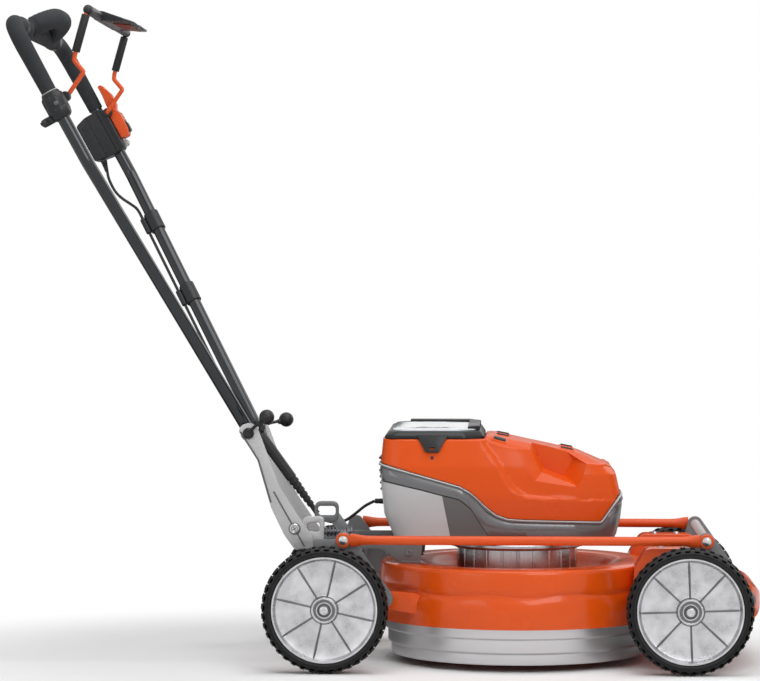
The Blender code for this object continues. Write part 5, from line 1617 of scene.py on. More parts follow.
@dataclass
class Motor:
    """The finned drum under the housing, its flange, and the blade below the deck."""

    drum_radius: float = 0.108
    fins: int = 24
    base_z: float = 0.1503
    top_z: float = 0.205
    flange_radius: float = 0.1262

    def build(self) -> None:
        """Models the drum with its fins and its flange, and dresses the parts inside."""
        outline = []
        for k in range(self.fins):
            for share, radius in ((0.0, 0.0), (0.05, 0.0013), (0.14, 0.0013), (0.19, 0.0), (0.6, 0.0)):
                angle = 2 * pi * (k + share) / self.fins
                reach = self.drum_radius - radius
                outline.append((DECK_X + reach * cos(angle), reach * sin(angle)))
        fins = extruded("fins", outline, self.base_z + 0.004, self.top_z, Plane.TOP)
        foot = [(0.085, self.base_z)] + moved((self.drum_radius, self.base_z), (
            (0, 0), (0.0008, 0.0015), (0.0008, 0.0045), (-0.0012, 0.0058)))
        foot.append((0.085, self.base_z + 0.0058))
        top = self.top_z
        flange = [(0, top + 0.007)] + moved((self.flange_radius, top), (
            (-0.0015, 0.007), (0, 0.0055), (0, 0.0015), (-0.0015, 0), (-0.01, -0.0008), (-0.014, -0.004)))
        flange.append((0, top - 0.004))
        parts = [fins, turned("foot", foot, (DECK_X, 0, 0), steps=160, closed=True),
                 turned("flange", flange, (DECK_X, 0, 0), steps=160)]
        drum = merged("finned_drum", parts)
        finished(drum, "chassis", DRUM_METAL, ["motor_drum"])
        for node in ("blade", "blade_bolt", "motor_rotor"):
            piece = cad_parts[node]
            piece.data.materials.clear()
            piece.data.materials.append(DARK_STEEL.build())


@dataclass
class Housing:
    """The motor housing: orange cover, silver band and grey lower shell, from one plan and one profile."""

    half_width: float = 0.127
    low_z: float = 0.223
    gap: float = 0.0005
    band_stand: float = 0.0016
    wall: float = 0.0022
    panel_stand: float = 0.0017
    slats: int = 6
    passes: int = 6
    plan: tuple[Flat, ...] = (
        (0.0, 0.0), (0.0, 0.4), (0.001, 0.7), (0.01, 0.845), (0.04, 0.935), (0.1, 0.985), (0.2, 1.0),
        (0.454, 1.0), (0.681, 0.935), (0.86, 0.81), (0.93, 0.735), (0.968, 0.66), (0.992, 0.54), (1.0, 0.42),
        (1.0, 0.0))
    shares: tuple[Flat, ...] = (
        (0.2, 0.93), (0.243, 0.97), (0.3, 1.0), (0.35, 0.975), (0.3987, 0.88), (0.44, 0.8))
    rear: tuple[Flat, ...] = (
        (0.223, 0.0155), (0.226, 0.0085), (0.265, -0.0085), (0.31, -0.0135), (0.3567, -0.0165),
        (0.3987, -0.0125))
    front: tuple[Flat, ...] = (
        (0.223, 0.397), (0.229, 0.402), (0.288, 0.412), (0.335, 0.4015), (0.351, 0.388), (0.4, 0.35))
    top: tuple[Flat, ...] = (
        (-0.02, 0.3987), (0.169, 0.3987), (0.1712, 0.404), (0.1765, 0.4052), (0.2085, 0.3988), (0.295, 0.381),
        (0.331, 0.374), (0.38, 0.3525), (0.3925, 0.346), (0.42, 0.34))
    cover_edge: tuple[Flat, ...] = (
        (-0.04, 0.3625), (-0.0126, 0.3554), (0.0562, 0.336), (0.125, 0.3166), (0.1444, 0.306), (0.169, 0.283),
        (0.1885, 0.267), (0.2096, 0.2594), (0.24, 0.2574), (0.3737, 0.2531), (0.4054, 0.2972), (0.44, 0.33))
    band_edge: tuple[Flat, ...] = (
        (-0.04, 0.331), (0.0006, 0.322), (0.0562, 0.3096), (0.0968, 0.299), (0.125, 0.292), (0.1444, 0.276),
        (0.162, 0.2478), (0.176, 0.2267), (0.1765, 0.223), (0.44, 0.223))
    scoop_crease: tuple[Flat, ...] = (
        (0.156, 0.405), (0.1637, 0.3888), (0.1796, 0.3676), (0.1973, 0.3411), (0.2149, 0.3111),
        (0.2343, 0.297), (0.2696, 0.2925), (0.33, 0.2915))

    def stations(self) -> list[Flat]:
        """The plan's points from the middle of the rear round the right-hand side to the front."""
        return [(min(max(p.x, 0.0), 1.0), max(p.y, 0.0)) for p in flowing(self.plan, 0.012)]

    def run(self, share: float, z: float) -> float:
        """The X of a plan station at a height."""
        rear, front = between(self.rear, z), between(self.front, z)
        return rear + share * (front - rear)

    def crease_depth(self, x: float, z: float) -> float:
        """How far the flank lies back at a point in front of the scoop's crease.

        Args:
            x: The point's X.
            z: Its height.

        Returns:
            The depth.
        """
        point = Vector((x, z))
        best, signed = 1.0, 0.0
        for a, b in zip(self.scoop_crease, self.scoop_crease[1:]):
            start, run = Vector(a), Vector(b) - Vector(a)
            share = min(max((point - start).dot(run) / run.dot(run), 0.0), 1.0)
            away = point - (start + run * share)
            if away.length < best:
                best = away.length
                signed = away.length * (1 if run.x * away.y - run.y * away.x > 0 else -1)
        fade = 1 - eased((x - 0.27) / 0.06)
        return 0.0062 * eased(signed / 0.0075) * (0.35 + 0.65 * fade)

    def at(self, share: float, width: float, z: float, out: float = 0.0) -> Point:
        """A point of the right-hand flank.

        Args:
            share: The plan station's share of the length.
            width: Its share of the half width.
            z: The height.
            out: How far the point stands out from the form.

        Returns:
            The point.
        """
        x = self.run(share, z)
        reach = self.half_width * between(self.shares, z) * width
        depth = out - (
            self.crease_depth(x, z) * eased((width - 0.45) / 0.2) if z < self.top_at(x) + 0.01 else 0)
        ahead = (share - 0.5) * 2
        x += out * ahead * abs(ahead)
        return (x, -max(reach + depth * min(1.0, width * 1.6), 0.0), z)

    def top_at(self, x: float) -> float:
        """The height of the silhouette at a place along the housing."""
        return between(self.top, x)

    def crown_at(self, x: float, y: float) -> float:
        """The height of the cover's top, level in the middle and sloping down over each shoulder."""
        slope = 0.4831 - 0.2723 * x - 0.375 * abs(y)
        return min(self.top_at(x), slope) if x > 0.173 else self.top_at(x)

    def level(self, share: float, table: Sequence[Flat]) -> float:
        """The height of a border at a plan station, found by a few turns.

        Args:
            share: The plan station's share of the length.
            table: The border, as (X, height).

        Returns:
            The height.
        """
        z = 0.3
        for _ in range(self.passes):
            z = between(table, self.run(share, z))
        return z

    def skin(self, name: str, columns: Sequence[Sequence[Point]]) -> Piece:
        """Bridges columns of points into a right-hand skin and mirrors it to the left.

        Args:
            name: The piece's name.
            columns: One column of points for each plan station.

        Returns:
            The whole skin, open at its border.
        """
        rows = len(columns[0])
        settle()
        bpy.ops.mesh.primitive_grid_add(x_subdivisions=len(columns) - 1, y_subdivisions=rows - 1, size=1)
        thing = named(name)
        for vert in thing.data.vertices:
            column = round((vert.co.x + 0.5) * (len(columns) - 1))
            row = round((vert.co.y + 0.5) * (rows - 1))
            vert.co = columns[column][row]
        mirror = thing.modifiers.new("other_side", "MIRROR")
        mirror.use_axis = (False, True, False)
        mirror.use_mirror_merge = True
        mirror.merge_threshold = 0.0002
        apply_modifiers(thing)
        face_out(thing)
        outward = sum(face.normal.x * (face.center.x - 0.2) + face.normal.y * face.center.y
                      for face in thing.data.polygons if face.center.z < 0.34)
        return turned_out(thing) if outward < 0 else thing

    def cover_columns(self) -> list[list[Point]]:
        """The cover's columns: up the flank, over the rounded shoulder and in to the middle.

        Returns:
            One column of points for each plan station.
        """
        columns = []
        flank, shoulder, inward = 30, 5, 16
        for share, width in self.stations():
            low = self.level(share, self.cover_edge) + self.gap
            high = 0.37
            for _ in range(self.passes):
                top_x = self.run(share, high)
                bend = 0.0045 if self.top_at(top_x) > 0.352 else 0.003
                reach = self.half_width * between(self.shares, high) * width - bend
                high = (high + self.crown_at(top_x, reach)) / 2
            column = [self.at(share, width, low, -0.004)]
            for k in range(flank + 1):
                z = low + (high - bend - low) * k / flank
                column.append(self.at(share, width, z, -0.0004 if k == 0 else 0.0))
            x0, y0, z0 = column[-1]
            for k in range(1, shoulder + 1):
                turn = pi / 2 * k / shoulder
                pull = min(1.0, max(0.0, -y0 - bend) / bend)
                column.append((x0, y0 + bend * (1 - cos(turn)) * pull, z0 + bend * sin(turn)))
            xs, ys, zs = column[-1]
            crown = 0.0012 if 0.18 < xs < 0.38 else 0.0
            for k in range(1, inward + 1):
                t = k / inward
                y = ys * (1 - t)
                column.append((xs, y, max(zs, self.crown_at(xs, y)) + crown * sin(t * pi / 2)))
            columns.append(column)
        return columns

    def cover(self) -> None:
        """Skins the cover, closes it, and carves the battery bay and the carry recesses."""
        cover = self.skin("housing_shell_top", self.cover_columns())
        with editing(cover):
            bpy.ops.mesh.select_all(action="DESELECT")
            bpy.ops.mesh.select_non_manifold(extend=False)
            bpy.ops.mesh.edge_face_add()
            bpy.ops.mesh.select_all(action="SELECT")
            bpy.ops.mesh.normals_make_consistent(inside=False)
        bay = boxed("bay", (0.0185, -0.0615, 0.3003), (0.1415, 0.0615, 0.5))
        carved(cover, bay, self.recess(-1), self.recess(1))
        finished(cover, "chassis", COVER_PLASTIC, ["housing_cover"], 24)

    def recess(self, sign: int) -> Piece:
        """Shapes the cutter of one carry recess from its outer border, its inner border and its floor.

        Args:
            sign: The side, as the sign of Y.

        Returns:
            The cutter.
        """
        outer = [(0.207, 0.47), (0.2085, 0.3905), (0.2573, 0.3258), (0.3336, 0.3128), (0.3562, 0.353),
                 (0.331, 0.376), (0.331, 0.47)]
        inner = [(0.24, 0.47), (0.241, 0.3888), (0.269, 0.34), (0.331, 0.3165), (0.353, 0.3535),
                 (0.329, 0.375), (0.329, 0.47)]
        floor = [(0.25, 0.47), (0.25, 0.395), (0.2745, 0.345), (0.309, 0.332), (0.3255, 0.364),
                 (0.317, 0.372), (0.317, 0.47)]
        rings = []
        for outline, y in ((outer, 0.15), (outer, 0.108), (inner, 0.0965), (floor, 0.062)):
            rings.append([(x, sign * y, z) for x, z in rounded(outline, 0.0025, 2)])
        return lofted("recess", rings)

    def band(self) -> None:
        """Skins the silver band with its ridge, and a light strip along its upper edge: a painted highlight
        where that edge catches the light.
        """
        columns = []
        profile = (
            (0.0, -0.0035), (0.0, 0.001), (0.02, 0.002), (0.11, 0.0024), (0.135, 0.0016), (0.16, 0.0002),
            (0.21, 0.0002), (0.25, 0.001), (0.5, 0.0019), (0.6, 0.002), (0.95, 0.0008), (1.0, -0.0006),
            (1.0, -0.0035))
        for share, width in self.stations():
            high = self.level(share, self.cover_edge) - self.gap
            low = self.level(share, self.band_edge) + self.gap
            column = []
            for down, out in profile:
                z = high + (low - high) * down
                column.append(self.at(share, width, z, out + self.band_stand * 0.4))
            columns.append(column)
        band = self.skin("housing_silver_band", columns)
        finished(self.thickened(band), "chassis", SILVER_BAND, ["housing_band"], 30)
        # A light strip along the band's upper edge in the light panel's finish: a painted highlight where the
        # edge catches the light.
        highlight_rows = []
        for share, width in self.stations():
            high = self.level(share, self.cover_edge) - self.gap
            highlight_rows.append([self.at(share, width, high - down, out + 0.0006) for down, out in (
                (0.0, 0.0006), (0.0, 0.0026), (0.0005, 0.0031), (0.0018, 0.0031), (0.0022, 0.0026),
                (0.0022, 0.0006))])
        finished(self.skin("housing_band_highlight", highlight_rows), "chassis", LIGHT_SHELL, angle=50)

    def thickened(self, shell: Piece) -> Piece:
        """Gives an open skin a wall on its inner side.

        Args:
            shell: The open skin.

        Returns:
            The same skin, closed.
        """
        wall = shell.modifiers.new("wall", "SOLIDIFY")
        wall.thickness = self.wall
        wall.offset = -1
        return apply_modifiers(shell)

    def lower(self) -> None:
        """Skins the lower shell and its light rear panel, with the bottom plate and the cable inlet."""
        columns = []
        flank, inward, tuck = 13, 6, 0.985
        for share, width in self.stations():
            high = self.level(share, self.band_edge) - self.gap
            high = max(high, self.low_z + 0.0004)
            column = [self.at(share, width, high, -0.0035)]
            for k in range(flank + 1):
                column.append(self.at(share, width, high + (self.low_z + 0.002 - high) * k / flank))
            x, y, _ = self.at(share, width, self.low_z)
            column.append((x, y * tuck, self.low_z + 0.0004))
            for k in range(1, inward + 1):
                column.append((x, y * tuck * (1 - k / inward), self.low_z))
            columns.append(column)
        shell = self.thickened(self.skin("housing_shell_low", columns))
        plinth = turned(
            "plinth", [(0.08, 0.2132), (0.1165, 0.2132), (0.118, 0.215), (0.118, 0.224), (0.08, 0.224)],
            (DECK_X, 0, 0), steps=128, closed=True)
        shell = merged("housing_shell_low", [shell, plinth])
        finished(shell, "chassis", GREY_SHELL, ["housing_lower"], 30)
        self.light_panel()
        rear = -0.0105
        profile = [
            (0.003, 0.03), (0.0042, 0.0295), (0.0048, 0.024), (0.0042, 0.0235), (0.0052, 0.018),
            (0.0046, 0.0175), (0.006, 0.012), (0.0054, 0.0115), (0.0085, 0.01), (0.0088, 0.008),
            (0.0088, 0.0)]
        relief = turned("inlet_relief", profile, (rear + 0.006, BOOT_Y, 0.277), (-1, 0, 0), 48)
        finished(relief, "chassis", BOOT_RUBBER)

    def light_panel(self) -> None:
        """Skins the light panel that wraps the lower shell's rear, a little proud of it."""
        front_edge = [(0.223, 0.1087), (0.2288, 0.1075), (0.2985, 0.0939), (0.33, 0.088)]
        columns = []
        flank = 10
        points = self.stations()
        last = max(k for k, (share, _) in enumerate(points) if self.run(share, 0.26) < 0.105)
        for index, (share, width) in enumerate(points[:last + 1]):
            high = self.level(share, self.band_edge) - self.gap * 2
            column = [self.at(share, width, high, -0.0012)]
            for k in range(flank + 1):
                z = high + (self.low_z + 0.003 - high) * k / flank
                x, y, z = self.at(share, width, z, self.panel_stand)
                if index == last:
                    x = between(front_edge, z)
                column.append((x, y, z))
            column.append(self.at(share, width, self.low_z + 0.003, -0.0012))
            columns.append(column)
        columns.append([(x + 0.0004, y + 0.0024, z) for x, y, z in columns[-1]])
        finished(self.skin("housing_light_panel", columns), "chassis", LIGHT_SHELL, angle=30)

    def louvre(self) -> None:
        """Models one dark slat and repeats it down the rear wall."""
        top, foot = 0.364, 0.2975
        pitch = (top - foot) / self.slats
        slats = []
        for k in range(self.slats):
            z = top - k * pitch
            outline = moved((between(self.rear, z) - 0.0004, z), (
                (0.002, 0.0006), (-0.0052, -0.0008), (-0.0058, -0.0026), (-0.0046, -0.0042), (0.002, -0.006)))
            slats.append(soften(extruded("slat", outline, -0.045, 0.045), 0.0006, 2))
        finished(merged("louvre_slats", slats), "chassis", DARK_MOULDING, ["louvre"])

    def plugs(self) -> None:
        """Small dark caps on the cover's top, each a bevelled block on a raised orange seat."""
        caps, seats = [], []
        for x, y in ((0.195, 0.09), (0.2, 0.035), (0.314, 0.045)):
            for side in (-y, y):
                z = self.crown_at(x, side) + 0.0014
                slope = atan2(self.crown_at(x + 0.012, side) - self.crown_at(x - 0.012, side), 0.024)
                roll = atan2(self.crown_at(x, side + 0.01) - self.crown_at(x, side - 0.01), 0.02)
                turn = (Matrix.Translation((x, side, z)) @ Matrix.Rotation(-slope, 4, "Y")
                        @ Matrix.Rotation(roll, 4, "X"))
                cap = boxed("cap", (-0.011, -0.005, -0.002), (0.011, 0.005, 0.003))
                caps.append(placed(soften(cap, 0.0016, 3), turn))
                seat = boxed("seat", (-0.014, -0.0085, -0.006), (0.014, 0.0085, 0.0006))
                seats.append(placed(soften(seat, 0.0016, 3), turn))
        finished(merged("cover_plugs", caps), "chassis", DARK_MOULDING)
        finished(merged("plug_seats", seats), "chassis", COVER_PLASTIC)

    def battery(self) -> None:
        """Shapes the battery: a rounded case with a recessed grip and contact ribs."""
        plan = rounded([(0.02, -0.06), (0.14, -0.06), (0.14, 0.06), (0.02, 0.06)], 0.01)
        case = extruded("battery_case", plan, 0.3003, 0.392, Plane.TOP)
        soften(case, 0.003, 3, 40)
        carved(case, soften(boxed("grip", (0.035, -0.016, 0.38), (0.125, 0.016, 0.41)), 0.004, 3))
        ribs = [
            soften(boxed("rib", (0.034, mid - 0.008, 0.39), (0.126, mid + 0.008, 0.396)), 0.002, 2)
            for mid in (-0.034, 0.034)]
        handle = soften(boxed("strap", (0.035, -0.0035, 0.386), (0.125, 0.0035, 0.393)), 0.0025, 3)
        finished(merged("battery_case", [case, handle] + ribs), "chassis", DARK_MOULDING, ["battery"])

    def build(self) -> None:
        """Models the housing and what belongs to it."""
        self.cover()
        self.band()
        self.lower()
        self.louvre()
        self.plugs()
        self.battery()


@dataclass
class Lid:
    """The battery lid with its sloping dark frame, its light panel and its latch."""

    rear_x: float = -0.009
    length: float = 0.177
    half_width: float = 0.107
    low_z: float = 0.399
    height: float = 0.0195
    lean: float = 0.0068

    def outline(self, inset: float) -> list[Flat]:
        """The lid seen from above, drawn in by an inset.

        Args:
            inset: How far it is drawn in.

        Returns:
            The outline.
        """
        rear, front = self.rear_x + inset, self.rear_x + self.length - inset
        half = self.half_width - inset
        points = [
            (rear, -half + 0.014), (rear + 0.014, -half), (front - 0.034, -half), (front, -half + 0.026)]
        return rounded(points + [(x, -y) for x, y in reversed(points)], 0.0045, 3)

    def fall(self, y: float) -> float:
        """How far the leaning top lies below its far edge."""
        return self.lean * (self.half_width - y) / (2 * self.half_width)

    def ring(self, inset: float, z: float) -> list[Point]:
        """One level of the lid, sloping down to the latch.

        Args:
            inset: How far it is drawn in.
            z: Its height at the far edge.

        Returns:
            The level's points.
        """
        rise = min(max((z - self.low_z) / self.height, 0.0), 1.0)
        return [(x, y, z - rise * self.fall(y)) for x, y in self.outline(inset)]

    def rim(self) -> Piece:
        """Shapes the thick bar along the lid's front and the raised rim along its far side.

        Returns:
            The bar and the rim as one piece.
        """
        top = self.low_z + self.height
        front = self.rear_x + self.length
        near = moved((front, 0), (
            (-0.03, -0.076), (-0.0085, -0.066), (-0.0085, 0.07), (-0.016, 0.078), (-0.03, 0.078)))
        far = [(0.03, 0.082), (front - 0.016, 0.076), (front - 0.028, 0.0985), (0.03, 0.0985)]
        bars = []
        for outline in (near, far):
            piece = extruded("rim", outline, top - 0.004, top + 0.0078, Plane.TOP)
            for vert in piece.data.vertices:
                vert.co.z -= self.fall(vert.co.y)
            bars.append(soften(piece, 0.0022, 3, 40))
        return merged("lid_rim", bars)

    def shrunk(self, ring: Sequence[Point], share: float) -> list[Point]:
        """Draws a ring in towards the lid's middle."""
        middle = self.rear_x + self.length / 2
        return [(middle + (x - middle) * share, y * share, z) for x, y, z in ring]

    def build(self) -> None:
        """Models the frame, the panel and the latch."""
        low, top = self.low_z, self.low_z + self.height
        levels = moved(
            (0, low), ((0.006, 0.0006), (0.0012, 0), (0, 0.0012), (0.0004, 0.0062), (0.0012, 0.0086)))
        levels += moved((0, top), (
            (0.007, -0.0012), (0.0086, 0), (0.0112, 0.0001), (0.0126, -0.0012), (0.014, -0.0016),
            (0.05, -0.0016), (0.05, -0.004), (0.0126, -0.004)))
        levels += moved((0, low), ((0.007, 0.011), (0.006, 0.0006)))
        border = lofted("border", [self.ring(*level) for level in levels], closed_ends=False)
        plate = lofted("plate", [self.ring(0.049, top - 0.0017), self.ring(0.049, top - 0.0039)])
        finished(
            merged("lid_frame", [border, plate, self.rim()]), "battery_lid", LID_FRAME, ["battery_lid"], 26)
        base = top - 0.0013
        levels = moved((0, base), ((0.0138, 0), (0.0132, 0.0022), (0.0142, 0.004), (0.0175, 0.005)))
        domed = [self.shrunk(self.ring(0.0175, base + 0.005 + 0.0018 * (1 - share**2)), share)
                 for share in (0.85, 0.65, 0.4, 0.15)]
        panel = lofted("lid_gloss", [self.ring(*level) for level in levels] + domed)
        finished(panel, "battery_lid", GLOSS_PANEL, ["lid_panel"], 26)
        self.latch()

    def latch(self) -> None:
        """Shapes the latch plate with its ribs, its slot and its barrel."""
        middle, drop, barrel = 0.076, 0.03, 0.0032
        y, z = -self.half_width - 0.0003 - barrel, self.low_z + 0.0045
        half = [(-0.028, 0.002), (-0.017, -drop * 0.62), (-0.0125, -drop * 0.94), (-0.009, -drop)]
        outline = moved((middle, 0), half + [(-a, b) for a, b in reversed(half)])
        plate = extruded("latch_plate", outline, -barrel, barrel * 0.1)
        bordered(plate, 0.0022, 0.0005, 0.0007)
        soften(plate, 0.0005, 2)
        carved(plate, boxed("slot", (middle - 0.005, -0.05, -drop * 0.84),
                            (middle + 0.005, 0.05, -drop * 0.84 + 0.0045)))
        feet = [-drop * 0.3 - k * 0.0034 for k in range(3)]
        ribs = [soften(boxed("rib", (middle - 0.01, -barrel - 0.0003, foot),
                             (middle + 0.01, -barrel + 0.001, foot + 0.0014)), 0.0004, 2) for foot in feet]
        plate = merged("latch_plate", [plate] + ribs)
        placed(plate, Matrix.Translation((0, y, z)) @ Matrix.Rotation(-radians(20), 4, "X"))
        roll = bar("roll", (middle - 0.026, y, z), (middle + 0.026, y, z), barrel, 0.0006)
        latch = merged("latch_plate", [plate, roll])
        finished(latch, "lid_latch", DARK_MOULDING, ["lid_latch"])
        pull = extruded("latch_pull", [(0.0735, 0.356), (0.0785, 0.356), (0.0785, 0.369), (0.0735, 0.369)],
                        -0.1208, -0.115)
        finished(soften(pull, 0.0008), "chassis", DARK_MOULDING)


@dataclass
class RearBrackets:
    """The two handle brackets, the slotted lug with its spring, and the cam levers at the fold."""

    foot_z: float = 0.1783
    outer_y: float = 0.102
    spring_radius: float = 0.00875
    spring_wire: float = 0.003
    spring_turns: int = 7
    knob_radius: float = 0.0135

    def plate(self) -> Piece:
        """Shapes the right-hand plate with a raised border round its outer face.

        Returns:
            The plate.
        """
        arch = WHEEL_RADIUS + CROSS_TUBE[1] + 0.0135
        outline = moved(
            (FOLD_X, FOLD_Z), ((-0.018, 0.004), (-0.013, 0.014), (0, 0.019), (0.013, 0.014), (0.02, 0)))
        outline += [
            (-0.1965, 0.314), (-0.1715, 0.274), (-0.137, 0.224), (-0.1362, 0.206), (-0.14, 0.2035),
            (-0.156, arch), (-0.1675, arch - 0.004), (-0.1875, 0.227), (-0.211, 0.276), (-0.2135, 0.285),
            (-0.2355, 0.361)]
        plate = extruded("plate", rounded(outline, 0.006), -self.outer_y, -BRACKET_Y)
        bordered(plate, 0.005, 0.0008, 0.001)
        return soften(plate, 0.0006, 2, 35)

    def arm(self) -> Piece:
        """Shapes the bracket's right-hand arm, which reaches forward over the deck's crest, with its bolts.

        Returns:
            The arm.
        """
        reach, front, y = -0.1362, DECK_X - 0.166, -self.outer_y
        line = [(reach, 0.22), (front - 0.006, 0.22), (front, 0.214), (front - 0.004, self.foot_z),
                (front - 0.039, self.foot_z), (front - 0.074, 0.2035), (reach, 0.2035)]
        arm = soften(
            extruded("bracket_arm_right", rounded(line, 0.006), y + 0.0004, -BRACKET_Y), 0.001, 2, 35)
        foot = boxed("foot", (front - 0.039, y - 0.0004, self.foot_z),
                     (front - 0.006, -BRACKET_Y + 0.018, self.foot_z + 0.0035))
        heads = [bolt("arm_bolt", (x, y + 0.0004, z), (0, -1, 0), 0.007, 0.003)
                 for x, z in ((-0.062, 0.211), (front - 0.025, 0.1965))]
        return merged("bracket_arm_right", [arm, soften(foot, 0.001, 2)] + heads)

    def cap(self) -> Piece:
        """Turns the round cap screw with its recess and cross slots.

        Returns:
            The cap, standing on the right-hand plate.
        """
        x, z = CAP_SPOT
        profile = [
            (0, 0.0018), (0.0042, 0.0018), (0.005, 0.0012), (0.0056, 0.0022), (0.0064, 0.003),
            (0.008, 0.0028), (0.009, 0.0016), (0.009, -0.001), (0, -0.001)]
        cap = turned("cap", profile, steps=48)
        for long, wide in ((0.004, 0.0008), (0.0008, 0.004)):
            carved(cap, boxed("slot", (-long, -wide, 0.0004), (long, wide, 0.01)))
        turn = aimed((0, -1, 0)) @ Matrix.Rotation(radians(30), 4, "Z")
        return placed(cap, Matrix.Translation((x, -self.outer_y, z)) @ turn)

    def lug(self) -> None:
        """Shapes the slotted lug, the spring's guide pin and the spring."""
        low_x, high_x, low_z, high_z = -0.16, -0.1165, 0.207, 0.26
        form = [(low_x, low_z), (high_x, low_z), (high_x, high_z), (low_x + 0.006, high_z)]
        lug = extruded("slotted_lug", rounded(form, 0.01), -BRACKET_Y - 0.001, -BRACKET_Y + 0.012)
        slot = [
            (low_x + 0.014, low_z + 0.026), (high_x - 0.008, low_z + 0.026), (high_x - 0.008, high_z - 0.01),
            (low_x + 0.014, high_z - 0.012)]
        carved(lug, extruded("slot", rounded(slot, 0.006), -0.2, 0.0))
        soften(lug, 0.0015, 3, 50)
        finished(lug, "chassis", BRACKET_ZINC)
        y, z, end = -BRACKET_Y + 0.006, 0.2326, -0.07
        guide = merged("spring_pin", [
            bar("pin", (high_x - 0.004, y, z), (end + 0.002, y, z), 0.0048),
            bar("head", (end + 0.0003, y, z), (end + 0.004, y, z), self.spring_radius, 0.001)])
        finished(guide, "chassis", DARK_STEEL)
        wire = self.spring_wire / 2
        radius = self.spring_radius - wire
        start = high_x + 0.0003
        steps = 20
        count = self.spring_turns * steps
        length = end - start - 2 * wire
        points = [
            (start + wire + length * k / count, y + radius * cos(2 * pi * k / steps),
             z + radius * sin(2 * pi * k / steps)) for k in range(count + 1)]
        spring = swept("wound_spring", points, wire, 4)
        finished(spring, "chassis", DARK_STEEL, ["coil_spring"])

    def cam(self, side: Side) -> None:
        """Shapes a cam lever with its bolt, its waisted arm and its ball knob.

        Args:
            side: The side that it stands on.
        """
        sign = side.value
        outer = self.outer_y + 0.0003
        dx, dz = (0.035, 0.03) if side is Side.RIGHT else (0.049, 0.014)
        ball = Vector((FOLD_X + dx, sign * (BRACKET_Y + 0.032), FOLD_Z + dz))
        root = Vector((FOLD_X, sign * (outer + 0.005), FOLD_Z))
        body = f"cam_lever_{side.word}"
        cam = turned(
            "cam", [(0, 0.009), (0.007, 0.009), (0.0088, 0.0075), (0.01, 0.005), (0.01, 0.0008), (0.0092, 0),
                (0, 0)], (FOLD_X, sign * outer, FOLD_Z), (0, sign, 0), 48)
        arm = swept(
            "arm", flowing([root, root.lerp(ball, 0.4) + Vector((0, 0, 0.002)), ball], 0.003), 0.0036, 6,
            lambda t: 1.15 - 0.4 * sin(t * pi))
        finished(merged(f"cam_handle_{side.word}", [cam, arm]), body, DARK_MOULDING, [body])
        shank = pin(
            f"cam_bolt_{side.word}", (FOLD_X, FOLD_Z), sign * (FOOT_HALF - 0.017), sign * (outer + 0.004),
            0.0039)
        finished(shank, body, BRIGHT_ZINC)
        r = self.knob_radius
        way = (ball - root).normalized()
        dome = [(r * sin(pi * k / 24), -r * cos(pi * k / 24)) for k in range(24, 3, -1)]
        knob = turned(
            f"ball_knob_{side.word}", dome + [(0.0052, -r * 0.96), (0.0046, -r - 0.003), (0, -r - 0.003)],
            ball, way, 48)
        finished(knob, body, DARK_MOULDING)

    def boot(self) -> None:
        """Turns the rubber boot that holds the cable below the fold, ribbed towards its end."""
        run = (BOOT_END - BOOT_TOP).normalized()
        begin = BOOT_TOP + run * 0.0125
        length = (BOOT_END - begin).length
        profile = [
            (0, 0), (0.007, 0), (0.0085, -0.0015), (0.0094, -0.01), (0.0098, -0.03), (0.0096, -length * 0.5)]
        for k in range(7):
            at = -length * 0.52 - k * 0.01
            wide = 0.0096 - k * 0.00055
            profile += [
                (wide, at), (wide, at - 0.0058), (wide - 0.0016, at - 0.0066), (wide - 0.0016, at - 0.009)]
        profile += [(0.0052, -length + 0.002), (0.005, -length), (0, -length)]
        boot = turned("cable_gaiter", profile, begin, -run, 48)
        finished(boot, "chassis", BOOT_RUBBER, ["cable_boot"])

    def build(self) -> None:
        """Models both brackets and what stands on them."""
        plate, cap = self.plate(), self.cap()
        both(plate, "bracket_plate_*", "chassis", BRACKET_ZINC, "bracket_*")
        both(cap, "bracket_cap_*", "chassis", BRIGHT_ZINC)
        both(self.arm(), "bracket_arm_*", "chassis", GREY_CRANK)
        y = -self.outer_y
        # A dark ring round the cap and two thin dark strips along the plate: painted shade that draws the
        # cap's dark outline and the plate's fold lines.
        washer = pin("washer", CAP_SPOT, y, y - 0.0009, 0.0108, 0.0004)
        strip = extruded("strip", [(-0.2075, 0.304), (-0.205, 0.3052), (-0.15, 0.207), (-0.1527, 0.207)],
                         y - 0.0008, y + 0.0005)
        fold_shade_line = extruded(
            "fold_shade_line", moved((FOLD_X, FOLD_Z), ((-0.0165, 0.003), (-0.013, 0.003)))
            + [(-0.2318, 0.36), (-0.2098, 0.285), (-0.213, 0.285), (-0.2352, 0.36)], y - 0.001, y + 0.0005)
        both(merged("trim", [washer, strip, fold_shade_line]), "bracket_trim_*", "chassis", DARK_STEEL)
        self.lug()
        self.boot()
        for side in Side:
            self.cam(side)


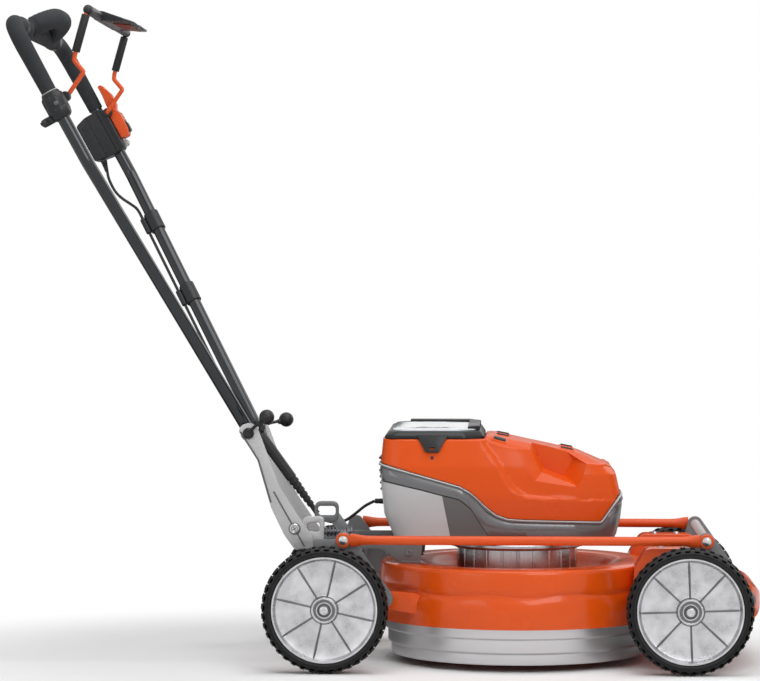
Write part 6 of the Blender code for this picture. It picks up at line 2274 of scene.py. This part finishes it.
@dataclass
class Handle:
    """The two tubes, their foam grips, the crossbar and the bowed centre grip."""

    bend_radius: float = 0.048
    foam_radius: float = 0.015
    foam_start_z: float = 1.0035
    grip_radius: float = 0.019
    grip_half: float = 0.088
    bow: Flat = (0.04, 0.026)

    def route(self) -> list[Vector]:
        """The right-hand tube's centre line, from its foot to the crossbar.

        Returns:
            The line's points.
        """
        spread_end = SPREAD_START_Z + (GRIP_HALF - FOOT_HALF) / SPREAD_SLOPE
        corners = [on_handle(z, sign=-1) for z in (SPREAD_START_Z, spread_end, HANDLE_TOP_Z)]
        end = Vector((corners[-1].x, -(GRIP_HALF - self.bend_radius - 0.002), HANDLE_TOP_Z))
        return bent([on_handle(FOLD_Z - 0.016, sign=-1)] + corners + [end], self.bend_radius, 12)

    def tubes(self) -> None:
        """Sweeps the tube and its grip, turns the eye, and copies them across."""
        route = self.route()
        tube = swept("tube", route, TUBE_RADIUS, 10)
        eye = pin("eye", (FOLD_X, FOLD_Z), -0.068, -BRACKET_Y + 0.0003, 0.0148, 0.0015, 48)
        upper = [on_handle(self.foam_start_z, sign=-1)] + [p for p in route if p.z > self.foam_start_z + 0.02]
        grip = swept("grip", upper, self.foam_radius, 10, lambda t: 1.0 - 0.1 * eased(1 - t / 0.04))
        both(merged("tube", [tube, eye]), "handle_tube_*", "handle", TUBE_COAT, "tube_*", 40)
        both(grip, "foam_grip_*", "handle", GRIP_FOAM, "grip_*", 40)

    def crossbar(self) -> None:
        """Turns the crossbar with its smooth collar and sweeps the ridged centre grip."""
        x, z = on_handle(HANDLE_TOP_Z).x, HANDLE_TOP_Z
        reach = GRIP_HALF - self.bend_radius - 0.0023
        r = self.foam_radius
        bar_piece = turned(
            "cross_foam", [(0, -reach), (r - 0.0008, -reach), (r, -reach + 0.001), (r, reach - 0.001),
                (r - 0.0008, reach), (0, reach)], (x, 0, z), (0, 1, 0), 56)
        finished(bar_piece, "handle", GRIP_FOAM, ["crossbar"])
        collar = turned(
            "smooth_collar", [(r, 0.168), (r + 0.001, 0.1684), (r + 0.0014, 0.17), (r + 0.0014, 0.196),
                (r + 0.001, 0.1976), (r, 0.198)], (x, 0, z), (0, 1, 0), 56)
        collars = [collar, across(collar, "collar_near")]
        finished(merged("smooth_collars", collars), "handle", DARK_MOULDING)
        half = self.grip_half
        forward, up = self.bow
        shape = ((half * 1.22, 0.1), (half * 1.0, 0.55), (half * 0.55, 0.93), (0, 1.0))
        side = [(x + forward * share, -y, z + up * share) for y, share in shape]
        line = flowing(side + [(px, -py, pz) for px, py, pz in side[-2::-1]], 0.004)
        count = len(line) - 1
        grip = swept("bowed_grip", line, self.grip_radius, 10,
                     lambda t: (0.93 if 0.04 < t < 0.96 else 0.84) * (1 + 0.018 * cos(t * count * pi / 1.5)))
        finished(grip, "handle", GRIP_FOAM, ["centre_grip"], 50)

    def build(self) -> None:
        """Models the handle's bars and grips."""
        self.tubes()
        self.crossbar()


@dataclass
class GripClamp:
    """The clamp on the right-hand tube, with the bail's ear, its screw and its wing knob."""

    z: float = 0.98
    radius: float = 0.0205
    length: float = 0.05

    def build(self) -> None:
        """Models the clamp and the knob."""
        centre = on_handle(self.z, sign=-1)
        half, r, bore = self.length / 2, self.radius, TUBE_RADIUS + 0.0002
        profile = [
            (bore, half), (r * 0.74, half), (r * 0.8, half - 0.001), (r * 0.84, half - 0.005),
            (r * 0.93, half - 0.006), (r * 0.99, half - 0.01), (r, half - 0.016), (r, -0.004),
            (r * 0.985, -0.005), (r * 0.985, -0.0062), (r, -0.0072), (r * 0.98, -half + 0.012),
            (r * 0.88, -half + 0.004), (r * 0.72, -half + 0.0008), (r * 0.66, -half), (bore, -half)]
        body = turned("clamp_barrel", profile, centre, ALONG, 64, True)
        ear = pin("ear", (BAIL_X, BAIL_Z), -BAIL_HALF - 0.005, -GRIP_HALF + 0.012, 0.0088, 0.0015, 40)
        seat = on_handle(self.z, -half + 0.008, 0, sign=-1)
        boss = bar("boss", seat - OUTWARD * 0.012, seat - OUTWARD * (r + 0.004), 0.0075, 0.0008)
        clamp = merged("clamp_barrel", [body, ear, boss])
        finished(clamp, "handle", DARK_MOULDING, ["grip_clamp"])
        rim = turned(
            "clamp_ring", [(bore, half + 0.0002), (r * 0.74, half + 0.0002), (r * 0.76, half + 0.0012),
                (r * 0.72, half + 0.002), (bore, half + 0.002)], centre, ALONG, 64, True)
        finished(rim, "handle", PALE_CAP)
        spot = centre + ALONG * 0.004
        screw = bolt("clamp_screw", (spot.x + 0.004, spot.y - r * 0.97, spot.z), (0.1, -1, 0), 0.0042, 0.0014)
        finished(screw, "handle", DARK_STEEL)
        start = seat - OUTWARD * (r + 0.0043)
        hub = turned(
            "hub", [(0, 0.012), (0.0055, 0.012), (0.007, 0.0105), (0.0076, 0.003), (0.0074, 0), (0, 0)],
            start, -OUTWARD, 40)
        wing = boxed("wing", (-0.0028, -0.015, 0.002), (0.0028, 0.015, 0.0135))
        with editing(wing) as mesh:
            bpy.ops.mesh.select_all(action="SELECT")
            bpy.ops.mesh.subdivide(number_cuts=2)
            for vert in mesh.verts:
                if abs(vert.co.y) < 0.008:
                    vert.co.x *= 1.5
                elif vert.co.z < 0.004:
                    vert.co.y *= 0.86
        placed(soften(wing, 0.0014, 3), Matrix.Translation(start) @ aimed(-OUTWARD))
        knob = merged("wing_knob", [hub, wing])
        finished(knob, "clamp_knob", DARK_MOULDING, ["clamp_knob"])


@dataclass
class ControlBox:
    """The control box on the left-hand tube: two halves, panel, keypad, start button and thumb lever."""

    z: float = BOX_Z
    low: float = BOX_LOW
    high: float = 0.05
    rear: float = -0.047
    front: float = 0.0175
    half_width: float = 0.026

    def across_box(self, name: str, outline: Sequence[Flat], low_y: float, high_y: float) -> Piece:
        """Extrudes an outline of (along, outward) across the box.

        Args:
            name: The piece's name.
            outline: The outline from the box's middle.
            low_y: Where it starts.
            high_y: Where it ends.

        Returns:
            The piece.
        """
        spots = [self.spot(s, n) for s, n in outline]
        return extruded(name, [(spot.x, spot.z) for spot in spots], low_y, high_y)

    def slab(self, name: str, low_n: float, high_n: float, low_y: float, high_y: float) -> Piece:
        """A cutter that reaches along the whole box between two outward places."""
        return self.across_box(
            name, [(-0.2, low_n), (0.2, low_n), (0.2, high_n), (-0.2, high_n)], low_y, high_y)

    def spot(self, s: float, n: float, y: float = GRIP_HALF) -> Vector:
        """A point of the box from its middle.

        Args:
            s: How far along the tube.
            n: How far outward.
            y: Its Y.

        Returns:
            The point.
        """
        place = on_handle(self.z) + ALONG * s + OUTWARD * n
        place.y = y
        return place

    def halves(self) -> None:
        """Shapes the two halves, with rounded edges, a seam and screws."""
        y_in, y_out = GRIP_HALF - self.half_width, GRIP_HALF + self.half_width
        low, high, rear_n, front_n = self.low, self.high, self.rear, self.front
        whole = self.across_box(
            "box", rounded([(low + 0.005, rear_n), (high - 0.007, rear_n), (high, rear_n + 0.022),
                    (high, front_n - 0.006), (high - 0.009, front_n), (low + 0.006, front_n),
                    (low, front_n - 0.008), (low, rear_n + 0.03)], 0.005), y_in, y_out)
        soften(whole, 0.0038, 4, 30)
        wide = (y_in - 0.02, y_out + 0.02)
        front, rear = copied(whole, "box_half_front"), copied(whole, "box_half_rear")
        bpy.data.objects.remove(whole, do_unlink=True)
        carved(front, self.slab("cut", -0.2, 0.0005, *wide))
        seams = [self.slab("seam", -0.0226, -0.0214, y_in - 0.02, y_in + 0.0011),
                 self.slab("seam", -0.0226, -0.0214, y_out - 0.0011, y_out + 0.02)]
        carved(rear, self.slab("cut", -0.0005, 0.2, *wide), *seams)
        ear = pin("ear", (BAIL_X, BAIL_Z), BAIL_HALF + 0.005, y_in + 0.008, 0.0088, 0.0015, 40)
        front = merged("box_half_front", [front, ear])
        for thing, node in ((rear, "control_box_rear"), (front, "control_box_front")):
            finished(thing, "handle", DARK_MOULDING, [node])
        screws = [bolt("screw", self.spot(s, n, y_in + 0.0004), (0, -1, 0), 0.0034, 0.001) for s, n in (
            (low + 0.014, rear_n + 0.014), (high - 0.018, rear_n + 0.01), (low + 0.012, -0.02))]
        finished(merged("box_screws", screws), "handle", DARK_MOULDING)
        start = self.spot(low + 0.001, BOX_LEAD, GRIP_HALF - 0.006)
        profile = [(0.0034, 0), (0.0062, 0), (0.006, 0.003)]
        for k in range(5):
            wide, at = 0.0058 - k * 0.0005, k * 0.0034
            profile += [(wide, 0.0035 + at), (wide, 0.0055 + at), (0.0044 - k * 0.0002, 0.0059 + at)]
        profile += [(0.0032, 0.0215), (0.0029, 0.0215)]
        way = on_handle(self.z, 0, 0, 0) - on_handle(self.z, 0.0328, 0.0072, 0)
        finished(turned("lead_relief", profile, start, way, 40), "handle", BOOT_RUBBER)

    def panel(self) -> None:
        """Shapes the orange panel, its keypad, its cap, the start button and the thumb lever."""
        y_in, y_out = GRIP_HALF - self.half_width + 0.0075, GRIP_HALF + self.half_width - 0.002
        mid, base = (y_in + y_out) / 2, self.front + 0.0003
        panel = self.across_box(
            "orange_panel", rounded([(-0.018, base), (0.046, base), (0.046, 0.03), (0.026, 0.039),
                    (-0.008, 0.038), (-0.018, 0.032)], 0.004), y_in, y_out)
        pocket = self.across_box(
            "pocket", [(-0.0126, 0.031), (0.0086, 0.031), (0.0086, 0.06), (-0.0126, 0.06)],
            mid - 0.0126, mid + 0.0126)
        notch = self.across_box(
            "notch", [(0.0335, 0.0203), (0.06, 0.0203), (0.06, 0.06), (0.0335, 0.06)], y_in + 0.006,
            y_out - 0.006)
        soften(panel, 0.002, 3, 40)
        carved(panel, pocket, notch)
        finished(panel, "handle", ROD_PAINT, ["control_panel"], 30)
        dome = [(0, 0.0018), (0.0016, 0.0016), (0.0026, 0.0008), (0.0029, -0.001), (0, -0.001)]
        bumps = [
            turned("bump", dome, self.spot(
                0.0115 + row * 0.0072, 0.0386 - row * 0.0004, mid + (column - 1) * 0.0085), OUTWARD, 20)
            for row in range(3) for column in range(3)]
        finished(merged("keypad_bumps", bumps), "handle", KEYPAD_GREY)
        cap = self.across_box(
            "pale_lamp", rounded([(-0.034, self.front - 0.001), (-0.02, self.front - 0.001), (-0.0205, 0.024),
                    (-0.026, 0.0265), (-0.033, 0.024)], 0.003), mid - 0.01, mid + 0.01)
        finished(soften(cap, 0.0012, 2, 40), "handle", PALE_CAP)
        button = self.across_box(
            "start_key", [(-0.012, 0.0345), (0.008, 0.0345), (0.008, 0.0402), (0.004, 0.0415),
                (-0.008, 0.0415), (-0.012, 0.0402)], mid - 0.012, mid + 0.012)
        finished(soften(button, 0.0012, 3), "start_button", DARK_MOULDING, ["start_button"])
        lever = self.across_box(
            "wing_lever", rounded([(0.0345, 0.0235), (0.05, 0.0215), (0.072, 0.024), (0.092, 0.024),
                    (0.0915, 0.0315), (0.066, 0.0405), (0.046, 0.04), (0.0345, 0.033)], 0.004), y_in + 0.0065,
            y_out - 0.0065)
        soften(lever, 0.002, 3, 40)
        axle = self.spot(0.0385, 0.0272)
        hinge = pin("hinge", (axle.x, axle.z), y_in + 0.0042, y_out - 0.0042, 0.0028, 0.0003)
        finished(merged("wing_lever", [lever, hinge]), "thumb_lever", ROD_PAINT, ["thumb_lever"])

    def build(self) -> None:
        """Models the whole box."""
        self.halves()
        self.panel()


@dataclass
class Bail:
    """The bail: a kneed orange wire and a black sleeve at each side, and the moulded paddle."""

    x: float = BAIL_X
    z: float = BAIL_Z
    half: float = BAIL_HALF
    wire: float = 0.004
    sleeve: float = 0.0072
    paddle_half: float = 0.12
    elbow: float = 0.0078

    def build(self) -> None:
        """Models the bail's five pieces."""
        y = self.half
        knee = [(self.x + dx, self.z + dz) for dx, dz in ((0.0295, 0.043), (0.013, 0.0624), (0.014, 0.072))]
        cx, cz = self.x + 0.036, 1.148
        route = bent([(self.x, -y - 0.0105, self.z), (self.x, -y, self.z)] + [(px, -y, pz) for px, pz in knee]
                     + [(cx, -y, cz), (cx, -self.paddle_half + 0.01, cz)], 0.0045, 6)
        wire = swept("wire", route, self.wire, 8)
        steps = 16
        ball = [(self.elbow * sin(pi * k / steps), -self.elbow * cos(pi * k / steps))
                for k in range(steps + 1)]
        elbows = [
            turned("bail_elbows", ball, (cx + 0.001, s * (y - 0.0015), cz - 0.002), (0, 1, 0), 32)
            for s in (-1, 1)]
        finished(merged("bail_elbows", elbows), "bail", BOOT_RUBBER)
        start, corner = Vector((knee[2][0], -y, knee[2][1])), Vector((cx, -y, cz))
        rise = (corner - start).normalized()
        low, high = start + rise * 0.006, corner - rise * 0.0095
        length = (high - low).length
        r = self.sleeve
        sleeve = turned(
            "sleeve", [(self.wire, 0), (r - 0.0005, 0), (r, 0.0008), (r, length - 0.0008),
                (r - 0.0005, length), (self.wire, length)], low, rise, 40)
        both(wire, "bail_bar_*", "bail", ROD_PAINT, "bail_wire_*", 40)
        both(sleeve, "bail_grip_*", "bail", BOOT_RUBBER, "bail_sleeve_*")
        self.paddle(cx, cz)

    def paddle(self, x: float, z: float) -> None:
        """Lofts the paddle from the bar outwards, thinner and narrower towards its front edge.

        Args:
            x: Where the bail's bar lies.
            z: Its height.
        """
        section = rounded(moved((x, z), (
            (-0.009, -0.007), (-0.0095, 0.005), (-0.003, 0.0095), (0.008, 0.0085), (0.06, -0.0085),
            (0.064, -0.012), (0.06, -0.014), (0.01, -0.0085))), 0.004, 4)
        half = self.paddle_half
        rings = []
        count = 24
        for k in range(count + 1):
            share = -1 + 2 * k / count
            pull = 1 - 0.3 * eased((abs(share) - 0.72) / 0.28) - 0.05 * share * share
            ring = []
            for px, pz in section:
                ahead = max(0.0, px - x - 0.006)
                scallop = 0.0016 * cos(share * pi * 3) * (ahead / 0.058)
                ring.append(
                    (px - ahead * (1 - pull), share * half, pz + ahead * (1 - pull) * 0.32 + scallop * 0.4))
            rings.append(ring)
        paddle = soften(lofted("paddle_form", rings), 0.0012, 2, 50)
        r = 0.0085
        reach = self.half - 0.0048
        ends = turned(
            "ends", [(0.0042, -reach), (r - 0.002, -reach), (r, -reach + 0.002), (r, reach - 0.002),
                (r - 0.002, reach), (0.0042, reach)], (x, 0, z), (0, 1, 0), 48, True)
        piece = merged("bail_paddle_form", [paddle, ends])
        finished(piece, "bail", DARK_MOULDING, ["bail_paddle"], 35)
        under = moved((x, z), ((0.02, -0.0093), (0.052, -0.0128), (0.052, -0.0139), (0.02, -0.0106)))
        strip = soften(extruded("paddle_inlay", under, -half * 0.62, half * 0.62), 0.0004, 2)
        finished(strip, "bail", INLAY_RED)


@dataclass
class ControlCable:
    """The control cable, held along the left-hand tube by two clips and led behind the housing."""

    clips: Flat = (0.790161, 0.6550065)
    clip_length: float = 0.04
    behind: float = -(TUBE_RADIUS + CABLE_RADIUS + 0.004)
    sway: tuple[Point, ...] = (
        (0.14, -0.0365, 0.0), (0.26, -0.041, 0.001), (0.45, -0.0418, 0.004), (0.59, -0.0371, 0.008),
        (0.73, -0.0276, 0.013), (0.84, -0.0205, 0.017))

    def upper_route(self) -> list[Vector]:
        """The cable's way from the box down the tube to the fold.

        Returns:
            The way's points.
        """
        y, z, low = GRIP_HALF - 0.006, BOX_Z, BOX_LOW
        upper, lower = self.clips
        rise, half = HANDLE_TOP_Z - FOLD_Z, self.clip_length / 2
        drop = (z - upper) / sin(HANDLE_ANGLE) + low - half
        free = [on_handle(z, low - 0.0003, BOX_LEAD, y)]
        free += [on_handle(z, low - drop * share, n, y - inward) for share, n, inward in self.sway]
        heights = [upper + half + 0.005, upper + half, upper, upper - half, upper * 0.62 + lower * 0.38,
                   upper * 0.26 + lower * 0.74, lower + half, lower, lower - half]
        heights += [FOLD_Z + rise * share for share in (0.268, 0.184, 0.128)]
        held = [on_handle(h, 0, self.behind) for h in heights]
        foot = [on_handle(0.47, 0, -TUBE_RADIUS - 0.0045, spread(0.47) - 0.01),
                on_handle(0.44, 0, -0.013, BOOT_Y + 0.006), on_handle(0.424, 0, -0.004, BOOT_Y),
                on_handle(FOLD_Z, 0.0045, 0.0, BOOT_Y)]
        return free + held + foot

    def build(self) -> None:
        """Models both stretches of the cable and its clips."""
        upper = swept("cable_on_handle", flowing(self.upper_route(), 0.008), CABLE_RADIUS, 5)
        finished(upper, "handle", BOOT_RUBBER, ["cable_upper"])
        for word, z in zip(("upper", "lower"), self.clips):
            run = (on_handle(z + 0.02) - on_handle(z - 0.02)).normalized()
            lead, half = on_handle(z, 0, self.behind), self.clip_length / 2
            edge = moved((TUBE_RADIUS, half), ((0.003, -0.0015), (0.0018, 0), (0.0002, 0)))
            clip = turned("clip", [(r, -s) for r, s in reversed(edge)] + edge, on_handle(z), run, 48, True)
            hump = bar("hump", lead - run * half * 0.8, lead + run * half * 0.8, CABLE_RADIUS + 0.003, 0.0012)
            finished(merged(f"cable_clip_{word}", [clip, hump]), "handle", DARK_MOULDING, [f"clip_{word}"])
        run = (BOOT_END - BOOT_TOP).normalized()
        rear = [
            BOOT_END + run * 0.0006, BOOT_END + run * 0.008, (-0.12, BOOT_Y, 0.24), (-0.103, BOOT_Y, 0.2382),
            (-0.0869, BOOT_Y, 0.242), (-0.0696, BOOT_Y, 0.254), (-0.052, BOOT_Y, 0.268),
            (-0.0348, BOOT_Y, 0.277)]
        lower = swept("cable_behind_housing", flowing(rear, 0.004), CABLE_RADIUS, 5)
        finished(lower, "chassis", BOOT_RUBBER, ["cable_rear"])
        above = on_handle(FOLD_Z, 0.0045, 0.0, BOOT_Y)
        below = BOOT_TOP + run * 0.013
        bridge = swept(
            "cable_at_fold", flowing([above + (above - below) * 0.1, above, above.lerp(below, 0.5), below,
                    below + run * 0.004], 0.002), CABLE_RADIUS * 0.96, 5)
        finished(bridge, "handle", BOOT_RUBBER)


def main() -> None:
    logging.basicConfig(level=logging.INFO, format="%(message)s")
    Studio().build()
    for part in (Wheels(), HeightLinkage(), Deck(), Motor(), Housing(), Lid(), RearBrackets(), Handle(),
                 GripClamp(), ControlBox(), Bail(), ControlCable()):
        log.info("building %s", type(part).__name__)
        part.build()
    settle()


if __name__ == "__main__":
    main()
